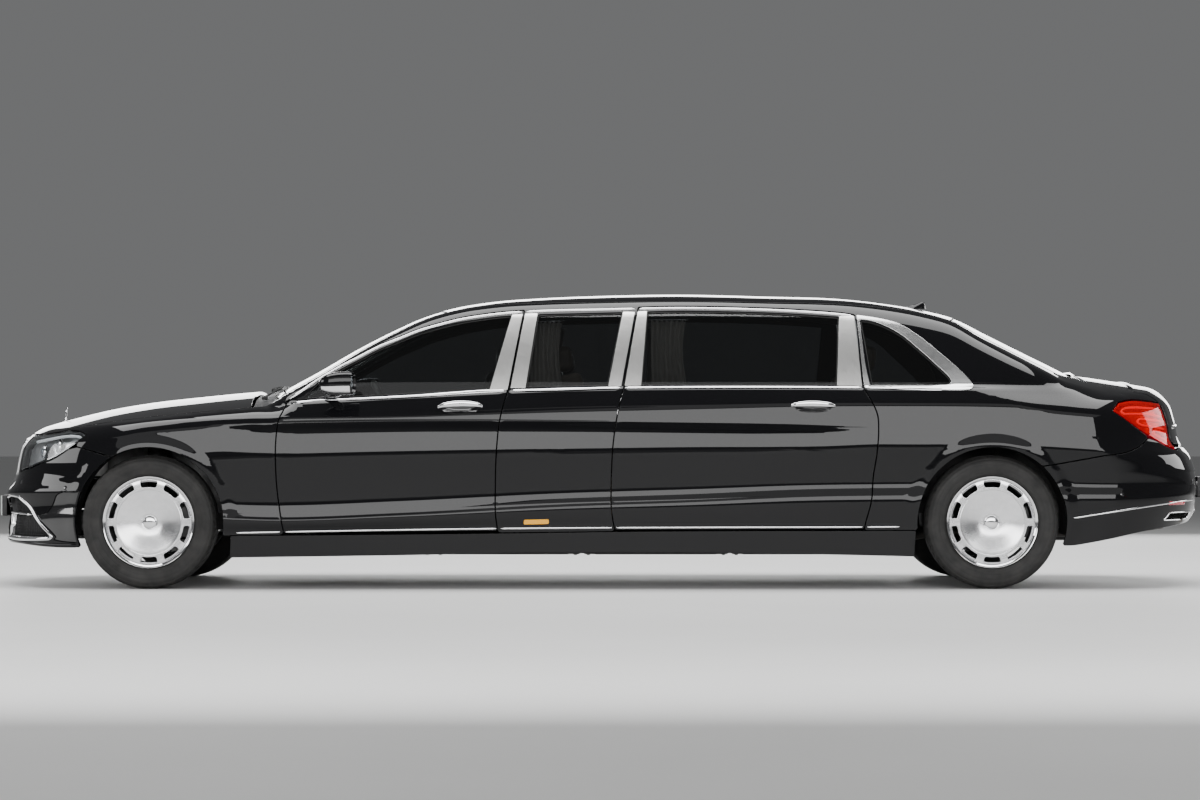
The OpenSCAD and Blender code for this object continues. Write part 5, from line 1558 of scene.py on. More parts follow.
# ornament on the hood, plain
oz = float(HOOD_TOP.point(np.array([[-2951.0, 0.0]]))[0][2])
fo = lathe([(0, -3), (17, -3), (17, 1), (13, 4), (6, 6), (4, 14), (3.4, 30), (0, 30)], 32, (-2951, 0, oz), "Z")
st = []
for i in range(25):
    f = i / 24
    h = 26 + 58 * f
    w = 2.5 + 9 * math.sin(math.pi * min(1, f * 1.02)) ** 0.8
    t = np.linspace(0, 2 * math.pi, 20, endpoint=False)
    st.append(np.stack([-2951 + 7 * f + (2 + 3.0 * math.sin(math.pi * f)) * np.cos(t), w * np.sin(t), np.full(20, oz + h)], 1))
piece("hood_ornament", join(fo, loft(np.array(st), True)), ["chrome"], "hood")
# points along the hood's middle, which nothing uses
hm = np.array([(x, 0.0) for x in np.linspace(-3070, -2990, 6)])

# ---- headlamps ----
lamp_parts = [
    LAMP_END.side(line([(-2716, 808), (-2753, 779), (-2806, 742), (-2858, 711), (-2911, 684), (-3004, 654), (-3046, 637)])),
    LAMP_END.front(line([(-560, 631), (-482, 616), (-480, 700), (-480, 790)])),
    LAMP_END.plan(line([(-3042, -482), (-3018, -522), (-2966, -607), (-2878, -688), (-2822, -716)])),
    LAMP_END.side(line([(-2790, 826), (-2753, 825), (-2724, 815)])),
]
lamp_loop = rounded(tidy(lamp_parts), r=9, bend=30, step=12)
lu0, lu1, lv0, lv1 = lamp_loop[:, 0].min(), lamp_loop[:, 0].max(), lamp_loop[:, 1].min(), lamp_loop[:, 1].max()
lamp_grid = lattice(lu0, lu1, lv0, lv1, 16, 13)
pair("headlamp_lens", skin(LAMP_END, lamp_loop, [], lamp_grid, t=2.6, edge=1.2, drop=0.8, sink=1.0), ["lens_glass", "lens_glass"], "body", "body",
     replaces="headlamps")
pair("headlamp_rim", skin(LAMP_END, grown(lamp_loop, -1.0), [grown(lamp_loop, -8)], None, t=40, sink=4.2, edge=0.8, drop=0.6),
     ["gloss_black", "gloss_black"], "body", "body")
pair("headlamp_floor", skin(LAMP_END, grown(lamp_loop, -3), [], lamp_grid, t=3,
                            sink=lambda p: 40 + 5 * np.sin(p[:, 2] / 7.0) * 0.25), ["lamp_bowl", "black_plastic"], "body", "body")


def lamp_at(dom, x, z, d):
    """Point at side view place [x, z], d inside the surface, and the way out."""
    uv = dom.side([[x, z]])
    P = dom.point(uv)
    N = dom.normal(P)
    return (P - N * d)[0], N[0]


def facing(s, to, at):
    """Puts a shape made about +Z at a place, looking along a direction."""
    q = Vector([float(v) for v in to]).to_track_quat("Z", "Y").to_matrix()
    return s.turned(np.array(q)).moved(*at)


def lens_unit(r):
    ring = lathe([(r + 1.5, -14), (r + 8, -12), (r + 9, 0), (r + 6, 5), (r + 1.5, 3)], 40, axis="Z")
    eye = lathe([(0, -10), (r, -10), (r + 0.6, -2)] + [(r * math.cos(a), 0.55 * r * math.sin(a)) for a in np.linspace(0.05, math.pi / 2, 9)], 40,
                axis="Z")
    cup = lathe([(r + 2, -16), (r + 22, -6), (r + 24, -4), (r + 23, -9), (r + 6, -22), (r + 2, -22)], 40, axis="Z")
    return ring, eye, cup


for nm, x, z, r in (("main", -2890, 748, 23), ("beam", -2985, 720, 25)):
    at, to = lamp_at(LAMP_END, x, z, 22)
    to = to * 0.6 + np.array([-0.7, 0, 0])
    to = to / np.linalg.norm(to)
    ring, eye, cup = lens_unit(r)
    pair("headlamp_ring_" + nm, facing(ring, to, at), ["chrome"], "body", "body")
    pair("headlamp_eye_" + nm, facing(eye, to, at), ["lens_eye"], "body", "body")
    pair("headlamp_cup_" + nm, facing(cup, to, at), ["gloss_black"], "body", "body")
drl = LAMP_END.side(line([(-3040, 778), (-2960, 792), (-2880, 806), (-2800, 812), (-2745, 804)], 14))
pair("headlamp_light_bar", surface_strip(LAMP_END, drl, 13, 4, base=-10, offset=-12, taper=(0.8, 1.5), k=8), ["lamp_white"], "body", "body")
drl2 = LAMP_END.side(line([(-3030, 655), (-2985, 668), (-2920, 694), (-2860, 724), (-2805, 758)], 14))
pair("headlamp_light_bar_low", surface_strip(LAMP_END, drl2, 8, 3, base=-10, offset=-14, taper=(0.8, 1.5), k=8), ["lamp_white"], "body", "body")
wedge = rounded(LAMP_END.side([(-2868, 742), (-2800, 790), (-2765, 796), (-2800, 757), (-2850, 728)]), r=5, bend=40, step=12)
pair("headlamp_reflector", skin(LAMP_END, wedge, [], None, t=6, sink=20), ["lamp_bowl", "black_plastic"], "body", "body")
# parking sensors
def disc_on(dom, uv, r, h=1.2):
    P = dom.point(np.array([uv], float))
    N = dom.normal(P)[0]
    return facing(lathe([(0, -4), (r, -4), (r, h * 0.5), (r - 1, h), (0, h)], 28, axis="Z"), N, P[0])


sens = [NOSE_END.side([(-2826, 529)])[0], NOSE_END.front([(-560, 556)])[0], NOSE_END.front([(-250, 556)])[0]]
for i, q in enumerate(sens):
    a = disc_on(NOSE_END, q, 11)
    pair("front_sensor_%d" % i, a, ["gloss_black"], "body", "body")


# ---- tail ----
tail_parts = [
    np.array([(0, 347.0)]),
    TAIL_END.side(line([(3190, 345), (3040, 325), (2874, 303), (2640, 256), (2470, 227), (2415, 226)])),
    TAIL_END.side(arch_line(XR, on_arch(XR, 2413, 228), on_arch(XR, 2306, 640))),
    TAIL_END.side(line([(2309, 641), (2395, 654), (2604, 691), (2763, 717), (2842, 754), (2880, 789), (2926, 775), (3021, 733), (3056, 729)])),
    TAIL_END.front(line([(-575, 730), (-560, 741), (-300, 741), (0, 741)])),
]
tail_loop = half_loop(tail_parts)
u_side = float(np.abs(tail_loop[:, 0]).max())


def tail_crease(p):
    zc = 534 + 0.1264 * (np.minimum(p[:, 0], 3084) - 2459)
    t = zc - p[:, 2]
    return 6.5 * step(t / 5) * (1 - step((t - 8) / 130))


tg = [lattice(-u_side, u_side, 236, 790, 27, 18)]
for u in np.arange(-u_side, u_side, 27.0):
    P = TAIL_END.point(np.array([[u, 600.0]]))[0]
    zc = 534 + 0.1264 * (min(P[0], 3084) - 2459)
    tg.append(np.array([(u, zc + q) for q in (-9, -5.5, -2.5, 0.5, 4)]))
tg = np.vstack(tg)
tg = np.array(sorted({(round(a, 1), round(b, 1)) for a, b in tg}))
keep = [0]
for i in range(1, len(tg)):
    if tg[i, 0] != tg[keep[-1], 0] or tg[i, 1] - tg[keep[-1], 1] > 2.4:
        keep.append(i)
tail_grid = tg[keep]
ex_l = rounded(TAIL_END.front(line([(-716, 356), (-712, 396), (-505, 399), (-500, 359), (-716, 356)], 12)[:-1]), r=9, bend=40, step=10)
ex_l = ex_l if area(ex_l) > 0 else ex_l[::-1]
ex_r = (ex_l * [-1, 1])[::-1]
tail = skin(TAIL_END, tail_loop, [ex_l, ex_r], tail_grid, t=14, ratio=0.8, sink=tail_crease)
for k_, lp in enumerate((ex_l, ex_r)):
    piece("exhaust_trim_%d" % k_, surface_strip(TAIL_END, lp, 8, 5, base=-4, taper=(0, 0), closed=True, k=8), ["chrome"])
    piece("exhaust_recess_%d" % k_, join(skin(TAIL_END, grown(lp, 5), [lp], None, t=40, sink=12, ratio=0.8), skin(TAIL_END, grown(lp, 6), [], None, t=4, sink=50, ratio=0.8)),
          ["black_plastic", "black_plastic"])
piece("rear_bumper_skin", tail, ["paint", "black_plastic"], replaces="rear_bumper")
for s_, nm in ((1, "left"), (-1, "right")):
    ln = TAIL_END.side(line([(2462, 372), (2500, 376), (2543, 383), (2700, 407), (2860, 430), (3021, 450)], 20))
    ln = np.vstack([ln, TAIL_END.front([(-600, 459), (-500, 461), (-440, 462)])]) * [s_, 1]
    piece("rear_strip_" + nm, surface_strip(TAIL_END, ln, 11, 5, base=-3, taper=(1.5, 0.5), k=8), ["chrome"])
ln = TAIL_END.front([(-330, 400), (0, 400), (330, 400)])
piece("rear_lower_blade", surface_strip(TAIL_END, rounded(ln, closed=False, step=30), 10, 5, base=-3, taper=(1, 1), k=8), ["chrome"])
rs = [TAIL_END.side([(2725, 497)])[0], TAIL_END.front([(-520, 560)])[0], TAIL_END.front([(-300, 545)])[0]]
for i, q in enumerate(rs):
    pair("rear_sensor_%d" % i, disc_on(TAIL_END, q, 11), ["gloss_black"], "body", "body")
# rear reflectors, in lamp_red, so they carry its faint glow: a painted glow, as a reflector is no lamp
rr = TAIL_END.front(line([(-740, 446), (-610, 446)], 12))
pair("rear_reflector", surface_strip(TAIL_END, rr, 20, 4, base=-3, taper=(0.4, 0.4), k=8), ["lamp_red"], "body", "body")


def ring_box(x0, x1, yc, zc, w, h, wall, r=16, n=8):
    """A tube of rounded rectangular section along x, open at its back, with a rolled mouth."""
    def rect(w_, h_, r_):
        out = []
        for cx, cz, a0 in ((w_ / 2 - r_, h_ / 2 - r_, 0), (-w_ / 2 + r_, h_ / 2 - r_, 90), (-w_ / 2 + r_, -h_ / 2 + r_, 180), (w_ / 2 - r_, -h_ / 2 + r_, 270)):
            for i in range(n + 1):
                a = math.radians(a0 + 90 * i / n)
                out.append((yc + cx + r_ * math.cos(a), zc + cz + r_ * math.sin(a)))
        return np.array(out)
    st = [(x0, 0), (x1 - 4, 0), (x1, 2.5), (x1 + 0.5, 5), (x1 - 2, wall + 1), (x1 - 14, wall + 2), (x0 + 4, wall + 4), (x0, wall)]
    rows = []
    for x, d in st:
        q = rect(w - 2 * d, h - 2 * d, max(r - d, 3))
        rows.append(np.stack([np.full(len(q), x), q[:, 0], q[:, 1]], 1))
    return outward(loft(np.array(rows), True, True))


# ---- tail lamps ----
tl_parts = [
    REAR_LAMP_END.side(line([(2680, 937), (2720, 978), (2790, 991), (2900, 985), (2990, 973)])),
    REAR_LAMP_END.front(line([(-596, 962), (-592, 900), (-592, 800), (-592, 748)])),
    REAR_LAMP_END.side(line([(3056, 741), (3022, 745), (2928, 786), (2823, 843), (2745, 896)])),
]
tl_loop = rounded(tidy(tl_parts), r=10, bend=30, step=12)
tl_grid = lattice(tl_loop[:, 0].min(), tl_loop[:, 0].max(), tl_loop[:, 1].min(), tl_loop[:, 1].max(), 16, 13)
pair("tail_lamp_lens", skin(REAR_LAMP_END, tl_loop, [], tl_grid, t=2.6, edge=1.2, drop=0.8, sink=1.0), ["red_lens", "red_lens"], "body", "body",
     replaces="tail_lamps")
pair("tail_lamp_rim", skin(REAR_LAMP_END, grown(tl_loop, -1.0), [grown(tl_loop, -9)], None, t=30, sink=4.2, edge=0.8, drop=0.6),
     ["lamp_red", "black_plastic"], "body", "body")
pair("tail_lamp_floor", skin(REAR_LAMP_END, grown(tl_loop, -3), [], tl_grid, t=3, sink=27), ["lamp_red", "black_plastic"], "body", "body")
for k_, (pts_, w_) in enumerate((
        ([(2990, 948), (2900, 958), (2800, 962), (2752, 955), (2735, 938), (2752, 925), (2800, 924), (2900, 920), (3000, 905)], 10),
        ([(3010, 880), (2950, 886), (2880, 893), (2838, 892), (2832, 876), (2860, 862), (2950, 850), (3030, 835)], 11),
        ([(3040, 812), (2990, 822), (2935, 832), (2928, 818), (2960, 800), (3040, 775)], 11))):
    ln = REAR_LAMP_END.side(rounded(pts_, closed=False, bend=200, step=12))
    edge_u = REAR_LAMP_END.front(np.stack([np.full(len(ln), -592.0), REAR_LAMP_END.point(ln)[:, 2]], 1))[:, 0]
    ln[:, 0] = np.where(np.abs(ln[:, 0]) < np.abs(edge_u) + 17, np.sign(edge_u) * (np.abs(edge_u) + 17), ln[:, 0])
    ln = ln[np.r_[True, np.linalg.norm(np.diff(ln, axis=0), axis=1) > 2.0]]
    pair("tail_lamp_band_%d" % k_, surface_strip(REAR_LAMP_END, ln, w_, 5, base=-8, offset=-12, taper=(1, 1), k=7), ["lamp_red_bright"], "body", "body")

# lid trim and plates; the lock block hl is not made into a piece
lz = np.array([(y, (864 - 800) / 465 * 57.3 * LID.k) for y in np.linspace(-520, 520, 40)])
piece("lid_strip", surface_strip(LID, lz, 18, 6, base=-3, taper=(1.5, 1.5), k=9), ["chrome"], "trunk_lid")
piece("lid_lip", surface_strip(LID, np.array([(y, 66 * LID.k - 10 * (y / 560) ** 2) for y in np.linspace(-560, 560, 50)]), 34, 7, base=-3, taper=(1.5, 1.5), k=9),
      ["paint"], "trunk_lid")
hl = block((3140, -70, 838), (3166, 70, 850), 3)
for nm, x0, x1, z0, z1, s_ in (("front_plate", -3262.5, -3256, 372, 478, -1), ("rear_plate", 3250, 3256.5, 472, 578, 1)):
    plate_ = slab(rounded([(-258, z0), (258, z0), (258, z1), (-258, z1)], r=8, step=60), x0, x1, 1.2, "x")
    rim = []
    q = rounded([(-254, z0 + 4), (254, z0 + 4), (254, z1 - 4), (-254, z1 - 4)], r=6, step=60)
    xx = x0 if s_ < 0 else x1
    rim = tube(np.stack([np.full(len(q), xx + s_ * 0.2), q[:, 0], q[:, 1]], 1), 1.1, 6, closed=True)
    piece(nm, join(plate_, rim), ["plate"], replaces="licence_plates")
    back__ = slab(rounded([(-262, z0 - 3), (262, z0 - 3), (262, z1 + 3), (-262, z1 + 3)], r=9, step=60), x0 + (6 if s_ < 0 else -26), x1 + (26 if s_ < 0 else -6),
                  2.0, "x")
    piece(nm + "_holder", back__, ["black_plastic"])
    bolts = join(*[facing(lathe([(0, -2), (7, -2), (7, 0.5), (6, 1.6), (0, 2)], 6, axis="Z"), (s_, 0, 0), (xx, y, (z0 + z1) / 2)) for y in (-200, 200)])
    piece(nm + "_screws", bolts, ["steel"])


# ---- wheels: made about the middle of the left wheel, outside towards -Y, then set in place ----
FACE = Curve([[0, 66], [150, 95], [158, 97.2], [168, 98.6], [190, 99.4], [212, 99], [222, 97.5], [230, 97]])


class Disc:
    """The wheel's outer face: u to the tail, v up, the surface bowed like the face of the rim."""

    def point(self, uv):
        r = np.hypot(uv[:, 0], uv[:, 1])
        return np.stack([uv[:, 0], -FACE(r), uv[:, 1]], 1)

    def normal(self, p):
        r = np.hypot(p[:, 0], p[:, 2])
        d = (FACE(r + 0.5) - FACE(r - 0.5))
        n = np.stack([-d * p[:, 0] / np.maximum(r, 1e-6), -np.ones(len(p)), -d * p[:, 2] / np.maximum(r, 1e-6)], 1)
        return n / np.linalg.norm(n, axis=1)[:, None]


def circle(r, n):
    a = np.arange(n) * 2 * math.pi / n
    return np.stack([r * np.cos(a), r * np.sin(a)], 1)


def slot_line(k, r0=184, r1=220, half=0.0, n=9):
    """One rounded opening between two spokes, slightly barrel shaped."""
    mid = math.radians(36 * k + 18)
    out = []
    w0, w1 = 39.0, 47.0
    for r, w, way in ((r0, w0, 1), (r1, w1, -1)):
        for q in np.linspace(-1, 1, n):
            a = mid + way * q * w / r
            out.append((r * math.cos(a), r * math.sin(a)))
    return rounded(out, r=13, bend=40, step=6)


disc = Disc()
dgrid = []
for r in np.arange(171, 225, 4.0):
    n = int(2 * math.pi * r / 6)
    dgrid.append(circle(r, n))
dgrid = np.vstack(dgrid)
slots = [slot_line(k) for k in range(10)]
ring_face = skin(disc, circle(224, 150), [circle(169, 120)] + slots, dgrid, t=11, edge=2.6, drop=1.9, clear=3.2, ratio=1.0)
bowl_ = lathe([(41, 64.5), (52, 65.5), (62, 66.5), (80, 71), (100, 77.5), (120, 84.2), (140, 90.4), (152, 94), (160, 96.2), (166, 98.2),
    (169, 99.2), (170.5, 98.6), (171, 96.5), (171, 86), (160, 84), (140, 78), (110, 68), (80, 58), (60, 54), (41, 53)], 116)
cap = lathe([(0, 74), (8, 73.8), (16, 73), (24, 71.4), (30, 69.2), (33, 66.8), (34.5, 64.5), (36, 64.0), (37.5, 64.8), (39.5, 66.0), (41.5, 66.2), (43, 65.0), (43, 50), (0, 50)], 64)
lip = lathe([(223.5, 94), (224.5, 97), (227, 99.5), (230, 102), (233, 105), (236.5, 107.4), (239, 108), (240, 106.5), (240, 99), (238.5, 95), (236, 93), (230, 90),
    (223.5, 88)], 116)
barrel = lathe([(240, 98), (240, 92), (226, 84), (221, 70), (219, 40), (217, -20), (219, -70), (226, -82), (236, -92), (240, -96), (240, -104), (236, -107), (231, -104), (221, -90),
    (214, -76), (211, -20), (211, 40), (211, 78), (214, 86), (223, 90), (230, 92)], 64)
groove = lathe([(221, 92), (224, 90), (224, 84), (212, 82), (212, 90)], 80)
# spokes behind the face, down to the hub
spokes = []
for k in range(10):
    a = math.radians(36 * k)
    rows = []
    for r, half, top, deep in ((60, 17, 52, 20), (110, 15, 66, 24), (150, 15, 80, 26), (180, 17, 88, 22), (212, 22, 88, 20)):
        prof = [(-half, top - deep), (-half * 0.8, top - 3), (-half * 0.5, top), (half * 0.5, top), (half * 0.8, top - 3), (half, top - deep)]
        rows.append([(r, -h, w) for w, h in prof])
    s_ = loft(np.array(rows, float), True, False)
    spokes.append(s_.turned(turn("Y", -36 * k)))
hub_back = lathe([(0, 52), (62, 52), (64, 48), (64, 28), (58, 25), (0, 25)], 64)
nuts = []
for k in range(5):
    a = math.radians(72 * k + 18)
    nuts.append(lathe([(0, 40), (10, 40), (10, 58), (8, 60), (0, 60)], 6, (52 * math.cos(a), 0, 52 * math.sin(a))))


# tyre: profile [radius, along], 0 along = middle of the tread
half_w = 120.0


def side_wall(sgn):
    pts = [(240.5, 97), (243, 103), (248, 108.5), (254, 112.5), (257, 114.6), (259, 114.2), (262, 115.0), (272, 117.8), (276, 117.4), (278, 118.4), (290, 119.7), (300, 119.8),
           (303, 119.0), (305, 119.7), (315, 118.6), (322, 116.6), (327, 114.6), (329.5, 112.4), (332, 112.6), (338, 108.5), (343, 102.5), (346.3, 96)]
    return [(r, sgn * h) for r, h in pts]


crown = []
for h, r in ((91, 347.6), (80, 348.9), (76, 349.1), (75, 341.5), (65, 341.5), (64, 349.5), (50, 349.8), (34, 349.9), (33, 341.5), (23, 341.5), (22, 350), (8, 350), (0, 350)):
    crown.append((r, h))
profile = side_wall(1) + crown + [(r, -h) for r, h in crown[-2::-1]] + [(r, h) for r, h in side_wall(-1)[::-1]]
inner = [(236, -98), (236, -60), (236, 0), (236, 60), (236, 98)]
profile = np.array(profile + inner, float)


def tyre():
    per, blocks = 3, 50
    n = per * blocks
    rows = []
    for i in range(n):
        a = 2 * math.pi * i / n
        ph, pr = i % per, profile.copy()
        h = np.abs(pr[:, 1])
        tread = pr[:, 0] > 344.5
        # sipes across the ribs, staggered from rib to rib, and notches in the shoulders
        rib1 = tread & (h < 21)
        rib2 = tread & (h > 35) & (h < 63)
        rib3 = (pr[:, 0] > 341.8) & (h > 77)
        if ph == 0:
            pr[rib3, 0] -= 6.0
            pr[rib1, 0] -= 1.2
        if ph == 1:
            pr[rib2, 0] -= 5.5
        sh = (pr[:, 0] > 326) & (pr[:, 0] < 344) & (h > 100)
        if ph == 0:
            pr[sh, 1] -= np.sign(pr[sh, 1]) * 3.2
            pr[sh, 0] -= 1.0
        rows.append(np.stack([pr[:, 0] * math.cos(a), -pr[:, 1], pr[:, 0] * math.sin(a)], 1))
    return loft(np.array(rows), True, True, caps=False)


TYRE = tyre()



def wheel_parts(front):
    parts = {
        "face": (ring_face, ["polished_alloy", "cast_alloy"]),
        "dish": (bowl_, ["polished_alloy"]),
        "cap": (cap, ["chrome"]),
        "lip": (lip, ["chrome"]),
        "rim": (join(barrel, groove), ["cast_alloy"]),
        "spokes": (join(*spokes, hub_back, *nuts), ["cast_alloy"]),
    }
    return parts


def set_wheel(shape, x, s_, steer=0):
    q = shape if s_ < 0 else shape.mirrored()
    return q.moved(x, s_ * 800, AXLE_Z)


for x, end in ((XF, "front"), (XR, "rear")):
    for s_, side_ in ((-1, "left"), (1, "right")):
        body = "wheel_%s_%s" % (end, side_)
        for nm, (shape, mats) in wheel_parts(end == "front").items():
            rep = body if nm == "face" else ()
            piece("%s_%s" % (body, nm), set_wheel(shape, x, s_), mats, body, replaces=rep)
        piece("tyre_tread_%s_%s" % (end, side_), set_wheel(TYRE, x, s_), ["tyre"], body, replaces="tyre_%s_%s" % (end, side_), sharp=30)


# ---- soft pads: rounded boxes on an even net, crowned, with channels and seams pressed in ----
def box_net(a, b, c, r, cell):
    """Even net of points over a box of half sizes a, b, c whose edges are rounded by r, and the way out at each."""
    cell = cell * 1.28
    v, f = [], []
    half = (a, b, c)
    for k in range(3):
        i, j = (k + 1) % 3, (k + 2) % 3
        ni, nj = max(6, int(2 * half[i] / cell)), max(6, int(2 * half[j] / cell))
        for s_ in (-1, 1):
            base = len(v)
            # points crowd towards the edges so the roll is even
            gi = np.sin(np.linspace(-1, 1, ni + 1) * math.pi / 2 * 0.62) / math.sin(math.pi / 2 * 0.62)
            gj = np.sin(np.linspace(-1, 1, nj + 1) * math.pi / 2 * 0.62) / math.sin(math.pi / 2 * 0.62)
            for p in gi:
                for q in gj:
                    w = [0, 0, 0]
                    w[k], w[i], w[j] = s_ * half[k], p * half[i], q * half[j]
                    v.append(w)
            for p in range(ni):
                for q in range(nj):
                    n0 = base + p * (nj + 1) + q
                    quad = (n0, n0 + nj + 1, n0 + nj + 2, n0 + 1)
                    f.append(quad if s_ > 0 else quad[::-1])
    v = np.array(v, float)
    core = np.clip(v, [-(a - r), -(b - r), -(c - r)], [a - r, b - r, c - r])
    out = v - core
    n = out / np.maximum(np.linalg.norm(out, axis=1), 1e-9)[:, None]
    return core + n * r, n, f


def pad(a, b, c, r=30, cell=13, press=None, crown=(0, 0, 0)):
    P, N, f = box_net(a, b, c, r, cell)
    h = np.zeros(len(P))
    for k in range(3):
        i, j = (k + 1) % 3, (k + 2) % 3
        s_ = np.array([a, b, c])
        h += crown[k] * np.abs(N[:, k]) * (1 - (P[:, i] / s_[i]) ** 2) * (1 - (P[:, j] / s_[j]) ** 2)
    if press is not None:
        h -= press(P, N)
    # slight unevenness of a filled cover
    h += 0.7 * np.sin(P[:, 0] / 31 + P[:, 1] / 47) * np.sin(P[:, 1] / 29 - P[:, 2] / 41 + 1.3)
    return outward(weld(Shape(P + N * h[:, None], f), 0.05))


def groove(t, w):
    return np.exp(-(t / w) ** 2)


def flutes(P, N, axis_out, at, along=None, w=5.0, depth=6.0):
    """Channels pressed into the face that looks along axis_out."""
    face = np.clip(N[:, axis_out], 0, 1) ** 2
    h = np.zeros(len(P))
    for y in at:
        h += groove(P[:, 1] - y, w)
    if along is not None:
        h *= 1 / (1 + np.exp(-(along[1] - P[:, along[0]]) / 6)) * 1 / (1 + np.exp(-(P[:, along[0]] - along[2]) / 6))
    return depth * face * h


CH = (-137, -91.5, -45.7, 0, 45.7, 91.5, 137)


def press_base(P, N):
    h = flutes(P, N, 2, CH, (0, 205, -190), depth=6)
    h += 9 * np.clip(N[:, 2], 0, 1) ** 2 * (groove(np.abs(P[:, 1]) - 183, 6)) * (P[:, 0] > -215)
    h += 7 * np.clip(N[:, 2], 0, 1) ** 2 * groove(P[:, 0] + 200, 6) * (np.abs(P[:, 1]) < 186)
    h += 4 * (1 - np.abs(N[:, 2])) * groove(P[:, 2] - 22, 4)
    h -= 17 * np.clip(N[:, 2], 0, 1) * step((np.abs(P[:, 1]) - 186) / 40) * (1 - step((np.abs(P[:, 1]) - 240) / 60))
    return h


def press_back(P, N):
    f_ = np.clip(-N[:, 0], 0, 1)
    face = f_ ** 2
    h = np.zeros(len(P))
    for y in CH:
        h += groove(P[:, 1] - y, 5)
    h *= (1 / (1 + np.exp((P[:, 2] - 205) / 6))) * (1 / (1 + np.exp(-(P[:, 2] + 285) / 6)))
    h = 6 * face * h
    h += 9 * face * groove(np.abs(P[:, 1]) - 183, 6) * (P[:, 2] < 225)
    h += 7 * face * groove(P[:, 2] - 216, 6) * (np.abs(P[:, 1]) < 188)
    h += 4 * (1 - np.abs(N[:, 0])) * groove(P[:, 0] - 18, 4)
    h -= 20 * f_ * step((np.abs(P[:, 1]) - 186) / 40) * (1 - step((np.abs(P[:, 1]) - 244) / 50))
    return h


def press_head(P, N):
    return 3.5 * groove(P[:, 0] - 12, 3.5) * (1 - np.abs(N[:, 0])) + 3 * np.clip(-N[:, 0], 0, 1) * groove(np.abs(P[:, 1]) - 70, 4)


LEAN = turn("Y", 9.5)
seat_base = pad(252, 272, 66, 34, 13, press_base, (0, 0, 12)).turned(turn("Y", -4.2)).moved(-268, 0, 484)
seat_back = pad(56, 268, 345, 36, 13, press_back, (14, 0, 0)).turned(LEAN).moved(92, 0, 788)
head_pad = pad(50, 132, 66, 34, 11, press_head, (9, 0, 4)).turned(turn("Y", 7)).moved(176, 0, 1214)
posts = join(*[tube([(176, y, 1090), (178, y, 1130), (180, y, 1170)], 6, 12) for y in (-48, 48)],
             *[lathe([(0, 0), (13, 0), (13, 8), (9, 11), (0, 11)], 20, axis="Z").moved(176, y, 1128) for y in (-48, 48)])
shell_back = pad(22, 258, 325, 20, 26).turned(LEAN).moved(166, 0, 778)
shell_base = pad(238, 262, 34, 22, 26).moved(-262, 0, 412)
pocket = pad(6, 200, 120, 5, 20).turned(LEAN).moved(186, 0, 640)
rails_ = join(*[block((-470, y - 22, 213), (20, y + 22, 243), 4) for y in (-190, 190)], *[block((x - 30, y - 16, 236), (x + 30, y + 16, 392), 6)
              for y in (-190, 190) for x in (-420, -40)], block((-440, -206, 300), (-20, 206, 318), 4))
switch = join(pad(44, 5, 10, 4, 10).moved(-300, -272, 425), pad(26, 5, 8, 4, 10).moved(-210, -272, 430))
seam_line = rounded([(-506, -256), (-506, 256), (-40, 262), (-40, -262)], r=46, bend=40, step=16)


def cord_seam(loop2, z, r=3.0):
    return tube(np.stack([loop2[:, 0], loop2[:, 1], z + 0 * loop2[:, 0]], 1), r, 6, closed=True)


def backwards(s):
    return s.changed(lambda p: p * [-1, 1, 1], lambda q: q * [-1, 1, 1], True)


def set_seat(name, x, y, leather, reverse=False, rep=()):
    place = lambda s: (backwards(s) if reverse else s).moved(x, y, 0)
    kw = {"replaces": rep} if rep else {}
    a = piece(name + "_base", place(seat_base), [leather], **kw)
    b = piece(name + "_back", place(seat_back), [leather], **kw)
    c = piece(name + "_headrest", place(head_pad), [leather], **kw)
    piece(name + "_posts", place(posts), ["chrome"])
    piece(name + "_shell", place(join(shell_back, shell_base, pocket)), [leather])
    piece(name + "_frame", place(join(rails_, switch)), ["black_plastic"])


for s_, sd in ((-1, "left"), (1, "right")):
    set_seat("front_seat_" + sd, -690, s_ * 440, "black_leather", rep="front_seats")
    set_seat("rearward_seat_" + sd, -40, s_ * 430, "cabin_leather", True, rep="lounge_seats")
    set_seat("lounge_seat_" + sd, 1230, s_ * 430, "cabin_leather", rep="lounge_seats")


# armrest consoles between the seats
def console(name, x0, x1, ztop, reverse=False):
    w = 122
    piece(name + "_body", slab(rounded([(x0, 340), (x0 + 10, ztop - 34), (x0 + 60, ztop - 8), (x1, ztop), (x1, 340)], r=16, step=40), -w, w, 8), ["door_trim"])
    piece(name + "_lid", pad((x1 - x0) / 2 - 130, w - 6, 20, 16, 18, lambda P, N: 3 * groove(P[:, 1], 4) * np.clip(N[:, 2], 0, 1)).moved((x0 + x1) / 2 + 100, 0, ztop + 14),
          ["cabin_leather"])
    piece(name + "_veneer", slab(rounded([(x0 + 20, -w + 12), (x0 + 205, -w + 12), (x0 + 205, w - 12), (x0 + 20, w - 12)], r=14, step=40), ztop - 4, ztop + 3, 1.2, "z")
          .turned(turn("Y", 0)), ["walnut"])
    cups = [join(lathe([(34, 0), (38, 0), (39.5, 2), (38, 4), (35, 4), (34, 2)], 40, (x0 + 112, y, ztop + 2), "Z")) for y in (-48, 48)]
    piece(name + "_cups", join(*cups), ["chrome"])
    wells = [lathe([(0, -2.2), (33.6, -2.2), (33.8, 3.4), (34.4, 3.4), (34.4, -3), (0, -3)], 36, (x0 + 112, y, ztop + 3.4), "Z") for y in (-48, 48)]
    piece(name + "_cup_mats", join(*wells), ["rubber"])


console("lounge_console", 760, 1380, 560)
console("rearward_console", -290, 330, 560)

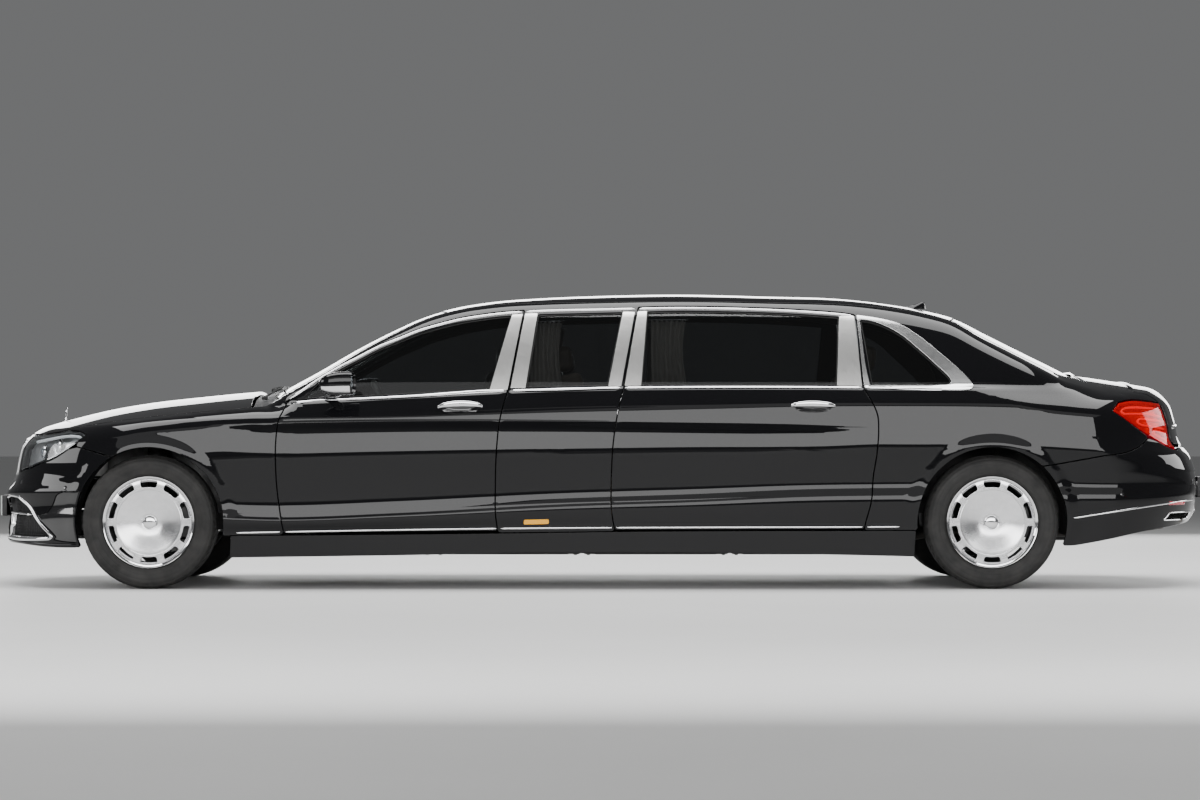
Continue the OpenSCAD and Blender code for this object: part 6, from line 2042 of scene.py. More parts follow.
# ---- dash ----
PR = np.array([(-1590, 905), (-1570, 930), (-1520, 950), (-1450, 962), (-1400, 965), (-1360, 958), (-1333, 938), (-1326, 905), (-1330, 872), (-1342, 850), (-1345, 800),
    (-1362, 740), (-1395, 680), (-1440, 640), (-1500, 626), (-1585, 628), (-1595, 700), (-1596, 820)], float)
pr_ = rounded(PR, r=10, bend=40, step=22)
rows = []
for y in np.linspace(-694, 694, 57):
    q = pr_.copy()
    cowl_ = math.exp(-((abs(y) - 440) / 175) ** 4) if y < 0 else 0.0
    mid_ = math.exp(-(y / 150) ** 4)
    top = np.clip((q[:, 1] - 890) / 60, 0, 1)
    fwd = np.clip((q[:, 0] + 1480) / 120, 0, 1)
    q[:, 1] += top * fwd * (20 * cowl_) - top * 6 * (abs(y) / 694) ** 2
    q[:, 0] += -14 * (1 - cowl_) * fwd + 22 * mid_ * fwd * (q[:, 1] < 900)
    q[:, 0] -= 26 * (abs(y) / 694) ** 3 * fwd
    rows.append(np.stack([q[:, 0], np.full(len(q), y), q[:, 1]], 1))
rows = np.array(rows)
for k_, d in ((0, 7), (1, 2), (-1, 7), (-2, 2)):
    c_ = rows[k_].mean(0)
    rows[k_] = c_ + (rows[k_] - c_) * (1 - d / 170)
piece("dash_body", loft(rows, True, False), ["door_trim"], replaces="dashboard")
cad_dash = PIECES["dash_body"]


def dash_x(y, z):
    """Rear face of the dash at a height."""
    i = int(np.argmin(np.abs(np.linspace(-694, 694, 57) - y)))
    r_ = rows[i]
    face_ = r_[(r_[:, 0] > -1460)]
    return float(np.interp(z, face_[:, 2][::-1] if face_[0, 2] > face_[-1, 2] else face_[:, 2], face_[:, 0][::-1] if face_[0, 2] > face_[-1, 2] else face_[:, 0]))


veneer = []
for y in np.linspace(-660, 660, 45):
    x = dash_x(y, 860)
    veneer.append([(x + 5, y, 872), (x + 6.5, y, 860), (x + 3, y, 832), (x - 12, y, 832), (x - 12, y, 872)])
piece("dash_veneer", loft(np.array(veneer), True, False), ["walnut"])
line_ = []
for y in np.linspace(-662, 662, 45):
    x = dash_x(y, 850)
    line_.append((x + 4, y, 827))
piece("dash_line", tube(line_, 2.6, 8), ["chrome"])
piece("instrument_screen", join(slab(rounded([(-640, 868), (40, 868), (40, 952), (-640, 952)], r=12, step=60), -1338, -1322, 3, "x")), ["gloss_black"])
vents = []
for y in (-600, -95, 95, 600):
    x = dash_x(y, 850)
    vents.append(facing(join(lathe([(20, -6), (29, -6), (31, 0), (29, 6), (25, 7), (22, 4)], 36, axis="Z"), *[block((-22, q - 1.5, -2), (22, q + 1.5, 3), 0.8, 1) for q in (-12, -4, 4, 12)],
                               lathe([(0, -2), (5, -2), (5, 7), (0, 8)], 16, axis="Z")), (1, 0, 0.1), (x + 9, y, 800)))
piece("air_vents", join(*vents), ["chrome"])
piece("glovebox", join(slab(rounded([(230, 680), (640, 680), (640, 800), (230, 800)], r=16, step=60), -1372, -1352, 4, "x"), tube([(-1350, 400, 785), (-1346, 435, 785), (-1350, 470, 785)], 4, 8)),
      ["door_trim"])
cc = [(-1400, 620), (-1390, 700), (-1345, 730), (-1310, 700), (-1200, 560), (-1100, 545), (-1000, 560), (-620, 566), (-608, 552), (-606, 345), (-1400, 345)]
piece("centre_console", slab(rounded(cc, r=14, bend=25, step=40), -108, 108, 10), ["door_trim"], replaces="dashboard")
piece("console_veneer", slab(rounded([(-1190, -92), (-1010, -92), (-1010, 92), (-1190, 92)], r=10, step=50), 556, 562, 1.5, "z"), ["walnut"])
piece("console_knob", join(lathe([(0, 0), (30, 0), (31, 3), (30, 6), (24, 8), (23, 22), (20, 25), (0, 26)], 40, (-1060, 0, 561), "Z")), ["chrome"])
arm = pad(185, 98, 22, 18, 16, lambda P, N: 3 * groove(P[:, 1], 4) * np.clip(N[:, 2], 0, 1)).moved(-805, 0, 580)
piece("console_armrest", arm, ["black_leather"])
pedals = join(*[join(pad(4, w, h, 3, 12).turned(turn("Y", 20)).moved(-1560, y, z), tube([(-1562, y, z + 10), (-1600, y, z + 130), (-1640, y, z + 240)], 7, 10))
                for y, z, w, h in ((-420, 380, 40, 28), (-310, 360, 22, 60))])
piece("pedals", pedals, ["steel"])

# ---- steering wheel, about its own axis, then set in place ----
AX = (0.90631, 0, 0.42262)
rim = []
for i in range(96):
    a = 2 * math.pi * i / 96
    grip = 15.2 + 1.0 * max(0, math.cos(2 * (a))) ** 4
    t = np.arange(20) * 2 * math.pi / 20
    ring = np.stack([(187.5 + grip * np.cos(t)) * math.cos(a), (187.5 + grip * np.cos(t)) * math.sin(a), grip * 0.95 * np.sin(t)], 1)
    rim.append(ring)
rim = loft(np.array(rim), True, True, caps=False)
hub_ = []
for i in range(13):
    f = i / 12
    r = 62 * math.cos(f * math.pi / 2) ** 0.35 if f < 1 else 0.4
    hub_.append((max(r, 0.4), -14 + 36 * math.sin(f * math.pi / 2)))
hub_ = lathe([(0, -16), (58, -16)] + hub_ + [(0, 22)], 56, axis="Z")
sp = []
for a, w in ((0, 17), (180, 17), (-90, 13)):
    r_ = []
    for rr, hw, z in ((50, w + 9, 4), (80, w + 3, 6), (120, w, 3), (160, w, 0), (186, w + 5, 0)):
        t = np.linspace(0, 2 * math.pi, 14, endpoint=False)
        r_.append(np.stack([np.full(14, float(rr)), hw * np.cos(t), z + 6.5 * np.sin(t)], 1))
    sp.append(loft(np.array(r_), True, False).turned(turn("Z", a)))
q_ = Vector(AX).to_track_quat("Z", "Y").to_matrix()
R = np.array(q_)
# keep the lower spoke pointing down
yv = R @ np.array([0, 1.0, 0])
sw = lambda s: s.turned(np.array(Matrix.Rotation(0, 3, "Z"))).turned(R).moved(-1150, -440, 920)
ang = math.degrees(math.atan2((R @ np.array([1.0, 0, 0]))[1], (R @ np.array([0, 1.0, 0]))[1]))
spin = turn("Z", ang)
place_sw = lambda s: s.turned(spin).turned(R).moved(-1150, -440, 920)
cands = [(abs((R @ turn("Z", k) @ np.array([0, -1.0, 0]))[1]) + (R @ turn("Z", k) @ np.array([0, -1.0, 0]))[2], k) for k in range(0, 360, 90)]
best = min(range(0, 360, 5), key=lambda k: (R @ turn("Z", k) @ np.array([0, -1.0, 0]))[2])
place_sw = lambda s: s.turned(turn("Z", best)).turned(R).moved(-1150, -440, 920)
piece("steering_rim", place_sw(rim), ["black_leather"], "steering_wheel", replaces="steering_wheel")
piece("steering_hub", place_sw(hub_), ["black_leather"], "steering_wheel", replaces="steering_wheel")
piece("steering_spokes", place_sw(join(*sp)), ["satin_chrome"], "steering_wheel")
col = lathe([(0, -190), (44, -190), (42, -120), (38, -60), (34, -34), (0, -32)], 40, axis="Z")
stalk = join(tube([(0, 30, -60), (10, 90, -52), (14, 130, -48)], 6, 10), tube([(0, -30, -60), (10, -90, -52), (14, -130, -48)], 6, 10))
piece("steering_column", place_sw(join(col, stalk)), ["black_plastic"], replaces="dashboard")

# ---- partition ----
P0, P1 = -352, -318
panel_ = slab(rounded([(-756, 346), (756, 346), (756, 900), (742, 968), (-742, 968), (-756, 900)], r=20, step=60), P0 + 2, P1 - 2, 6, "x")
legs_ = join(slab(rounded([(-756, 216), (-150, 216), (-150, 350), (-756, 350)], r=6, step=60), P0 + 3, P1 - 3, 3, "x"),
             slab(rounded([(150, 216), (756, 216), (756, 350), (150, 350)], r=6, step=60), P0 + 3, P1 - 3, 3, "x"))
piece("partition_panel", join(panel_, legs_), ["door_trim"], replaces="partition")
pp = [pad(7, 215, 150, 6, 16, lambda P, N: 3.0 * np.clip(np.abs(N[:, 0]), 0, 1) * (groove(np.abs(P[:, 1]) - 72, 4) + groove(P[:, 1], 4))).moved(-313, y, 780) for y in (-480, 480)]
for o, nm in zip(pp, ("left", "right")):
    piece("partition_pad_" + nm, o, ["cabin_leather"])
piece("partition_veneer", join(slab(rounded([(-740, 925), (740, 925), (740, 958), (-740, 958)], r=8, step=80), P1 - 4, P1 + 3, 1.5, "x")), ["walnut"])
gl = [(-598, 976), (598, 976), (590, 1080), (560, 1210), (520, 1400), (-520, 1400), (-560, 1210), (-590, 1080)]
gl = rounded(gl, r=16, bend=20, step=60)
piece("partition_glass", slab(gl, -338, -332, 0.8, "x"), ["side_glass"], replaces="partition")
edge_ = tube(np.stack([np.full(len(gl), -335.0), gl[:, 0], gl[:, 1]], 1), 6, 8, closed=True)
piece("partition_frame", edge_, ["satin_chrome"])

# ---- floor, ceiling and side linings ----
tun = rounded([(-146, 212), (-143, 300), (-128, 338), (128, 338), (143, 300), (146, 212)], r=18, bend=25, step=24)
piece("tunnel_carpet", slab(tun, -1545, 1540, 4, "x"), ["carpet"])
for s_, sd in ((-1, "left"), (1, "right")):
    a_, b_ = sorted((s_ * 150, s_ * 812))
    piece("floor_carpet_" + sd, slab(rounded([(-1712, a_), (1540, a_), (1540, b_), (-1712, b_)], r=14, step=120), 210.5, 217, 2, "z"), ["carpet"])
    for nm, x0, x1 in (("front", -1480, -1230), ("middle", 500, 700)):
        a_, b_ = sorted((s_ * 190, s_ * 700))
        piece("mat_%s_%s" % (nm, sd), slab(rounded([(x0, a_), (x1, a_), (x1, b_), (x0, b_)], r=26, step=40), 216, 224, 3, "z"), ["carpet"])
    a_, b_ = sorted((s_ * 150, s_ * 800))
    piece("bulkhead_carpet_" + sd, slab(rounded([(a_, 214), (b_, 214), (b_, 620), (a_, 620)], r=14, step=60), -1722, -1712, 2, "x"), ["carpet"])
shelf = slab(rounded([(1560, -610), (1880, -590), (1880, 590), (1560, 610)], r=20, step=60), 1026.5, 1033, 2, "z")
piece("parcel_shelf_cover", shelf, ["carpet"])
spk = join(*[lathe([(0, 0), (62, 0), (64, 2), (60, 5), (0, 5.5)], 48, (1720, y, 1032.5), "Z") for y in (-380, 0, 380)])
piece("shelf_speakers", spk, ["black_plastic"])
head_loop = rounded(tidy([np.stack([-820 + 50 * s**2, 560 * s], 1), line([(-740, 560), (1640, 556)], 80), np.stack([1780 - 60 * s**2, 548 * s], 1)[::-1],
                          line([(-740, -560), (1640, -556)], 80)[::-1]], 4), r=40, bend=30, step=26)
head = skin(ROOF_TOP, head_loop, [], lattice(-800, 1750, -550, 550, 85, 50), t=6, sink=lambda p: 24 + 10 * step((np.abs(p[:, 1]) - 300) / 200) * 0, ratio=0.7)
piece("headliner", head, ["headliner", "headliner"])
lights_ = join(*[join(pad(60, 26, 5, 4, 14).moved(x, y, float(ROOF_TOP.point(np.array([[x, y]]))[0][2]) - 36)) for x, y in ((-560, 0), (380, -300), (380, 300), (1180, -300), (1180, 300))])
piece("ceiling_lamps", lights_, ["lamp_white"])
grips = []
for x in (-900, 380, 1150):
    c_ = SIDE.point(SIDE.side([[x - 80, 1405 if x < -500 else 1445], [x - 60, 1400 if x < -500 else 1440], [x + 60, 1400 if x < -500 else 1440], [x + 80, 1405 if x < -500 else 1445]]))
    n_ = SIDE.normal(c_)
    p_ = c_ - n_ * np.array([34, 62, 62, 34])[:, None]
    grips.append(tube(curve3(p_, 14), 7, 10))

# linings of the fixed sides
mid_lin = rounded(tidy([SIDE.side(line([(-532, 345), (-540, 600), (-520, 880), (-480, 1050), (-402, 1455)])), SIDE.side(line([(-395, 1462), (165, 1470)])),
                        SIDE.side(line([(168, 1466), (86, 1050), (60, 880), (34, 598), (34, 350)])), SIDE.side(line([(28, 345), (-526, 345)]))]), r=10, bend=30, step=26)
lin = skin(SIDE, mid_lin, [grown(win_m, 4)], GRID[::2], t=8, sink=24, clear=8)
pair("middle_side_lining", lin, ["door_trim", "door_trim"], "body", "body")
rear_lin = rounded(tidy([SIDE.side(line([(1460, 900), (1445, 980), (1392, 1060), (1352, 1450)])), SIDE.side(line([(1356, 1456), (1560, 1420), (1760, 1330), (1880, 1200), (1930, 1080), (1880, 1036)])),
                         SIDE.side(line([(1874, 1030), (1600, 1020), (1560, 900)])), SIDE.side(line([(1556, 896), (1464, 896)]))]), r=14, bend=30, step=26)
lin = skin(SIDE, rear_lin, [grown(win_q, 4)], GRID[::2], t=8, sink=24, clear=8)
pair("rear_side_lining", lin, ["headliner", "door_trim"], "body", "body")


# ---- inside of the doors ----
def inner_at(x, z, d):
    P = SIDE.point(SIDE.side([[x, z]]))[0]
    return P - np.array([0, -1.0, 0]) * d * 1.0


def door_inside(name, x0, x1, body, leather):
    xm = (x0 + x1) / 2
    yb = float(inner_at(xm, 700, 62)[1])
    arm_ = pad((x1 - x0) / 2 - 120, 34, 26, 20, 16, lambda P, N: 3 * groove(P[:, 0] - 60, 4) * np.clip(N[:, 2], 0, 1)).moved(xm, yb + 26, 690)
    a, b = pair(name + "_armrest", arm_, [leather], body, body.replace("left", "right"))
    wood = slab(rounded([(x0 + 110, 826), (x1 - 90, 836), (x1 - 80, 872), (x0 + 110, 862)], r=12, step=40), yb - 4, yb + 5, 1.6, "y")
    pair(name + "_veneer", wood, ["walnut"], body, body.replace("left", "right"))
    pull = tube(curve3([(xm - 95, yb + 2, 782), (xm - 80, yb + 24, 784), (xm, yb + 32, 788), (xm + 80, yb + 24, 784), (xm + 95, yb + 2, 782)], 20), 8, 12)
    spk_ = facing(join(lathe([(0, -3), (80, -3), (82, 3), (78, 6), (70, 5), (0, 6.5)], 48, axis="Z")), (0, 1, 0), (x0 + 260, yb + 1, 470))
    pair(name + "_pull", pull, ["chrome"], body, body.replace("left", "right"))
    pair(name + "_speaker", spk_, ["black_plastic"], body, body.replace("left", "right"))
    bin_ = slab(rounded([(x0 + 380, 400), (x1 - 100, 400), (x1 - 100, 500), (x0 + 380, 510)], r=18, step=40), yb - 4, yb + 30, 8, "y")
    pair(name + "_pocket", bin_, ["door_trim"], body, body.replace("left", "right"))


door_inside("front_door", -1560, -620, "front_door_left", "black_leather")
door_inside("rear_door", 130, 1330, "rear_door_left", "cabin_leather")


# ---- curtains: gathered cloth on rails behind the smoked glass ----
def curtain(x0, x1, z0, z1, pleats=7, d=48, n=104, t=0.9, rowsn=12):
    xs = np.linspace(0, 1, n)
    out = []
    for side_ in (0, 1):
        rr = []
        for j in range(rowsn):
            v = j / (rowsn - 1)
            z = z1 + (z0 - z1) * v
            tie = 1 - 0.10 * math.sin(math.pi * min(1, v * 1.05))
            x = x0 + (x1 - x0) * (xs * tie)
            P = SIDE.point(SIDE.side(np.stack([x, np.full(n, z)], 1)))
            N = SIDE.normal(P)
            amp = 9.0 + 4.5 * v
            w = amp * np.sin(2 * math.pi * pleats * xs + 0.5 * math.sin(3 * v)) + 1.6 * np.sin(2 * math.pi * pleats * 2.3 * xs + 4 * v)
            Q = P - N * (d - w)[:, None]
            rr.append(Q)
        out.append(np.array(rr))
    A = out[0]
    du = np.gradient(A, axis=1)
    dv = np.gradient(A, axis=0)
    nn = np.cross(du, dv)
    nn = nn / np.maximum(np.linalg.norm(nn, axis=2), 1e-9)[:, :, None]
    B = A + nn * t
    rows_c = np.concatenate([A, B[:, ::-1]], 1)
    return loft(rows_c, True, False), A


for nm, x0, x1, z0, z1, body in (("middle", -385, -215, 1075, 1432, "body"), ("rear_door", 255, 440, 1085, 1440, "rear_door_left")):
    for s_, sd in ((-1, "left"), (1, "right")):
        shp, A = curtain(x0, x1, z0, z1)
        ends = A[0][[0, -1]]
        rail_pts = np.linspace(ends[0] + [-14, 0, 6], ends[1] + [14, 0, 6], 12)
        rail = tube(rail_pts, 3.4, 10)
        bd = body.replace("left", sd)
        if s_ > 0:
            shp, rail = shp.mirrored(), rail.mirrored()
        ro = piece("curtain_rail_%s_%s" % (nm, sd), rail, ["chrome"], bd)
        co = piece("curtain_%s_%s" % (nm, sd), shp, ["curtain"], bd)


# ---- under the hood ----
def ribs(x0, x1, ys_, z0, z1, w=5):
    return [block((x0, y - w, z0), (x1, y + w, z1), 2, 1) for y in ys_]


eng = slab(rounded([(-2716, 334), (-2716, 560), (-2690, 690), (-2640, 745), (-1890, 745), (-1846, 700), (-1846, 400), (-1900, 334)], r=26, bend=25, step=60), -286, 286, 16)
heads = [slab(rounded([(-2660, 640), (-2660, 762), (-1880, 762), (-1880, 640)], r=16, step=80), s_ * 215 - 62, s_ * 215 + 62, 10) for s_ in (-1, 1)]
piece("engine_body", join(eng, *heads, *[lathe([(0, 0), (10, 0), (10, 8), (6, 10), (0, 10)], 6, (x, s_ * 255, 762), "Z") for s_ in (-1, 1) for x in (-2600, -2420, -2240, -2060, -1930)]),
      ["engine_block"], replaces="engine")
cover_ = pad(330, 150, 20, 14, 22, lambda P, N: 5 * np.clip(N[:, 2], 0, 1) ** 2 * (groove(np.abs(P[:, 1]) - 60, 4) + groove(np.abs(P[:, 1]) - 95, 4))).moved(-2270, 0, 782)
piece("engine_cover", join(cover_, *ribs(-2560, -1990, (-30, 0, 30), 800, 807, 4)), ["black_plastic"])
pul = join(*[lathe([(0, 0), (r, 0), (r, 4), (r - 4, 7), (r - 4, 13), (r, 16), (r, 20), (12, 22), (0, 22)], 40, (-2716, y, z), "-X")
             for y, z, r in ((0, 430, 72), (-170, 520, 44), (165, 500, 50), (10, 620, 40))])
piece("belt_pulleys", pul, ["cast_alloy"])
belt_path = curve3([(-2727, -72, 430), (-2727, -212, 520), (-2727, -170, 562), (-2727, 10, 660), (-2727, 165, 550), (-2727, 214, 500), (-2727, 60, 370), (-2727, -30, 362), (-2727, -72, 430)], 60)
piece("drive_belt", tube(belt_path[:-1], 5, 8, closed=True, squash=1.0), ["rubber"])
rad = block((-3036, -380, 310), (-2996, 380, 690), 6)
fins = [block((-2997, -366, z), (-2992, 366, z + 3), 0, 1) for z in np.arange(330, 680, 12)]
piece("radiator", join(rad, *fins, *[block((-3040, s_ * 392 - 16, 306), (-2992, s_ * 392 + 16, 694), 8) for s_ in (-1, 1)]), ["cast_alloy"])
fan = join(lathe([(300, -14), (308, -14), (308, 14), (300, 14)], 60, (-2972, 0, 500), "-X").changed(lambda p: p * 1.0),
           lathe([(0, -12), (50, -12), (50, 12), (0, 12)], 32, (-2972, 0, 500), "-X"),
           *[block((-2980, -9 * 0 - 16, 48), (-2974, 16, 296), 2, 1).moved(2972, 0, 0).turned(turn("X", 40 * k)).moved(-2972, 0, 500) for k in range(9)])
fan = fan.changed(lambda p: np.stack([p[:, 0], p[:, 1] * 0.62, 500 + (p[:, 2] - 500) * 0.62], 1))
piece("cooling_fan", fan, ["black_plastic"])
airbox = pad(120, 88, 78, 24, 22, lambda P, N: 5 * (1 - np.abs(N[:, 2])) * groove(P[:, 2] - 10, 4) + 3 * np.clip(N[:, 2], 0, 1) * sum(groove(P[:, 0] - q, 4) for q in (-70, -35, 0, 35, 70))).moved(-2860, 300, 640)
piece("air_box", airbox, ["black_plastic"])
piece("intake_pipe", tube(curve3([(-2745, 300, 660), (-2700, 290, 720), (-2620, 190, 800), (-2560, 110, 800)], 26), 34, 20), ["rubber"])
battery = join(slab(rounded([(-2030, 470), (-1860, 470), (-1860, 650), (-2030, 650)], r=8, step=40), 330, 480, 5),
               *[lathe([(0, 0), (9, 0), (8, 20), (0, 20)], 16, (x, 360, 650), "Z") for x in (-2000, -1890)], block((-2036, 324, 600), (-1854, 486, 616), 3))
piece("battery", battery, ["black_plastic"])
piece("coolant_tank", join(pad(70, 52, 55, 30, 16).moved(-2740, -370, 640), lathe([(0, 0), (24, 0), (24, 16), (20, 20), (0, 20)], 24, (-2740, -370, 693), "Z")), ["plate"])
piece("brake_servo", join(lathe([(0, 0), (92, 0), (98, 8), (98, 30), (90, 44), (60, 52), (40, 56), (0, 58)], 48, (-1757, -390, 700), "-X"),
                          lathe([(0, 56), (22, 56), (22, 150), (0, 152)], 24, (-1757, -390, 700), "-X"), pad(50, 26, 24, 12, 14).moved(-1870, -390, 745)), ["gloss_black"])
piece("hoses", join(tube(curve3([(-2992, -260, 640), (-2900, -240, 690), (-2800, -150, 700), (-2700, -90, 690)], 22), 19, 14),
                    tube(curve3([(-2992, 250, 350), (-2900, 240, 340), (-2820, 200, 380), (-2716, 120, 420)], 22), 19, 14),
                    tube(curve3([(-2740, -370, 600), (-2700, -330, 560), (-2660, -300, 540)], 14), 10, 12),
                    tube(curve3([(-1990, 360, 668), (-2060, 300, 740), (-2150, 290, 770), (-2300, 290, 772)], 20), 7, 10)), ["rubber"])
caps_ = join(*[join(lathe([(0, 0), (88, 0), (90, 4), (86, 9), (40, 16), (0, 17)], 44, (XF, s_ * 530, 822), "Z"),
                    *[lathe([(0, 0), (8, 0), (8, 10), (0, 11)], 6, (XF + 66 * math.cos(a), s_ * 530 + 66 * math.sin(a), 828), "Z") for a in (0.5, 2.6, 4.7)]) for s_ in (-1, 1)])
piece("strut_caps", caps_, ["chassis"])
inner_hood = rounded(inset(hood_loop if area(hood_loop) > 0 else hood_loop[::-1], 58)[::3], r=30, bend=40, step=24)
hood_pad = skin(HOOD_TOP, inner_hood, [], lattice(-3050, -1900, -760, 760, 40, 37.5), t=9, ratio=0.9,
                sink=lambda p: 19 + 4 * np.clip(groove((p[:, 0] + 3100) % 240 - 120, 10) + groove((p[:, 1] + 900) % 225 - 112, 10), 0, 1))
hp_ = piece("hood_lining", hood_pad, ["carpet", "carpet"], "hood")
latch = join(tube([(-3060, -30, 770), (-3060, -30, 742), (-3060, 30, 742), (-3060, 30, 770)], 4, 8))
piece("hood_latch", latch, ["steel"], "hood")

# ---- trunk ----
piece("trunk_carpet", join(slab(rounded([(1584, -478), (3080, -478), (3080, 478), (1584, 478)], r=20, step=120), 498.5, 505, 2, "z"),
                           *[slab(rounded([(1586, 500), (2985, 500), (2985, 776), (1586, 776)], r=14, step=120), s_ * 484 - 4, s_ * 484 + 4, 2, "y") for s_ in (-1, 1)],
                           slab(rounded([(-470, 506), (470, 506), (470, 800), (-470, 800)], r=14, step=80), 1570, 1580, 2, "x")), ["carpet"])
lid_in = rounded(inset(lid_loop if area(lid_loop) > 0 else lid_loop[::-1], 48)[::3], r=30, bend=40, step=24)
piece("lid_lining", skin(LID, lid_in, [], lattice(-540, 540, 10, 620, 36, 30), t=7, sink=17.5, ratio=0.6), ["carpet", "carpet"], "trunk_lid")
piece("lid_latch", join(block((3108, -28, 752), (3134, 28, 776), 4), tube([(3120, -18, 756), (3120, -18, 738), (3120, 18, 738), (3120, 18, 756)], 4, 8)), ["steel"], "trunk_lid")

shelf = []
for s_ in (-1, 1):
    rim_ = [(1590, s_ * 482), (2985, s_ * 482), (2985, s_ * 600), (2900, s_ * 690), (2760, s_ * 770), (2620, s_ * 806), (1590, s_ * 830)]
    rim_ = rim_ if s_ > 0 else rim_[::-1]
    shelf.append(slab(rounded(rim_, r=18, bend=25, step=90), 770.5, 777, 2.2, "z"))
piece("trunk_side_shelf", join(*shelf), ["carpet"])

# ---- brakes and springs ----
plate_a = lathe([(60, 38), (74, 38), (172, 38), (173.5, 37), (173.5, 35), (172, 34), (60, 34)], 76)
plate_b = lathe([(60, 30), (172, 30), (173.5, 29), (173.5, 27), (172, 26), (60, 26)], 76)
vanes = [block((76, -33.6, -2.2), (170, -30.2, 2.2), 0, 1).turned(turn("Y", 10 * k)) for k in range(36)]
disc_shape = join(plate_a, plate_b, *vanes)
cal = []
for s0, s1, a0, a1 in ((118, 204, -14, 24), (178, 204, 22, 42), (122, 204, 40.5, 45.5)):
    an = np.radians(np.linspace(-24, 24, 13))
    ring_o = np.stack([s1 * np.cos(an), s1 * np.sin(an)], 1)
    ring_i = np.stack([s0 * np.cos(an), s0 * np.sin(an)], 1)[::-1]
    cal.append(slab(np.vstack([ring_o, ring_i]), -a1, -a0, 3, "y"))
caliper = join(*cal)
for x, end in ((XF, "front"), (XR, "rear")):
    for s_, sd in ((-1, "left"), (1, "right")):
        piece("brake_disc_%s_%s" % (end, sd), set_wheel(disc_shape, x, s_), ["brake_iron"], "wheel_%s_%s" % (end, sd))
        tilt = turn("Y", 0)
        piece("caliper_%s_%s" % (end, sd), set_wheel(caliper.turned(tilt), x, s_), ["chassis"], "steering_knuckle_" + sd if end == "front" else "body")


def coil(x, y, z0, z1, r, w, turns):
    n = int(turns * 15)
    a = np.linspace(0, 2 * math.pi * turns, n)
    return tube(np.stack([x + r * np.cos(a), y + r * np.sin(a), np.linspace(z0, z1, n)], 1), w, 6)


piece("springs", join(*[q for s_ in (-1, 1) for q in (coil(XF, s_ * 560, 560, 760, 47, 6, 6), coil(XR - 90, s_ * 560, 330, 590, 50, 6, 7))]), ["chassis"])

# ---- underside ----
shields = []
for x0, x1, y0, y1 in ((-1690, -900, 150, 800), (-880, -120, 150, 800), (-100, 660, 150, 800), (680, 1480, 150, 800)):
    for s_ in (-1, 1):
        a_, b_ = sorted((s_ * y0, s_ * y1))
        shields.append(slab(rounded([(x0, a_), (x1, a_), (x1, b_), (x0, b_)], r=24, step=90), 179.5, 185.5, 2.4, "z"))
        for q in np.linspace(y0 + 90, y1 - 90, 5):
            shields.append(block((x0 + 60, s_ * q - 13, 175), (x1 - 60, s_ * q + 13, 181), 2.4, 1))
        for bx in (x0 + 24, x1 - 24):
            for by in (y0 + 24, y1 - 24):
                shields.append(lathe([(0, 0), (11, 0), (11, -3), (7, -6), (0, -6)], 12, (bx, s_ * by, 180), "Z"))
piece("floor_shields", join(*[outward(q) for q in shields]), ["underbody"])
tray = slab(rounded([(-3020, -400), (-1800, -400), (-1800, 400), (-3020, 400)], r=40, step=90), 262, 268, 2.4, "z")
tray_r = [slab(rounded([(x - 11, -340), (x + 11, -340), (x + 11, 340), (x - 11, 340)], r=10.5, bend=40, step=60), 256, 264, 2.4, "z") for x in np.arange(-2900, -2560, 90)]
tray_h = [slab(rounded([(x - 40, y - 8), (x + 40, y - 8), (x + 40, y + 8), (x - 40, y + 8)], r=7.5, bend=40, step=40), 258, 264, 2.0, "z") for x in (-2120, -1980) for y in (-200, -120, -40, 40, 120, 200)]
piece("engine_tray", join(tray, *tray_r, *tray_h), ["black_plastic"])
lines_ = [tube(curve3([(-1700, s_ * 168, 172), (-600, s_ * 166, 172), (600, s_ * 166, 172), (1500, s_ * 168, 174)], 40), 3.2, 8) for s_ in (-1.0, -1.08)]
piece("brake_lines", join(*lines_), ["steel"])
tank_ribs = [slab(rounded([(2360, y - 8), (2640, y - 8), (2640, y + 8), (2360, y + 8)], r=7.5, bend=40, step=60), 234, 241, 2, "z") for y in (-190, -110, 110, 190)]
piece("tank_straps", join(*tank_ribs, *[block((x - 16, -254, 236), (x + 16, 254, 239.5), 1) for x in (2420, 2580)]), ["steel"])
rear_cross = block((2700, -470, 352), (2760, 470, 386), 8)
sh2 = slab(rounded([(2690, -300), (3060, -300), (3060, 300), (2690, 300)], r=30, step=90), 352, 358, 2.4, "z")
piece("rear_shield", join(rear_cross, sh2, *[slab(rounded([(2720, y - 10), (3030, y - 10), (3030, y + 10), (2720, y + 10)], r=9.5, bend=40, step=60), 347, 354, 2, "z") for y in (-220, -110, 0, 110, 220)]),
      ["underbody"])

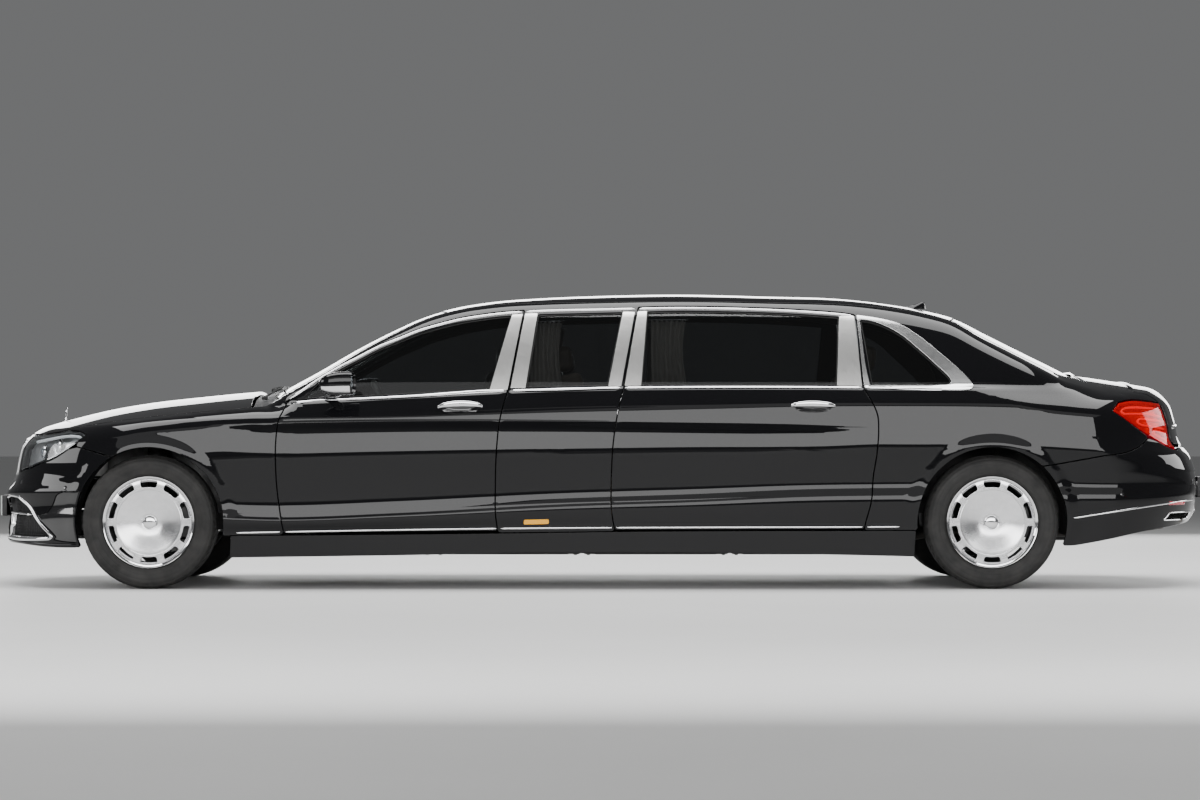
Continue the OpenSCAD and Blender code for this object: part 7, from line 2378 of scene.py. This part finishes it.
# exhaust
ex = []
for s_ in (-1, 1):
    ex.append(tube(curve3([(-1690, s_ * 62, 240), (-1100, s_ * 62, 240), (-520, s_ * 62, 240)], 12), 26, 20))
    ex.append(tube(curve3([(110, s_ * 62, 240), (900, s_ * 62, 240), (1580, s_ * 64, 241), (1690, s_ * 120, 258), (1780, s_ * 192, 276), (1900, s_ * 200, 278), (2130, s_ * 200, 278),
                           (2240, s_ * 224, 279), (2340, s_ * 318, 281), (2470, s_ * 400, 286), (2590, s_ * 452, 296), (2700, s_ * 460, 304)], 70), 26, 20))
    mid = []
    for x, k in ((-536, 0.45), (-520, 0.62), (-470, 0.9), (-430, 1.0), (20, 1.0), (60, 0.9), (110, 0.62), (126, 0.45)):
        t = np.linspace(0, 2 * math.pi, 36, endpoint=False)
        c_, n_ = np.cos(t), np.sin(t)
        q = np.stack([np.sign(c_) * np.abs(c_) ** 0.6 * 45 * k, np.sign(n_) * np.abs(n_) ** 0.6 * 44 * k], 1)
        mid.append(np.stack([np.full(36, x), s_ * 62 + q[:, 0], 240 + q[:, 1]], 1))
    ex.append(outward(loft(np.array(mid), True, False)))
    can = []
    for x, k, zc, h in ((2684, 0.72, 306, 42), (2694, 0.94, 306, 43), (2712, 1.0, 307, 43), (2716, 0.97, 307, 43), (2722, 1.0, 307, 43),
                        (2960, 1.0, 326, 24), (2966, 0.97, 326, 24), (2972, 1.0, 327, 24), (2990, 0.94, 328, 23), (3000, 0.72, 328, 22)):
        t = np.linspace(0, 2 * math.pi, 48, endpoint=False)
        c_, n_ = np.cos(t), np.sin(t)
        q = np.stack([np.sign(c_) * np.abs(c_) ** 0.55 * 138 * k, np.sign(n_) * np.abs(n_) ** 0.7 * h * k], 1)
        can.append(np.stack([np.full(48, x), s_ * 460 + q[:, 0], zc + q[:, 1]], 1))
    ex.append(outward(loft(np.array(can), True, False)))
    tip = [(2996, 22, 334), (3040, 24, 342), (3086, 25, 358), (3088, 24, 358), (3086, 22, 358), (3040, 19, 342)]
    rows = []
    for x, r_, zc in tip:
        t = np.linspace(0, 2 * math.pi, 30, endpoint=False)
        rows.append(np.stack([np.full(30, x), s_ * 560 + r_ * 1.6 * np.cos(t), zc + r_ * 0.62 * np.sin(t)], 1))
    ex.append(outward(loft(np.array(rows), True, False)))
piece("exhaust_run", join(*ex), ["exhaust_steel"], replaces="exhaust")

# ---- small things outside ----
def on_top(pts, lift):
    q = ALL_TOP.point(np.array(pts, float))
    return q + normal(q) * lift


for k_, (y0, y1, px, py) in enumerate(((-640, -60, -1799, -600), (-10, 560, -1801, -30))):
    ys_ = np.linspace(y0, y1, 20)
    xs_ = -1733 + 60 * (ys_ / 720) ** 2
    blade = tube(on_top(np.stack([xs_, ys_], 1), 9), 5.0, 8)
    spine = tube(on_top(np.stack([xs_ + 2, ys_], 1), 15), 3.5, 8)
    mid_ = (xs_[10], ys_[10])
    arm_ = tube(np.vstack([on_top([(px, py)], 12), on_top([(px + 30, py + 60)], 20), on_top([(mid_[0] - 20, mid_[1] - 120)], 22), on_top([mid_], 19)]), 6, 10)
    pv = on_top([(px, py)], -6)[0]
    piece("wiper_%d" % k_, join(blade, spine, arm_, lathe([(0, 0), (16, 0), (16, 16), (12, 20), (0, 21)], 24, (pv[0], pv[1], pv[2]), "Z")), ["rubber"])
fin = []
for f in np.linspace(0, 1, 12):
    z = 1500 + 38 * f
    xf_, xb = 1632 + 118 * f ** 0.8, 1776 - 8 * f
    n = 24
    t = np.linspace(0, 2 * math.pi, n, endpoint=False)
    u = 0.5 - 0.5 * np.cos(t)
    w = (24 * (1 - f) ** 0.7 + 3) * np.sin(t) * (0.35 + 0.65 * u ** 0.5)
    fin.append(np.stack([xf_ + (xb - xf_) * u, w, np.full(n, z)], 1))
piece("roof_aerial", loft(np.array(fin), True, False), ["paint"])
# fuel flap, right side
flap = skin(SIDE, SIDE.side(circle(82, 40) * [1, 1] + [2250, 880]), [], GRID, t=3, sink=-0.6, edge=1.2, drop=0.5)
piece("fuel_flap", flap.mirrored(), ["paint", "jamb"])
piece("fuel_flap_gap", surface_strip(SIDE, SIDE.side(circle(84, 48) + [2250, 880]), 3.0, 0.35, base=-2, closed=True, k=4).mirrored(), ["rubber"])

# ---- better surfaces on the construction's own nodes that stay in sight ----
STAY = {"underbody": "underbody", "chassis": "chassis", "steel": "steel", "exhaust_steel": "exhaust_steel", "engine_block": "engine_block",
        "black_plastic": "black_plastic", "black_leather": "black_leather", "cabin_leather": "cabin_leather", "trim": "door_trim"}
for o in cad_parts.values():
    for k_, sl in enumerate(o.material_slots):
        key = sl.material.name.split(".")[0] if sl.material else ""
        if key in STAY:
            sl.material = MATS[STAY[key]]


# ---- floor, lights ----
def stage():
    bm = bmesh.new()
    bmesh.ops.create_circle(bm, cap_ends=True, segments=96, radius=120)
    me = bpy.data.meshes.new("floor")
    bm.to_mesh(me)
    bm.free()
    ob = bpy.data.objects.new("floor", me)
    m, nt, out = nodes_of("floor")
    p = nt.nodes.new("ShaderNodeBsdfPrincipled")
    p.inputs["Roughness"].default_value = 0.62
    p.inputs["Specular IOR Level"].default_value = 0.25
    nt.links.new(two_colours(nt, noise(nt, 0.6, 4), (0.60, 0.60, 0.595), (0.63, 0.63, 0.625)), p.inputs["Base Color"])
    nt.links.new(p.outputs["BSDF"], out.inputs["Surface"])
    me.materials.append(m)
    scene.collection.objects.link(ob)


stage()
world = bpy.data.worlds.new("studio")
world.use_nodes = True
bg = world.node_tree.nodes["Background"]
bg.inputs["Color"].default_value = (0.80, 0.81, 0.82, 1)
bg.inputs["Strength"].default_value = 0.2
scene.world = world


def softbox(name, at, look, size, power, spread=180, colour=(1, 1, 1)):
    d = bpy.data.lights.new(name, "AREA")
    d.shape = "RECTANGLE"
    d.size, d.size_y = size
    d.energy = power
    d.color = colour
    d.spread = math.radians(spread)
    o = bpy.data.objects.new(name, d)
    o.location = at
    v = Vector(look) - Vector(at)
    o.rotation_euler = v.to_track_quat("-Z", "Y").to_euler()
    o.visible_camera = False
    scene.collection.objects.link(o)
    return o


softbox("top_box", (0, 0, 7.0), (0, 0, 0), (11, 4.5), 1150)
softbox("left_strip", (0, -9.0, 2.5), (0, 0, 0.9), (13, 2.6), 640)
softbox("right_strip", (0, 9.0, 2.5), (0, 0, 0.9), (13, 2.6), 640)
softbox("front_floor_box", (0, -15.5, 9.0), (0, -13.5, 0), (26, 7), 520)
softbox("nose_box", (-11, -2.0, 3.2), (-2.5, 0, 0.6), (5, 2.4), 260)
softbox("tail_box", (11, 2.0, 3.2), (2.5, 0, 0.6), (5, 2.4), 260)
